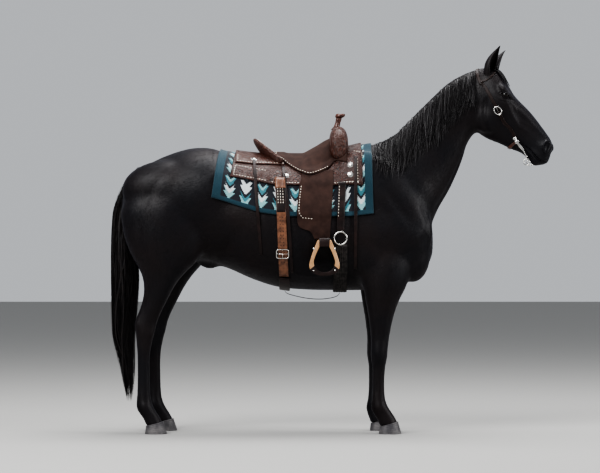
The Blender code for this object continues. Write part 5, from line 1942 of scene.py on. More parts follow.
@dataclass
class TailHair:
    """The tail: long locks that fall from the root, and loose hairs outside them."""

    locks: int = 170
    hairs: int = 1500
    seed: int = 5
    lock: Lock = Lock((0.0055, 0.0105), (0.003, 0.0055), 8, 0.7)

    def build(self) -> Piece:
        """Makes the whole tail.

        Returns:
            The tail.
        """
        rng = np.random.default_rng(self.seed)
        rows = smooth_rows(TAIL, 6)
        heights = np.array([row.z for row in rows])[::-1]
        backs = np.array([row.back for row in rows])[::-1]
        fronts = np.array([row.front for row in rows])[::-1]
        halves = np.array([row.half for row in rows])[::-1]
        strands = Strands()
        for k in range(self.locks + self.hairs):
            single = k >= self.locks
            turn = rng.uniform(0.0, 2.0 * math.pi)
            reach = rng.uniform(0.30, 0.95) ** 0.6 if not single else rng.uniform(0.55, 1.03)
            root = 1.440 - abs(rng.normal(0.0, 0.08))
            tip = 0.165 + abs(rng.normal(0.0, 0.16)) if not single else 0.175 + abs(rng.normal(0.0, 0.22))
            if k % 5 == 0:
                tip = rng.uniform(0.40, 0.85)
            tip = min(tip, 1.0)
            count = 22 if not single else 14
            levels = np.linspace(root, tip, count)
            middle = 0.5 * (np.interp(levels, heights, backs) + np.interp(levels, heights, fronts))
            deep = 0.5 * (np.interp(levels, heights, fronts) - np.interp(levels, heights, backs))
            half = np.interp(levels, heights, halves)
            share = np.linspace(0.0, 1.0, count)
            inset = 0.58 + 0.34 * ease_array(share, 0.0, 0.25)
            drift = wave(rng, share, 0.5)
            x = middle + deep * reach * inset * np.cos(turn + drift)
            y = half * reach * inset * np.sin(turn + drift) * 0.95
            path = np.stack([x, y, levels], 1)
            ways = np.tile((math.cos(turn), math.sin(turn), 0.05), (count, 1))
            path[:, 0] += wave(rng, share, 0.004)
            strands.grow(rng, path, ways, None if single else self.lock)
        return strands.build("tail_locks", TAIL_HAIR)


# ---------------------------------------------------------------- leather and cloth
BARREL_AXIS = 1.14
LAYER_GAP = 0.0012


def blurred(values: Array, rounds: int) -> Array:
    """Softens a grid of numbers, its rim included.

    Args:
        values: The grid.
        rounds: How often it is softened.

    Returns:
        The softened grid.
    """
    for _ in range(rounds):
        wide = np.pad(values, 1, mode="edge")
        values = (wide[:-2, 1:-1] + wide[2:, 1:-1] + wide[1:-1, :-2] + wide[1:-1, 2:]
                  + 2.0 * wide[1:-1, 1:-1]) / 6.0
    return values


def drawn_taut(bare: Array, rounds: int) -> Array:
    """How far out a sheet lies that bridges the hollows beneath it.

    Args:
        bare: How far out lies what is beneath, by column and row.
        rounds: How strongly hollows are bridged.

    Returns:
        How far out the sheet lies, by column and row.
    """
    held = bare
    for _ in range(rounds):
        held = np.maximum(bare, blurred(held, 2))
    return held


@dataclass
class Panel:
    """The outer face of a sheet, as a grid of places and outward directions."""

    points: Array
    normals: Array

    @classmethod
    def of(cls, points: Array, outward: Array) -> "Panel":
        """Works out the outward directions of a grid of places.

        Args:
            points: The grid of places.
            outward: Roughly outward directions, which settle the sign.

        Returns:
            The face.
        """
        across = np.gradient(points, axis=0)
        along = np.gradient(points, axis=1)
        normals = np.cross(across, along)
        normals /= np.maximum(np.linalg.norm(normals, axis=2, keepdims=True), 1e-9)
        flip = np.sign((normals * outward).sum(axis=2, keepdims=True))
        return cls(points, normals * np.where(flip == 0, 1.0, flip))

    def measures(self) -> Line:
        """How far each place lies from the first column's edge and from the first row's edge, in metres.

        Returns:
            The two grids of distances.
        """
        across = np.linalg.norm(np.diff(self.points, axis=0), axis=2)
        along = np.linalg.norm(np.diff(self.points, axis=1), axis=2)
        return (np.pad(np.cumsum(across, axis=0), ((1, 0), (0, 0))),
                np.pad(np.cumsum(along, axis=1), ((0, 0), (1, 0))))

    def spot(self, across: float, along: float, proud: float = 0.0) -> Line:
        """Finds a place on the face.

        Args:
            across: Metres from the first column's edge, or from the last one's where negative.
            along: Metres from the first row's edge, or from the last one's where negative.
            proud: How far off the face the place lies.

        Returns:
            The place and the outward direction.
        """
        u, v = self.measures()
        columns, rows = self.points.shape[:2]
        middle = rows // 2 if abs(along) > 0.15 else (0 if along >= 0 else rows - 1)
        line = u[:, middle]
        c = float(np.interp(across if across >= 0 else line[-1] + across, line, np.arange(columns)))
        k = min(int(c), columns - 2)
        line = v[k] * (1.0 - c + k) + v[k + 1] * (c - k)
        r = float(np.interp(along if along >= 0 else line[-1] + along, line, np.arange(rows)))
        m = min(int(r), rows - 2)
        a, b = c - k, r - m
        found = []
        for grid in (self.points, self.normals):
            found.append((grid[k, m] * (1 - a) + grid[k + 1, m] * a) * (1 - b)
                         + (grid[k, m + 1] * (1 - a) + grid[k + 1, m + 1] * a) * b)
        return found[0] + found[1] * proud, found[1]

    def route(self, corners: Route, step: float = 0.006) -> Line:
        """Runs a path over the face through corners given in metres.

        Args:
            corners: The path's corners, as in spot.
            step: About how far apart its places are.

        Returns:
            The places and their outward directions.
        """
        spots, ways = [], []
        for (a, b), (c, d) in zip(corners, corners[1:]):
            count = max(2, int(math.hypot(c - a, d - b) / step))
            for share in spread_over(0.0, 1.0, count)[:-1]:
                spot, way = self.spot(a + (c - a) * share, b + (d - b) * share)
                spots.append(spot)
                ways.append(way)
        return np.array(spots), np.array(ways)


def rimmed(count: int, edge: float) -> list[float]:
    """Shares from 0 to 1 with two extra ones close to each end."""
    inner = spread_over(0.0, 1.0, count)[1:-1]
    return [0.0, 0.35 * edge, edge] + inner + [1.0 - edge, 1.0 - 0.35 * edge, 1.0]


def over_width(half: float, shares: Iterable[float]) -> list[float]:
    """Steps from one edge of a strap to the other, from shares of its width."""
    return [half * (2.0 * share - 1.0) for share in shares]


def sheet_solid(name: str, rays: Sequence[Sequence[Ray]], bare: Array, thick: Array,
                rounding: float) -> tuple[Piece, Panel]:
    """Makes a closed sheet over a grid of rays, with rounded edges.

    Args:
        name: The piece's name.
        rays: The grid of places and outward directions.
        bare: How far out the inner face lies along each ray.
        thick: The thickness at each ray.
        rounding: How far from the edge the faces begin to close.

    Returns:
        The sheet and its outer face.
    """
    columns, rows = bare.shape
    origins = np.array([[ray[0] for ray in row] for row in rays], float)
    ways = np.array([[ray[1] for ray in row] for row in rays], float)
    mid = origins + ways * (bare + 0.5 * thick)[..., None]
    panel = Panel.of(mid, ways)
    u, v = panel.measures()
    near = np.minimum(np.minimum(u, u[-1:] - u), np.minimum(v, v[:, -1:] - v))
    swell = np.sqrt(1.0 - (1.0 - np.clip(near / rounding, 0.0, 1.0)) ** 2)
    half = 0.5 * thick * (0.25 + 0.75 * swell)
    lower = mid - ways * half[..., None]
    upper = mid + ways * half[..., None]
    points = np.concatenate([lower.reshape(-1, 3), upper.reshape(-1, 3)])
    i, j = np.meshgrid(np.arange(columns - 1), np.arange(rows - 1), indexing="ij")
    a = (i * rows + j).ravel()
    quads = np.stack([a, a + rows, a + rows + 1, a + 1], 1)
    shift = columns * rows
    rim = [(0, j) for j in range(rows)] + [(i, rows - 1) for i in range(1, columns)]
    rim += [(columns - 1, j) for j in range(rows - 2, -1, -1)] + [(i, 0) for i in range(columns - 2, 0, -1)]
    ring = np.array([c * rows + r for c, r in rim])
    ahead = np.roll(ring, -1)
    sides = np.stack([ring, ahead, ahead + shift, ring + shift], 1)
    faces = np.concatenate([quads[:, ::-1], quads + shift, sides])
    obj = object_of_arrays(name, points, faces)
    with reshaped(obj) as bm:
        bmesh.ops.recalc_face_normals(bm, faces=bm.faces)
    add_map(obj, "flat", np.tile(np.stack([u.ravel(), v.ravel()], 1), (2, 1)))
    return obj, Panel.of(upper, ways)


@dataclass
class Saddler:
    """Lays pieces of tack on the trunk, each over what is already there."""

    skin: Drape
    layers: Drape

    def ray(self, x: float, angle: float) -> Ray:
        """A ray from the barrel's axis, turned from straight up to the left."""
        return Vector((x, 0.0, BARREL_AXIS)), spoke(angle)

    def lay(self, name: str, rays: Sequence[Sequence[Ray]], gap: float,
            thickness: Callable[[int, int], float], rounding: float = 0.004,
            taut: int = 6) -> tuple[Piece, Panel]:
        """Lays one sheet over everything beneath it.

        Args:
            name: The piece's name.
            rays: The grid of rays that it covers.
            gap: How far above what lies beneath it hangs.
            thickness: Its thickness by column and row.
            rounding: How far in the edges are rounded.
            taut: How strongly it bridges hollows.

        Returns:
            The sheet and its outer face.
        """
        bare = np.array([[self.layers.reach(*ray) for ray in row] for row in rays])
        thick = np.array([[thickness(i, j) for j in range(len(rays[0]))] for i in range(len(rays))])
        obj, panel = sheet_solid(name, rays, drawn_taut(bare, taut) + gap, thick, rounding)
        self.layers.lay(obj)
        return obj, panel

    def over_back(self, reach: Sequence[float], top_reach: Sequence[float], edge: Sequence, columns: int,
                  rows: int) -> tuple[list[list[Ray]], list[float], list[float]]:
        """Rays of a sheet over the back, its ends slanting from the top line to the lower edge.

        Args:
            reach: The rear and front end at the lower edge.
            top_reach: The rear and front end on the top line.
            edge: The height of the lower edge, by x.
            columns: Steps along the horse.
            rows: Steps over the back.

        Returns:
            The rays, each column's share of the length, and each row's part of the way down, from -1 to
                1.
        """
        rays = []
        shares = rimmed(columns, 0.012)
        parts = [2.0 * share - 1.0 for share in rimmed(rows, 0.008)]
        for share in shares:
            low_x = reach[0] + (reach[1] - reach[0]) * share
            top_x = top_reach[0] + (top_reach[1] - top_reach[0]) * share
            ends = [self.skin.angle_at(low_x, BARREL_AXIS, side, between(edge, low_x)) for side in Side]
            rays.append([self.ray(top_x + (low_x - top_x) * abs(part) ** 1.5,
                                  part * (ends[0] if part < 0 else ends[1])) for part in parts])
        return rays, shares, parts

    def strap(self, name: str, side: Side, route: Sequence, half: float, thickness: float,
              across: int = 5, steps: int = 10, taut: int = 4) -> tuple[Piece, Panel]:
        """A strap that hangs down one side along a route of (x, z) points.

        Args:
            name: The piece's name.
            side: Which side of the horse it is on.
            route: The line that it follows.
            half: Half its width.
            thickness: How thick it is.
            across: Steps over its width.
            steps: Steps between two points of the route.
            taut: How strongly it bridges hollows.

        Returns:
            The strap and its outer face.
        """
        rays = []
        for spot in smooth_rows(route, steps):
            angle = side.value * self.skin.angle_at(spot[0], BARREL_AXIS, side, spot[1])
            rays.append([self.ray(spot[0] + shift, angle)
                         for shift in over_width(half, rimmed(across, 0.10))])
        return self.lay(name, rays, LAYER_GAP, lambda i, j: thickness, 0.45 * thickness, taut)

    def girth(self, name: str, x: float, top: float, half: float, thickness: float, gap: float,
              count: int) -> tuple[Piece, Panel]:
        """A band under the belly from one side to the other.

        Args:
            name: The piece's name.
            x: How far forward it lies.
            top: The height of its two ends.
            half: Half its width.
            thickness: How thick it is.
            gap: How far off the skin it hangs.
            count: Steps from end to end.

        Returns:
            The band and its outer face.
        """
        start, end = (self.skin.angle_at(x, BARREL_AXIS, side, top) for side in Side)
        rays = []
        for angle in spread_over(start, 2.0 * math.pi - end, count):
            rays.append([self.ray(x + shift, -angle) for shift in over_width(half, rimmed(9, 0.06))])
        return self.lay(name, rays, gap, lambda i, j: thickness, 0.4 * thickness)


# ---------------------------------------------------------------- what repeats
@dataclass
class Beads:
    """Repeats a small rounded bead along paths, by a Geometry Nodes tree."""

    length: float = 0.0092
    width: float = 0.0048
    height: float = 0.0020
    spacing: float = 0.0150

    def tree(self, finish: Finish) -> bpy.types.NodeTree:
        """Builds the node tree.

        Args:
            finish: What the beads are made of.

        Returns:
            The node tree.
        """
        tree = bpy.data.node_groups.new("beads", "GeometryNodeTree")
        face = tree.interface
        face.new_socket("Geometry", in_out="INPUT", socket_type="NodeSocketGeometry")
        for name in ("Spacing", "Length", "Width", "Height"):
            face.new_socket(name, in_out="INPUT", socket_type="NodeSocketFloat")
        face.new_socket("Geometry", in_out="OUTPUT", socket_type="NodeSocketGeometry")
        start = add_node(tree, "NodeGroupInput").outputs
        curve = add_node(tree, "GeometryNodeMeshToCurve", {"Mesh": start["Geometry"]})
        spots = add_node(tree, "GeometryNodeCurveToPoints", {
            "Curve": curve.outputs["Curve"], "Length": start["Spacing"]}, mode="LENGTH").outputs
        bead = add_node(tree, "GeometryNodeMeshUVSphere", {"Segments": 8, "Rings": 4, "Radius": 0.5})
        size = add_node(tree, "ShaderNodeCombineXYZ", {
            "X": start["Length"], "Y": start["Width"], "Z": start["Height"]})
        outward = add_node(tree, "GeometryNodeInputNamedAttribute", {"Name": "outward"},
                           data_type="FLOAT_VECTOR")
        upright = add_node(tree, "FunctionNodeAlignRotationToVector", {
            "Vector": outward.outputs["Attribute"]}, axis="Z")
        aligned = add_node(tree, "FunctionNodeAlignRotationToVector", {
            "Rotation": upright.outputs["Rotation"], "Vector": spots["Tangent"]}, axis="X", pivot_axis="Z")
        placed = add_node(tree, "GeometryNodeInstanceOnPoints", {
            "Points": spots["Points"], "Instance": bead.outputs["Mesh"],
            "Rotation": aligned.outputs["Rotation"], "Scale": size.outputs["Vector"]})
        real = add_node(tree, "GeometryNodeRealizeInstances", {"Geometry": placed.outputs["Instances"]})
        smooth = add_node(tree, "GeometryNodeSetShadeSmooth", {"Geometry": real.outputs["Geometry"]})
        cover = add_node(tree, "GeometryNodeSetMaterial", {
            "Geometry": smooth.outputs["Geometry"], "Material": finish.material()})
        add_node(tree, "NodeGroupOutput", {"Geometry": cover.outputs["Geometry"]})
        return tree

    def along(self, name: str, paths: Iterable[Line], finish: Finish) -> Piece:
        """Sets the beads along paths.

        Args:
            name: The piece's name.
            paths: Pairs of places and outward directions.
            finish: What the beads are made of.

        Returns:
            All beads as one piece.
        """
        spots, ways, edges = [], [], []
        for points, outward in paths:
            base = sum(len(part) for part in spots)
            edges += [(base + k, base + k + 1) for k in range(len(points) - 1)]
            spots.append(points)
            ways.append(outward)
        mesh = bpy.data.meshes.new(name)
        mesh.from_pydata(np.concatenate(spots).tolist(), edges, [])
        layer = mesh.attributes.new("outward", "FLOAT_VECTOR", "POINT")
        layer.data.foreach_set("vector", np.concatenate(ways).astype(np.float32).ravel())
        obj = in_scene(name, mesh)
        modifier = obj.modifiers.new("beads", "NODES")
        modifier.node_group = self.tree(finish)
        values = {"Spacing": self.spacing, "Length": self.length, "Width": self.width, "Height": self.height}
        for item in modifier.node_group.interface.items_tree:
            if item.in_out == "INPUT" and item.name in values:
                modifier[item.identifier] = values[item.name]
        return applied(obj)


def ring_rows(centre: Vector, axis_a: Vector, axis_b: Vector, radius_a: float, radius_b: float, tube: float,
              count: int = 48, sides: int = 12) -> Line:
    """The points and faces of a round wire ring, which may be oval.

    Args:
        centre: The ring's middle.
        axis_a: One unit direction in its plane.
        axis_b: The other one.
        radius_a: Its radius along the first.
        radius_b: Its radius along the second.
        tube: The radius of the wire.
        count: Steps round the ring.
        sides: Steps round the wire.

    Returns:
        The points and the faces.
    """
    out = axis_a.cross(axis_b)
    points = []
    for k in range(count):
        angle = 2 * math.pi * k / count
        way = axis_a * math.cos(angle) + axis_b * math.sin(angle)
        middle = centre + axis_a * (radius_a * math.cos(angle)) + axis_b * (radius_b * math.sin(angle))
        for m in range(sides):
            turn = 2 * math.pi * m / sides
            points.append(middle + (way * math.cos(turn) + out * math.sin(turn)) * tube)
    i, m = np.meshgrid(np.arange(count), np.arange(sides), indexing="ij")
    n, j = (m + 1) % sides, (i + 1) % count
    faces = np.stack([i * sides + m, j * sides + m, j * sides + n, i * sides + n], -1).reshape(-1, 4)
    return np.array(points, float), faces


def merged(name: str, parts: Iterable[Line], finish: Finish) -> Piece:
    """Joins several sets of points and faces into one piece.

    Args:
        name: The piece's name.
        parts: The points and the faces of each part.
        finish: What it is made of.

    Returns:
        The piece.
    """
    points, faces, total = [], [], 0
    for place, shape in parts:
        points.append(place)
        faces.append(shape + total)
        total += len(place)
    return dress(object_of_arrays(name, np.concatenate(points), np.concatenate(faces)), finish)


def turned(centre: Vector, axis: Vector, profile: Route, count: int = 32,
           scallop: float = 0.0) -> Rings:
    """Rings of a turned shape, from (radius, height) pairs along its axis.

    Args:
        centre: Where the axis starts.
        axis: Its unit direction.
        profile: The pairs.
        count: Points in a ring.
        scallop: How deep the rim is scalloped, as a share of the radius.

    Returns:
        The rings.
    """
    side = axis.orthogonal().normalized()
    other = axis.cross(side)
    rings = []
    for radius, height in profile:
        ring = []
        for k in range(count):
            angle = 2 * math.pi * k / count
            reach = radius * (1.0 + scallop * math.cos(8.0 * angle))
            ring.append(centre + axis * height + (side * math.cos(angle) + other * math.sin(angle)) * reach)
        rings.append(ring)
    return rings


CONCHO = ((0.0160, 0.0), (0.0160, 0.0012), (0.0148, 0.0022), (0.0120, 0.0018), (0.0100, 0.0034),
          (0.0060, 0.0048), (0.0020, 0.0052))


def studs(name: str, spots: Iterable[tuple[Vector, Vector]], scale: float, finish: Finish) -> Piece:
    """Sets round silver discs on a surface.

    Args:
        name: The piece's name.
        spots: Each disc's place and outward direction.
        scale: Their size, as a share of the large disc.
        finish: What they are made of.

    Returns:
        The piece.
    """
    profile = [(r * scale, h * scale) for r, h in CONCHO]
    discs = [turned(centre, axis.normalized(), profile, 24, 0.03) for centre, axis in spots]
    return dress(lofted(name, *discs), finish)


# ---------------------------------------------------------------- the blanket
@dataclass
class Blanket:
    """The saddle blanket: a teal border round dark ground with rows of arrowheads."""

    reach: tuple[float, float] = (-0.640, 0.230)
    top_reach: tuple[float, float] = (-0.597, 0.220)
    edge: Route = (
        (-0.640, 1.268), (-0.502, 1.225), (-0.376, 1.188), (-0.230, 1.169), (0.112, 1.170), (0.230, 1.184))
    thickness: float = 0.0115
    column: float = 0.088
    border: float = 0.046
    hem: float = 0.024
    columns: int = 66
    rows: int = 84

    def material(self, length: float, width: float) -> bpy.types.Material:
        """The woven pattern, drawn by arithmetic on the flat map.

        Args:
            length: The blanket's size from edge to edge over the back.
            width: Its size along the horse.

        Returns:
            The material.
        """
        made, tree, shader = blank_material("blanket_wool")
        flat = add_node(tree, "ShaderNodeUVMap", uv_map="flat").outputs["UV"]
        split = add_node(tree, "ShaderNodeSeparateXYZ", {"Vector": flat})
        calc = partial(arithmetic, tree)

        def mix(factor: object, first: object, second: object, blend: str = "MIX") -> Socket:
            """Mixes two colours, or chooses between them."""
            return add_node(tree, "ShaderNodeMix", {"Factor": factor, 6: first, 7: second}, data_type="RGBA",
                        blend_type=blend).outputs[2]

        u, v = split.outputs["X"], split.outputs["Y"]
        up = calc("MINIMUM", v, calc("SUBTRACT", length, v))
        aside = calc("MINIMUM", u, calc("SUBTRACT", width, u))
        column = calc("DIVIDE", calc("SUBTRACT", u, self.border), self.column)
        local = calc("SUBTRACT", calc("FRACT", column), 0.5)
        off = calc("ABSOLUTE", local)
        odd = calc("FRACT", calc("MULTIPLY", calc("FLOOR", column), 0.5))
        stairs = calc("DIVIDE", calc("FLOOR", calc("MULTIPLY", off, 14.0)), 14.0)
        lean = calc("ADD", calc("MULTIPLY", stairs, -0.110), up)
        stack = calc("FRACT", calc("DIVIDE", calc("ADD", lean, calc("MULTIPLY", odd, 0.11)), 0.150))
        saw = calc("FRACT", calc("DIVIDE", up, 0.030))
        half = calc("ADD", 0.20, calc("MULTIPLY", saw, 0.17))
        inside = calc("LESS_THAN", off, half)
        dark, white = (0.008, 0.010, 0.018), (0.62, 0.66, 0.67)
        aqua, sea = (0.24, 0.46, 0.48), (0.050, 0.190, 0.230)
        teal = (0.0075, 0.045, 0.067)
        arrows, steps = (colour_ramp(tree, stack, stops, "CONSTANT") for stops in (
            ((0.0, dark), (0.16, aqua), (0.36, white), (0.52, dark), (0.64, sea), (0.80, aqua), (0.90, dark)),
            ((0.0, white), (0.26, dark), (0.42, aqua), (0.58, sea), (0.72, dark), (0.86, white))))
        motif = mix(inside, dark, mix(calc("GREATER_THAN", odd, 0.25), arrows, steps))
        hemmed = mix(calc("LESS_THAN", up, self.hem), motif, teal)
        bordered = mix(calc("LESS_THAN", aside, self.border), hemmed, teal)
        weave = add_node(tree, "ShaderNodeTexNoise", {"Scale": 160.0, "Detail": 4.0, "Vector": flat})
        feed(tree, shader, {"Base Color": mix(0.45, bordered, weave.outputs["Fac"], "MULTIPLY"),
                            "Roughness": 0.95, "Sheen Weight": 0.15})
        rib = add_node(tree, "ShaderNodeTexWave", {"Scale": 110.0, "Distortion": 1.5, "Vector": flat},
                   bands_direction="Y")
        add_bump(tree, rib.outputs["Fac"], shader, 0.5, 0.0012)
        return made

    def build(self, saddler: Saddler) -> Piece:
        """Lays the blanket over the back.

        Args:
            saddler: Lays it.

        Returns:
            The blanket, with its flat size stored on it.
        """
        rng = np.random.default_rng(3)
        rays, shares, parts = saddler.over_back(self.reach, self.top_reach, self.edge, self.columns,
                                                self.rows)
        soft = blurred(rng.normal(0.0, 1.0, (len(shares), len(parts))), 6)
        soft *= 0.0006 / soft.std()
        blanket, panel = saddler.lay("blanket_cloth", rays, LAYER_GAP,
                                     lambda i, j: self.thickness + soft[i, j], 0.006, 10)
        u, v = panel.measures()
        length = float(np.mean(v[:, -1]))
        width = float(np.mean(u[-1]))
        place = blanket.data.uv_layers["flat"]
        values = gathered(place.data, "uv", 2)
        loops = corners_of(blanket)
        full_u = np.broadcast_to(u[-1:], u.shape).ravel()
        full_v = np.broadcast_to(v[:, -1:], v.shape).ravel()
        values[:, 0] *= width / np.concatenate([full_u, full_u])[loops]
        values[:, 1] *= length / np.concatenate([full_v, full_v])[loops]
        place.data.foreach_set("uv", values.ravel())
        blanket.data.materials.append(self.material(length, width))
        blanket["flat_width"], blanket["flat_length"] = round(width, 2), round(length, 2)
        return blanket


# ---------------------------------------------------------------- the saddle
@dataclass
class Saddle:
    """The saddle's leather parts."""

    saddler: Saddler
    stitches: list[Line] = field(default_factory=list)
    discs: list[tuple[Vector, Vector]] = field(default_factory=list)
    skirt_thickness: float = 0.0088
    jockey_thickness: float = 0.0060
    seat_thickness: float = 0.0088
    fender_thickness: float = 0.0068
    padded_share: float = 0.72
    horn_wraps: int = 9
    wrap_step: float = 0.0045
    wrap_start: float = 1.664

    def stitch_box(self, panel: Panel, corners: Route) -> None:
        """Stitches a route on both sides of the horse, given for its right side."""
        self.stitches.append(panel.route(corners))
        self.stitches.append(panel.route([(a, -b) for a, b in corners]))

    def set_discs(self, panel: Panel, spots: Route) -> None:
        """Sets silver discs on both sides of the horse, given for its right side.

        Args:
            panel: The face that carries them.
            spots: Their places, as in Panel.spot.
        """
        for across, along in spots:
            for sign in (1.0, -1.0):
                self.discs.append(tuple(map(Vector, panel.spot(across, sign * along))))

    def skirts(self) -> Piece:
        """The square skirts under the seat.

        Returns:
            The skirts.
        """
        rays, _, _ = self.saddler.over_back(
            (-0.540, 0.172), (-0.512, 0.165),
            ((-0.540, 1.370), (-0.409, 1.348), (-0.303, 1.327), (0.172, 1.321)), 54, 66)
        skirts, panel = self.saddler.lay("skirt_leather", rays, LAYER_GAP,
                                         lambda i, j: self.skirt_thickness, 0.004, 8)
        self.stitch_box(panel, ((0.190, 0.016), (0.018, 0.016), (0.018, 0.085), (0.190, 0.085)))
        self.stitch_box(panel, ((0.230, 0.014), (0.700, 0.014)))
        self.stitch_box(panel, ((0.604, 0.016), (0.694, 0.016), (0.694, 0.180), (0.640, 0.205)))
        self.set_discs(panel, ((0.655, 0.110), (0.655, 0.055), (0.300, 0.060)))
        return dress(skirts, SADDLE_LEATHER)

    def jockey(self) -> Piece:
        """The rear jockey behind the seat.

        Returns:
            The rear jockey.
        """
        rays, _, _ = self.saddler.over_back((-0.512, -0.250), (-0.512, -0.250),
                                            ((-0.512, 1.440), (-0.420, 1.430), (-0.250, 1.425)), 28, 50)
        jockey, panel = self.saddler.lay("jockey_leather", rays, LAYER_GAP,
                                         lambda i, j: self.jockey_thickness, 0.003, 4)
        self.stitch_box(panel, ((0.255, 0.011), (0.012, 0.011), (0.012, 0.080)))
        self.set_discs(panel, ((0.100, 0.042), (0.245, 0.040)))
        return dress(jockey, TOOLED)

    def seat(self) -> Piece:
        """The suede seat with its side flaps.

        Returns:
            The seat.
        """
        reach = (-0.300, 0.085)
        edge = ((-0.300, 1.465), (-0.238, 1.429), (-0.165, 1.385), (-0.107, 1.367), (-0.019, 1.400),
                (0.025, 1.437), (0.085, 1.437))
        top = smooth_rows(((-0.300, 1.512), (-0.261, 1.500), (-0.179, 1.503), (-0.090, 1.547),
                           (-0.020, 1.588), (0.015, 1.592), (0.050, 1.545), (0.085, 1.530)), 6)
        rays, shares, parts = self.saddler.over_back(reach, reach, smooth_rows(edge, 4), 50, 74)
        crest = [self.saddler.layers.reach(*self.saddler.ray(reach[0] + (reach[1] - reach[0]) * share, 0.0))
                 for share in shares]

        def padding(i: int, j: int) -> float:
            """The seat is thickest along the middle.

            Args:
                i: The column.
                j: The row.

            Returns:
                The thickness there.
            """
            x = reach[0] + (reach[1] - reach[0]) * shares[i]
            pad = max(between(top, x) - BARREL_AXIS - crest[i] - 0.009, 0.0)
            fullness = max(0.0, 1.0 - (abs(parts[j]) / self.padded_share) ** 2) ** 1.15
            return self.seat_thickness + pad * fullness

        seat, panel = self.saddler.lay("seat_suede", rays, LAYER_GAP, padding, 0.005, 6)
        self.stitch_box(panel, ((0.010, 0.100), (0.010, 0.014), (0.120, 0.010), (0.370, 0.010)))
        return dress(seat, SUEDE)

    def cantle(self) -> Piece:
        """The raised rim behind the seat.

        Returns:
            The cantle.
        """
        rings, line, ways = [], [], []
        for t in spread_over(-1.0, 1.0, 49):
            rise = 1.0 - abs(t) ** 2.2
            rim = Vector((-0.268 - 0.148 * rise, 0.183 * t, 1.484 + 0.110 * rise))
            foot = Vector((-0.272 - 0.083 * rise, 0.176 * t, 1.454 + 0.045 * rise))
            up = (rim - foot).normalized()
            back = up.cross(LEFT).normalized()
            reach = 0.5 * (rim - foot).length
            ring = egg(0.5 * (rim + foot), up, back, reach, reach, 0.0115 + 0.0035 * rise, 2.6, 3.0, 28)
            rings.append(ring)
            face = back * (1.0 if back.z > 0 else -1.0)
            line.append(np.array(rim - up * 0.016 + face * (0.0118 + 0.0030 * rise)))
            ways.append(np.array(face))
        self.stitches.append((np.array(line)[3:-3], np.array(ways)[3:-3]))
        return dress(lofted("cantle_leather", rings), TOOLED)

    def fork(self) -> Piece:
        """The swell at the front.

        Returns:
            The fork.
        """
        levels = smooth_rows(((-0.158, 1.505, 1.573, 0.026), (-0.145, 1.478, 1.610, 0.042),
                              (-0.105, 1.473, 1.643, 0.051), (-0.050, 1.502, 1.656, 0.050),
                              (0.0, 1.512, 1.660, 0.048)), 5)
        rows = levels + [(-y, low, high, reach) for y, low, high, reach in levels[-2::-1]]
        rings = []
        for y, low, high, reach in rows:
            half = 0.5 * (high - low)
            middle = Vector((0.043, y, 0.5 * (low + high)))
            rings.append(egg(middle, UP, FORWARD, half, half, reach, 2.3, 2.4, 40))
        for side in Side:
            spot = Vector((0.126, side.value * 0.118, 1.470))
            self.discs.append((spot, Vector((0.25, side.value, 0.45))))
        return dress(lofted("fork_leather", rings), TOOLED)

    def horn(self) -> Piece:
        """The horn: a wrapped neck under a round cap.

        Returns:
            The horn.
        """
        rings = []
        stations = [(1.642, 0.030, 0.029), (1.650, 0.0315, 0.023), (1.660, 0.034, 0.0175)]
        for k in range(self.horn_wraps):
            z = self.wrap_start + self.wrap_step * k
            waist = 0.0158 - 0.0018 * math.sin(k / (self.horn_wraps - 1) * math.pi)
            stations.append((z, 0.035 + 0.26 * (z - self.wrap_start), waist + (0.0010 if k % 2 else 0.0)))
        stations += [(1.705, 0.0455, 0.0150), (1.7085, 0.0475, 0.0200), (1.7115, 0.0490, 0.0245),
                     (1.7155, 0.0510, 0.0260), (1.7215, 0.0530, 0.0262), (1.7265, 0.0542, 0.0250),
                     (1.7290, 0.0548, 0.0215), (1.7296, 0.0550, 0.0120)]
        for z, x, radius in stations:
            rings.append(egg(Vector((x, 0.0, z)), FORWARD, LEFT, radius, radius, radius, count=40))
        return dress(lofted("horn_leather", rings), HORN)

    def fender(self, side: Side) -> Piece:
        """The broad leg flap that narrows to the stirrup leather.

        Args:
            side: Which side of the horse it is on.

        Returns:
            The fender.
        """
        rows = smooth_rows(((1.395, -0.150, 0.014), (1.300, -0.172, 0.010), (1.180, -0.182, 0.002),
                            (1.115, -0.170, -0.002), (1.088, -0.110, -0.004), (1.050, -0.090, -0.006)), 9)
        rays = []
        for z, left, right in rows:
            rays.append([self.saddler.ray(x, side.value * self.saddler.skin.angle_at(x, BARREL_AXIS, side, z))
                         for x in (left + (right - left) * share for share in rimmed(18, 0.025))])
        fender, panel = self.saddler.lay(f"fender_suede_{side.label}", rays, LAYER_GAP,
                                         lambda i, j: self.fender_thickness, 0.003, 8)
        self.stitches.append(panel.route(((0.115, 0.011), (0.262, 0.011), (0.290, 0.030), (0.296, 0.085))))
        return dress(fender, SUEDE)


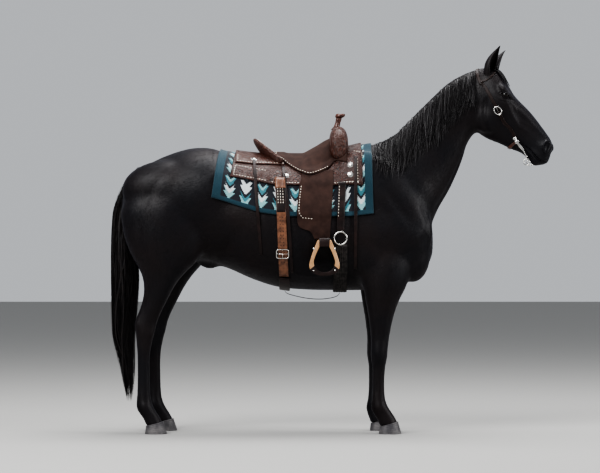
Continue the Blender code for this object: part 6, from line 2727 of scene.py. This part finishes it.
# ---------------------------------------------------------------- rigging
@dataclass
class Rigging:
    """Straps, cinches and strings, with their rings and buckles."""

    saddler: Saddler
    stitches: list[Line] = field(default_factory=list)
    holes: list[tuple[Vector, Vector]] = field(default_factory=list)
    punched: int = 14
    first_hole: float = 0.230
    hole_step: float = 0.019
    hole_rows: tuple[float, float] = (0.018, 0.033)
    cinch_half: float = 0.037
    cinch_cords: float = 8.0
    ring_radius: float = 0.034
    ring_wire: float = 0.0043
    connector_half: tuple[float, float] = (0.0019, 0.0105)
    buckle_half: tuple[float, float] = (0.0325, 0.0245)
    buckle_wire: tuple[float, float] = (0.0026, 0.0020)
    squareness: float = 0.35

    def billet(self, side: Side) -> Piece:
        """The flank billet, with two rows of holes below.

        Args:
            side: Which side of the horse it is on.

        Returns:
            The billet.
        """
        billet, panel = self.saddler.strap(
            f"billet_{side.label}", side,
            ((-0.274, 1.360), (-0.265, 1.180), (-0.258, 1.000), (-0.252, 0.850)),
            0.0255, 0.0058, 7, 14)
        # Each hole is only a spot for a small raised dark disc, not an opening: the disc's dark colour is
        # painted shade.
        for k in range(self.punched):
            for inset in self.hole_rows:
                self.holes.append(tuple(map(Vector, panel.spot(self.first_hole + self.hole_step * k, inset))))
        return dress(billet, TAN)

    def cover(self, side: Side) -> Piece:
        """The dark stitched strap over the top of the flank billet.

        Args:
            side: Which side of the horse it is on.

        Returns:
            The strap.
        """
        strap, panel = self.saddler.strap(f"billet_cover_{side.label}", side,
                                          ((-0.2735, 1.350), (-0.2660, 1.190)), 0.0235, 0.0032, 7, 14)
        for inset in (0.010, 0.0235, 0.037):
            self.stitches.append(panel.route(((0.012, inset), (0.146, inset))))
        return dress(strap, DARK)

    def latigo(self, side: Side) -> Piece:
        """The strap that carries the front cinch.

        Args:
            side: Which side of the horse it is on.

        Returns:
            The latigo.
        """
        strap, panel = self.saddler.strap(f"latigo_leather_{side.label}", side,
                                          ((0.060, 1.330), (0.054, 1.200), (0.050, 1.088)), 0.0205, 0.0095)
        self.stitches.append(panel.route(((0.030, 0.008), (0.200, 0.008))))
        return dress(strap, DARK)

    def cinch(self) -> Piece:
        """The mohair cinch: a row of cords side by side.

        Returns:
            The cinch.
        """
        rays = []
        start, end = (self.saddler.skin.angle_at(CINCH_X, BARREL_AXIS, side, CINCH_TOP) for side in Side)
        angles = spread_over(start, 2.0 * math.pi - end, 90)
        shares = spread_over(0.0, 1.0, 57)
        for angle in angles:
            rays.append([self.saddler.ray(CINCH_X + shift, -angle)
                         for shift in over_width(self.cinch_half, shares)])
        cords = [0.0085 + 0.0036 * abs(math.cos(share * self.cinch_cords * math.pi)) for share in shares]
        cinch, _ = self.saddler.lay("cinch_cords", rays, LAYER_GAP, lambda i, j: cords[j], 0.004)
        return dress(cinch, MOHAIR)

    def tie(self, kind: str, side: Side, route: Route) -> Piece:
        """A thin saddle string, made as one flat strap."""
        tie, _ = self.saddler.strap(f"string_{kind}_{side.label}", side, route, 0.0085, 0.0036, 5, 14, 10)
        return dress(tie, DARK)

    def connector(self) -> Piece:
        """The strap that ties the two cinches together under the belly.

        Returns:
            The strap.
        """
        thin, wide = self.connector_half
        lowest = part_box("cinch_connector")[0][2] + thin
        front, flank = (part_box(name)[0][2] + 0.003 for name in ("front_cinch", "flank_cinch"))
        rows = smooth_rows(((CINCH_X, front), (0.036, 0.740), (0.000, lowest + 0.006), (-0.060, lowest),
                            (-0.130, lowest + 0.005), (-0.200, 0.742), (-0.236, 0.754), (FLANK_X, flank)), 8)
        rings = [egg(Vector((x, 0.0, z)), UP, LEFT, thin, thin, wide, 3.0, 3.0, 12) for x, z in rows]
        return dress(lofted("connector_leather", rings), DARK)

    def cinch_ring(self, side: Side) -> Piece:
        """The ring between latigo and cinch.

        Args:
            side: Which side of the horse it is on.

        Returns:
            The ring.
        """
        centre = middle_of(f"cinch_ring_{side.label}")
        rows = [ring_rows(centre, FORWARD, UP, self.ring_radius, self.ring_radius, self.ring_wire)]
        return merged(f"ring_cinch_{side.label}", rows, SILVER)

    def flank_buckle(self, side: Side) -> Piece:
        """The square buckle on the flank billet, with its bar and tongue.

        Args:
            side: Which side of the horse it is on.

        Returns:
            The buckle.
        """
        centre = middle_of(f"flank_buckle_{side.label}")
        low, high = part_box(f"flank_buckle_{side.label}")
        lean = math.atan2((high[1] - low[1]) - 0.004, high[2] - low[2]) * -side.value
        slope = Vector((0.0, -math.sin(lean), math.cos(lean)))
        bm = bmesh.new()
        count, sides = 48, 10
        route = []
        for k in range(count):
            angle = 2.0 * math.pi * k / count
            x, z = (half * math.copysign(abs(part) ** self.squareness, part) for half, part in
                    zip(self.buckle_half, (math.cos(angle), math.sin(angle))))
            route.append(centre + FORWARD * x + slope * z)
        rings = []
        out = FORWARD.cross(slope)
        for k, spot in enumerate(route):
            across = (route[(k + 1) % count] - route[k - 1]).normalized().cross(out)
            rings.append([bm.verts.new(spot + across * (self.buckle_wire[0] * math.cos(turn))
                                       + out * (self.buckle_wire[1] * math.sin(turn)))
                          for turn in (2.0 * math.pi * m / sides for m in range(sides))])
        made = [bm.faces.new((ring[m], ahead[m], ahead[(m + 1) % sides], ring[(m + 1) % sides]))
                for ring, ahead in zip(rings, rings[1:] + rings[:1]) for m in range(sides)]
        bmesh.ops.recalc_face_normals(bm, faces=made)
        out = out * (1.0 if out.y * side.value > 0 else -1.0)
        loft(bm, [egg(centre + FORWARD * t, slope, out, 0.0017, 0.0017, 0.0015, count=10)
                  for t in (-0.0320, 0.0, 0.0320)])
        loft(bm, [egg(centre + slope * t + out * 0.0014, FORWARD, out, 0.0017, 0.0017, 0.0012, count=10)
                  for t in (-0.0240, -0.010, 0.0020)])
        return dress(object_from(f"buckle_flank_{side.label}", bm), SILVER)

    def keeper(self, side: Side) -> Piece:
        """The pale loop round the top of the flank billet.

        Args:
            side: Which side of the horse it is on.

        Returns:
            The loop.
        """
        keeper, _ = self.saddler.strap(f"keeper_{side.label}", side, ((-0.2735, 1.356), (-0.2710, 1.305)),
                                       0.0285, 0.0030, 5, 10, 2)
        return dress(keeper, TAN)


@dataclass
class Stirrup:
    """A bell-shaped wooden stirrup with a leather tread and bolt ends."""

    top: float = 1.046
    bottom: float = 0.853
    half: float = 0.082
    neck_half: float = 0.036
    wall: float = 0.0255
    depth: float = 0.052

    def outline(self, inset: float) -> list[tuple[float, float]]:
        """The loop seen from the side, moved inwards by a step.

        Args:
            inset: How far inwards.

        Returns:
            The corners, as pairs of x from the middle and z.
        """
        height = self.top - self.bottom
        wide = self.half - inset
        narrow = self.neck_half - 0.62 * inset
        low = self.bottom + 0.75 * inset
        high = self.top - 1.1 * inset
        belly = low + 0.30 * height
        right = []
        for share in spread_over(0.0, 1.0, 12)[1:]:
            right.append((wide - (wide - narrow) * share ** 1.3, belly + (high - belly) * share))
        lower = []
        for k in range(31):
            angle = math.pi * k / 30
            lower.append((wide * math.cos(angle), belly - (belly - low) * math.sin(angle) ** 0.8))
        return lower + [(-x, z) for x, z in right] + right[::-1]

    def band(self, name: str, inner: float, outer: float, near: float, far: float,
             keep: Callable[[float], bool], finish: Finish, bevel: float) -> Piece:
        """A band along the loop.

        Args:
            name: The piece's name.
            inner: The inset of its inner face.
            outer: The inset of its outer face.
            near: Where it starts across the foot.
            far: Where it ends across the foot.
            keep: Says for a height whether the band runs there.
            finish: What it is made of.
            bevel: How rounded its edges are.

        Returns:
            The band, standing at the middle of the stirrup's own frame.
        """
        out_line, in_line = self.outline(outer), self.outline(inner)
        kept = [keep(z) for _, z in out_line]
        bm = bmesh.new()
        rings = []
        for (x0, z0), (x1, z1) in zip(out_line, in_line):
            rings.append([bm.verts.new((x0, near, z0)), bm.verts.new((x0, far, z0)),
                          bm.verts.new((x1, far, z1)), bm.verts.new((x1, near, z1))])
        count = len(rings)
        for k in range(count):
            j = (k + 1) % count
            if kept[k] and kept[j]:
                for m in range(4):
                    n = (m + 1) % 4
                    bm.faces.new((rings[k][m], rings[k][n], rings[j][n], rings[j][m]))
            elif kept[k] or kept[j]:
                bm.faces.new(rings[k] if kept[k] else rings[j])
        bmesh.ops.delete(bm, geom=[vert for vert in bm.verts if not vert.link_faces], context="VERTS")
        bmesh.ops.recalc_face_normals(bm, faces=bm.faces)
        obj = object_from(name, bm)
        soften = obj.modifiers.new("rounded", "BEVEL")
        soften.width = bevel
        soften.segments = 3
        soften.angle_limit = math.radians(50.0)
        applied(obj)
        return dress(obj, finish)

    def build(self, side: Side) -> list[Piece]:
        """Makes one stirrup's pieces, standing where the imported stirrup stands.

        Args:
            side: Which side of the horse it is on.

        Returns:
            The pieces.
        """
        low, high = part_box(f"stirrup_{side.label}")
        near = min(abs(low[1]), abs(high[1]))
        shift = frame_shift()
        label = side.label
        pieces = [
            self.band(f"stirrup_wood_{label}", self.wall, 0.0008, 0.0008, self.depth - 0.0008, lambda z: True,
                      WOOD, 0.0045),
            self.band(f"tread_leather_{label}", self.wall + 0.0006, 0.0, 0.0, self.depth, lambda z: z < 0.893,
                      DARK, 0.0020),
        ]
        spots = []
        for x, z in ((0.0560, 0.998), (-0.0560, 0.998), (0.0570, 0.882), (-0.0570, 0.882)):
            spots.append((Vector((x * 0.72 if z > 1.0 else x, self.depth - 0.0010, z)), LEFT.copy()))
        pieces.append(studs(f"bolt_{label}", spots, 0.33, SILVER))
        wrap = []
        for z, half, grow in ((1.008, 0.0290, 0.0004), (1.012, 0.0305, 0.0012), (1.030, 0.0315, 0.0014),
                              (1.046, 0.0320, 0.0012), (1.052, 0.0315, -0.004), (1.056, 0.0290, -0.012)):
            wrap.append(egg(Vector((0.0, 0.5 * self.depth, z)), FORWARD, LEFT, half, half,
                            0.5 * self.depth + grow, 7.0, 7.0, 40))
        pieces.append(dress(lofted(f"wrap_leather_{label}", wrap), DARK))
        for piece in pieces:
            if side is Side.RIGHT:
                piece.data.transform(Matrix.Scale(-1.0, 4, LEFT))
                piece.data.flip_normals()
            piece.data.transform(Matrix.Translation((STIRRUP_MIDDLE_X, side.value * near - shift.y, 0.0)))
        return pieces


# ---------------------------------------------------------------- the bridle
@dataclass
class Bridle:
    """The headstall and the bit, its two sides alike in the head's own frame."""

    layers: Drape
    guess: float = 0.085
    seam_inset: float = 0.0022
    seam_end: float = 0.006
    thin_half: float = 0.0078
    crown_place: tuple[float, float, float] = (0.797, -0.010, 1.885)
    crown_reach: float = 1.62
    curb_reach: float = 1.33
    ring_radius: float = 0.0165
    ring_wire: float = 0.0026
    buckle_radii: tuple[float, float] = (0.0237, 0.0181)
    buckle_wire: float = 0.0034
    stitches: list[Line] = field(default_factory=list)

    def ray(self, side: Side, x: float, z: float) -> Ray:
        """A ray outwards through a place measured on the right side."""
        along, deep = HEAD_FRAME.place_seen(x, z, -self.guess)
        return HEAD_FRAME.point(along, deep, 0.0), HEAD_FRAME.axes()[2] * side.value

    def lay(self, name: str, rays: Sequence[Sequence[Ray]], thickness: float, finish: Finish) -> Piece:
        """Lays one strap over everything beneath it.

        Args:
            name: The piece's name.
            rays: The grid of rays that it covers.
            thickness: How thick it is.
            finish: What it is made of.

        Returns:
            The strap.
        """
        bare = np.array([[self.layers.reach(*ray, 0.22) for ray in row] for row in rays])
        thick = np.full(bare.shape, thickness)
        strap, panel = sheet_solid(name, rays, drawn_taut(bare, 6) + LAYER_GAP, thick, 0.5 * thickness)
        for inset in (self.seam_inset, -self.seam_inset):
            line = panel.measures()[0][:, 0][-1]
            self.stitches.append(panel.route(((self.seam_end, inset), (line - self.seam_end, inset))))
        self.layers.lay(strap)
        return dress(strap, finish)

    def strap(self, name: str, side: Side, route: Sequence, half: float, thickness: float,
              finish: Finish) -> Piece:
        """A strap down one side of the face.

        Args:
            name: The piece's name.
            side: Which side of the head it is on.
            route: The line that it follows.
            half: Half its width.
            thickness: How thick it is.
            finish: What it is made of.

        Returns:
            The strap.
        """
        spots = smooth_rows(route, 10)
        rays = []
        for k, spot in enumerate(spots):
            before, after = spots[max(k - 1, 0)], spots[min(k + 1, len(spots) - 1)]
            run = Vector((after[0] - before[0], after[1] - before[1])).normalized()
            rays.append([self.ray(side, spot[0] - run.y * shift, spot[1] + run.x * shift)
                         for shift in over_width(half, rimmed(5, 0.12))])
        return self.lay(name, rays, thickness, finish)

    def crown(self) -> Piece:
        """The strap over the poll behind the ears.

        Returns:
            The strap.
        """
        rays = []
        x, y, z = self.crown_place
        for angle in spread_over(-self.crown_reach, self.crown_reach, 60):
            lean = 0.030 * (1.0 - math.cos(angle))
            way = (UP * math.cos(angle) + HEAD_FRAME.axes()[2] * math.sin(angle)).normalized()
            rays.append([(Vector((x + lean + shift, y, z)), way)
                         for shift in over_width(self.thin_half, rimmed(5, 0.12))])
        return self.lay("crown_leather", rays, 0.0038, BRIDLE)

    def curb(self) -> Piece:
        """The strap behind the chin.

        Returns:
            The strap.
        """
        along, deep = HEAD_FRAME.place_seen(0.995, 1.575, -self.guess)
        axes = HEAD_FRAME.axes()
        rays = []
        for angle in spread_over(-self.curb_reach, self.curb_reach, 46):
            way = (axes[1] * math.cos(angle) + axes[2] * math.sin(angle)).normalized()
            rays.append([(HEAD_FRAME.point(along + shift, deep, 0.0), way)
                         for shift in over_width(self.thin_half, rimmed(5, 0.12))])
        return self.lay("curb_leather", rays, 0.0046, CURB)

    def buckle(self, side: Side) -> Piece:
        """The oval cheek buckle with its tongue.

        Args:
            side: Which side of the head it is on.

        Returns:
            The buckle.
        """
        along, deep, out = HEAD_FRAME.axes()
        centre = middle_of(f"cheek_buckle_{side.label}")
        run = (along + deep * 0.17).normalized()
        rows = ring_rows(centre, along, deep, *self.buckle_radii, self.buckle_wire)
        ring = merged(f"buckle_silver_{side.label}", [rows], SILVER)
        with reshaped(ring) as bm:
            loft(bm, [egg(centre + run * t + out * 0.0012, run.cross(out), out, 0.0012, 0.0012, 0.0012,
                          count=10) for t in spread_over(-0.0235, 0.004, 5)])
        ring.data.shade_smooth()
        return ring

    def bit(self, side: Side) -> Piece:
        """The bit's cheek: a curved shank with a rosette at the mouth.

        Args:
            side: Which side of the head it is on.

        Returns:
            The cheek of the bit.
        """
        axes = HEAD_FRAME.axes()
        centre = middle_of(f"bit_{side.label}")
        face = abs((centre - HEAD_FRAME.point(0.0, 0.0, 0.0)).dot(axes[2]))
        spots = smooth_rows(((0.984, 1.596), (1.004, 1.566), (1.030, 1.532), (1.052, 1.490)), 9)
        rings = []
        for k, spot in enumerate(spots):
            along, deep = HEAD_FRAME.place_seen(*spot, -self.guess)
            wide = (0.0105 - 0.0050 * k / 27.0) * (0.75 + 0.25 * math.cos(k / 27.0 * 12.0))
            rings.append(egg(HEAD_FRAME.point(along, deep, side.value * face), axes[1], axes[2], wide, wide,
                             0.0033, 2.4, 2.4, 20))
        along, deep = HEAD_FRAME.place_seen(1.000, 1.573, -self.guess)
        hub = HEAD_FRAME.point(along, deep, side.value * (face + 0.0022))
        rosette = turned(hub, axes[2] * side.value, [(r * 0.72, h * 0.40) for r, h in CONCHO], 32, 0.04)
        return dress(lofted(f"bit_silver_{side.label}", rings, rosette), SILVER)

    def ring(self, side: Side) -> Piece:
        """The ring that takes a rein.

        Args:
            side: Which side of the head it is on.

        Returns:
            The ring.
        """
        axes = HEAD_FRAME.axes()
        centre = middle_of(f"rein_ring_{side.label}")
        rows = ring_rows(centre, axes[0], axes[1], self.ring_radius, self.ring_radius, self.ring_wire)
        return merged(f"ring_silver_{side.label}", [rows], SILVER)


# ---------------------------------------------------------------- the coat
BAKE_MAP = "OFBake"


@dataclass
class Coat:
    """Short hair that lies flat: thin overlapping tufts all over the skin, smallest on face and feet."""

    skin: Piece
    tree: BVHTree
    count: int = 220000
    pieces: int = 4
    body_size: float = 0.0150
    face_size: float = 0.0065
    foot_size: float = 0.0085
    patch: float = 0.003
    ruffle: float = 0.09
    sway: float = 0.13
    fetlock: tuple[float, float] = (0.145, 0.035)
    seed: int = 17
    eyes: Eyes = field(default_factory=Eyes)
    nostrils: Nostrils = field(default_factory=Nostrils)

    def unwrap(self) -> None:
        """Unwraps the skin's own shape on to the baking map."""
        self.skin.data.uv_layers.new(name=BAKE_MAP)
        bpy.context.view_layer.objects.active = self.skin
        self.skin.select_set(True)
        bpy.ops.object.mode_set(mode="EDIT")
        bpy.ops.mesh.select_all(action="SELECT")
        bpy.ops.uv.smart_project(angle_limit=math.radians(66.0), island_margin=0.001)
        bpy.ops.object.mode_set(mode="OBJECT")
        self.skin.select_set(False)

    def face(self, points: Array) -> Array:
        """How far each place belongs to the head, from 0 to 1."""
        return on_head(points, 0.80, 0.90, 1.38, 1.46)

    def sizes(self, points: Array) -> Array:
        """The length of the tufts at each place.

        Args:
            points: The places, one row of three each.

        Returns:
            One length for each place.
        """
        face = self.face(points)
        foot = 1.0 - ease_array(points[:, 2], 0.15, 0.75)
        size = self.body_size * (1.0 - face) + self.face_size * face
        size = size * (1.0 - foot) + self.foot_size * foot
        ear = ease_array(points[:, 2], 1.93, 1.98)
        return size * (1.0 - 0.35 * ear)

    def flow(self, points: Array, normals: Array) -> Array:
        """The way that the hair lies at each place.

        Args:
            points: The places, one row of three each.
            normals: The outward directions there.

        Returns:
            One direction for each place.
        """
        x, z = points[:, 0], points[:, 2]
        face = self.face(points)
        cheek = ease_array(HEAD_FRAME.measures(points)[:, 1], 0.10, 0.20)
        field_ways = np.tile(np.array((-1.0, 0.0, -0.35)), (len(points), 1))
        for weight, way in ((ease_array(x, 0.25, 0.60), (-0.45, 0.0, -0.90)),
                            (1.0 - ease_array(z, 0.70, 1.00), (-0.12, 0.0, -1.0)),
                            (ease_array(-x, 0.85, 1.02), (-0.25, 0.0, -1.0)),
                            (face, HEAD_FRAME.down),
                            (face * cheek, (-0.55, 0.0, -0.80)),
                            (ease_array(z, 1.96, 2.00) * ease_array(x, 0.78, 0.84), (0.35, 0.0, 0.95))):
            field_ways = field_ways * (1.0 - weight[:, None]) + weight[:, None] * np.array(way)
        field_ways -= normals * (field_ways * normals).sum(axis=1, keepdims=True)
        return field_ways / np.maximum(np.linalg.norm(field_ways, axis=1, keepdims=True), 1e-6)

    def bare(self, points: Array) -> Array:
        """Marks the places without tufts: under the tack, in eyes and nostrils, and on the feet's edge.

        Args:
            points: The places, one row of three each.

        Returns:
            A mark for each place.
        """
        blanket = Blanket()
        xs, zs = zip(*blanket.edge)
        covered = (points[:, 0] > xs[0] + 0.02) & (points[:, 0] < xs[-1] - 0.02)
        covered &= points[:, 2] > np.interp(points[:, 0], xs, zs) + 0.02
        covered |= (np.abs(points[:, 0] - CINCH_X) < 0.034) & (points[:, 2] < 1.02) & (points[:, 2] > 0.70)
        covered |= (np.abs(points[:, 0] - FLANK_X) < 0.026) & (points[:, 2] < 0.85) & (points[:, 2] > 0.70)
        covered |= points[:, 2] < 0.050
        measures = HEAD_FRAME.measures(points)
        for side in Side:
            near = self.eyes.local(measures, side)
            covered |= (np.hypot(near[:, 0] / 0.026, near[:, 1] / 0.017) < 1.0) & (near[:, 2] > -0.02)
            along, deep = HEAD_FRAME.place_seen(self.nostrils.x, self.nostrils.z, NOSE_OUT)
            hole = np.hypot(measures[:, 0] - along, measures[:, 1] - deep) < 0.024
            covered |= hole & (measures[:, 2] * side.value > 0.005)
        return covered

    def scatter(self, rng: np.random.Generator) -> tuple[Array, Array, Array]:
        """Strews roots over the skin, closer together where the tufts are small.

        Args:
            rng: The source of chance.

        Returns:
            The roots' places, outward directions and places on the baking map.
        """
        mesh = self.skin.data
        mesh.calc_loop_triangles()
        corners, loops = (gathered(mesh.loop_triangles, name, 3, np.int32) for name in ("vertices", "loops"))
        points, normals = points_of(self.skin), normals_of(self.skin)
        places = gathered(mesh.uv_layers[BAKE_MAP].data, "uv", 2)
        a, b, c = (points[corners[:, k]] for k in range(3))
        area = 0.5 * np.linalg.norm(np.cross(b - a, c - a), axis=1)
        middle = (a + b + c) / 3.0
        weight = area / self.sizes(middle) ** 1.6
        weight[self.bare(middle)] = 0.0
        chosen = rng.choice(len(corners), self.count, p=weight / weight.sum())
        s, t = np.sqrt(rng.random(self.count)), rng.random(self.count)
        shares = np.stack([1.0 - s, s * (1.0 - t), s * t], 1)[:, :, None]
        found = [(array[index[chosen]] * shares).sum(axis=1)
                 for array, index in ((points, corners), (normals, corners), (places, loops))]
        found[1] /= np.maximum(np.linalg.norm(found[1], axis=1, keepdims=True), 1e-6)
        return found[0], found[1], found[2]

    def piece(self, name: str, roots: Array, normals: Array, places: Array,
              rng: np.random.Generator) -> Piece:
        """Makes one piece of coat from its roots.

        Args:
            name: The piece's name.
            roots: Where the tufts stand, one row each.
            normals: The outward directions there.
            places: Where the roots lie in the map.
            rng: The source of random numbers.

        Returns:
            The piece.
        """
        count = len(roots)
        size = self.sizes(roots) * rng.uniform(0.75, 1.3, count)
        ways = self.flow(roots, normals)
        across = np.cross(normals, ways)
        turn = rng.normal(0.0, self.sway, count)[:, None]
        ways = ways * np.cos(turn) + across * np.sin(turn)
        across = np.cross(normals, ways)
        level, spread = self.fetlock
        fetlock = np.exp(-((roots[:, 2] - level) / spread) ** 2) * ease_array(-normals[:, 0], 0.2, 0.8)
        lift = size * (0.022 + 0.030 * rng.random(count)) + 0.0030 * fetlock
        size *= 1.0 + 0.9 * fetlock
        half = size * rng.uniform(0.040, 0.060, count)
        stations = [roots - normals * 0.0003]
        for reach, rise in ((0.5, 0.8), (1.0, 1.0)):
            spots = roots + ways * (size * reach)[:, None]
            for k, spot in enumerate(spots):
                spots[k] = self.tree.find_nearest(spot)[0]
            stations.append(spots + normals * (lift * rise)[:, None])
        root, bend, tip = stations
        wide, narrow = across * half[:, None], across * (half * 0.8)[:, None]
        verts = np.stack([root - wide, root + wide, bend + narrow, bend - narrow, tip], 1).reshape(-1, 3)
        base = 5 * np.arange(count)[:, None]
        faces = np.concatenate([base + (0, 2, 1), base + (0, 3, 2), base + (3, 4, 2)])
        obj = object_of_arrays(name, verts, faces)
        corner = np.array(((0.0, 0.0), (1.0, 0.0), (1.0, 0.5), (0.0, 0.5), (0.5, 1.0))) - 0.5
        spots = np.clip(places[:, None, :] + corner[None] * self.patch, 0.0, 1.0).reshape(-1, 2)
        add_map(obj, BAKE_MAP, spots)
        tilted = normals + rng.normal(0.0, self.ruffle, (count, 3))
        tilted /= np.linalg.norm(tilted, axis=1, keepdims=True)
        obj.data.normals_split_custom_set_from_vertices(np.repeat(tilted, 5, axis=0).tolist())
        return dress(obj, COAT_TUFTS)

    def build(self) -> list[Piece]:
        """Makes the coat in several pieces, from the front to the rear.

        Returns:
            The pieces.
        """
        self.unwrap()
        rng = np.random.default_rng(self.seed)
        roots, normals, places = self.scatter(rng)
        order = np.array_split(np.argsort(-roots[:, 0]), self.pieces)
        return [self.piece(f"coat_{k + 1}", roots[part], normals[part], places[part], rng)
                for k, part in enumerate(order)]


# ---------------------------------------------------------------- the room
@dataclass
class Studio:
    """A plain pale floor, soft light and the camera."""

    lens: float = 165.6
    camera_place: Vector = field(default_factory=lambda: Vector((-0.166, -15.0, 1.0625)))
    floor_size: float = 60.0

    def camera(self) -> None:
        """Looks squarely at the horse's right side."""
        data = bpy.data.cameras.new("camera")
        data.lens = self.lens
        data.sensor_width = 36.0
        data.clip_end = 100.0
        camera = in_scene("camera", data)
        camera.location = self.camera_place + frame_shift()
        camera.rotation_euler = (math.radians(90.0), 0.0, 0.0)
        bpy.context.scene.camera = camera

    def floor(self) -> None:
        """Lays the plain floor."""
        half = 0.5 * self.floor_size
        corners = np.array([(-half, -half, 0.0), (half, -half, 0.0), (half, half, 0.0), (-half, half, 0.0)])
        floor = object_of_arrays("floor", corners, np.array([[0, 1, 2, 3]]))
        ground, tree, shader = blank_material("floor_paint")
        feed(tree, shader, {"Base Color": (0.34, 0.335, 0.325), "Roughness": 0.9})
        floor.data.materials.append(ground)

    def light(self, name: str, place: Sequence[float], aim: Sequence[float], size: float,
              power: float) -> None:
        """Hangs one soft square light.

        Args:
            name: The light's name.
            place: Where it hangs.
            aim: What it points at.
            size: The length of its side.
            power: Its strength in watts.
        """
        data = bpy.data.lights.new(name, "AREA")
        data.size = size
        data.energy = power
        lamp = in_scene(name, data)
        lamp.location = place
        lamp.rotation_euler = (Vector(aim) - Vector(place)).to_track_quat("-Z", "Y").to_euler()

    def build(self) -> None:
        """Sets up the whole room."""
        world = bpy.data.worlds.new("room")
        world.use_nodes = True
        sky = world.node_tree.nodes["Background"]
        feed(world.node_tree, sky, {"Color": (0.93, 0.96, 1.0), "Strength": 0.45})
        scene = bpy.context.scene
        scene.world = world
        scene.view_settings.view_transform = "AgX"
        scene.view_settings.look = "AgX - High Contrast"
        self.floor()
        self.light("key", (-4.0, -5.0, 6.0), (0.0, 0.0, 1.1), 4.2, 660.0)
        self.light("top", (0.5, 1.0, 7.0), (0.0, 0.0, 1.0), 4.0, 420.0)
        self.light("front", (7.0, -2.5, 3.5), (0.4, 0.0, 1.2), 2.5, 320.0)
        self.camera()


def settle(piece: Piece, *nodes: str) -> Piece:
    """Args:
        piece: The finished piece, in the maker's frame.
        nodes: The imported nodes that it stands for.

    Returns:
        The piece.
    """
    piece.data.transform(Matrix.Translation(frame_shift()))
    piece.data.update()
    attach(piece, "root")
    if nodes:
        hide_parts(*nodes)
    log.info("%s: %d faces", piece.name, len(piece.data.polygons))
    return piece


def saddle_up(saddler: Saddler) -> None:
    """Builds all tack on the trunk, from the skin outwards.

    Args:
        saddler: What lays leather over the horse.
    """
    cloth = Blanket().build(saddler)
    settle(cloth, "saddle_blanket")
    saddle, rigging = Saddle(saddler), Rigging(saddler)
    settle(saddle.skirts(), "saddle_skirts")
    for side in Side:
        settle(rigging.billet(side), f"flank_billet_{side.label}")
        settle(rigging.cover(side))
        settle(rigging.latigo(side), f"latigo_{side.label}")
    settle(saddle.jockey(), "rear_jockey")
    for side in Side:
        settle(saddle.fender(side), f"fender_{side.label}")
    settle(saddle.seat(), "saddle_seat")
    for made, part in ((saddle.cantle(), "saddle_cantle"), (saddle.fork(), "saddle_fork"),
                       (saddle.horn(), "saddle_horn"), (rigging.cinch(), "front_cinch")):
        settle(made, part)
    flank, _ = saddler.girth("flank_leather", FLANK_X, FLANK_TOP, 0.0285, 0.0085, 0.006, 60)
    settle(dress(flank, DARK), "flank_cinch")
    settle(rigging.connector(), "cinch_connector")
    for kind, route in (("rear", ((-0.413, 1.455), (-0.395, 1.236), (-0.374, 0.964))),
                        ("seat", ((-0.256, 1.418), (-0.232, 1.204), (-0.208, 0.868))),
                        ("front", ((0.133, 1.470), (0.132, 1.257), (0.131, 0.889)))):
        for side in Side:
            settle(rigging.tie(kind, side, route), f"tie_{kind}_{side.label}")
    for side in Side:
        wood, *rest = Stirrup().build(side)
        settle(wood, f"stirrup_{side.label}")
        for piece in rest:
            settle(piece)
    settle(Beads().along("buckstitch", saddle.stitches + rigging.stitches, RAWHIDE))
    settle(studs("conchos", saddle.discs, 1.0, SILVER))
    # The billet's holes are small dark leather discs on the strap, not openings; their dark colour is painted
    # shade.
    settle(studs("billet_holes", rigging.holes, 0.16, DARK))
    for side in Side:
        settle(rigging.cinch_ring(side), f"cinch_ring_{side.label}")
        settle(rigging.flank_buckle(side), f"flank_buckle_{side.label}")
        settle(rigging.keeper(side))


def bridle_up(layers: Drape) -> None:
    """Builds the headstall and the bit.

    Args:
        layers: The surfaces that the headstall lies on.
    """
    bridle = Bridle(layers)
    settle(bridle.crown(), "bridle_crown")
    for side in Side:
        for name, part, half, thickness, finish, route in (
                ("cheek", "cheek_strap", 0.0078, 0.0038, BRIDLE,
                 ((0.807, 1.894), (0.833, 1.868), (0.866, 1.812), (0.903, 1.742))),
                ("lower", "cheek_lower", 0.0088, 0.0038, BRIDLE,
                 ((0.905, 1.736), (0.938, 1.672), (0.966, 1.642), (0.990, 1.594))),
                ("loop", "ear_loop", 0.0045, 0.0034, LOOP,
                 ((0.808, 1.899), (0.832, 1.906), (0.862, 1.926), (0.884, 1.952)))):
            strap = bridle.strap(f"{name}_leather_{side.label}", side, route, half, thickness, finish)
            settle(strap, f"{part}_{side.label}")
        settle(bridle.buckle(side), f"cheek_buckle_{side.label}")
        settle(bridle.bit(side), f"bit_{side.label}")
        settle(bridle.ring(side), f"rein_ring_{side.label}")
    settle(bridle.curb(), "curb_strap")
    small = Beads(0.0024, 0.0011, 0.0007, 0.0044)
    settle(small.along("bridle_stitches", bridle.stitches, HORN))


def main() -> None:
    """Builds every piece in order, then the room."""
    logging.basicConfig(level=logging.INFO, format="%(message)s")
    skin = Skin().build()
    bare = Drape()
    bare.lay(skin)
    for side in Side:
        settle(Eyeballs().build(side), f"eye_{side.label}")
        for kind, spec, out, slide in (("fore", FORE_HOOF, 0.130, FORE_FOOT_SHIFT),
                                       ("hind", HIND_HOOF, 0.135, HIND_SHIFT)):
            slide = slide if side is Side.LEFT else 0.0
            hoof = Hooves().build(f"horn_{kind}_{side.label}", spec, side, out, slide)
            settle(hoof, f"hoof_{kind}_{side.label}")
    settle(Mane().build(bare), "mane")
    settle(Forelock().build(bare), "forelock")
    settle(TailHair().build(), "tail")
    saddle_up(Saddler(bare, Drape(list(bare.trees))))
    bridle_up(Drape(list(bare.trees)))
    for tufts in Coat(skin, bare.trees[0]).build():
        settle(tufts)
    settle(dress(skin, COAT), "trunk", "neck", "head",
           *(f"{kind}_{side.label}" for kind in ("ear", "foreleg", "hindleg") for side in Side))
    Studio().build()


if __name__ == "__main__":
    main()
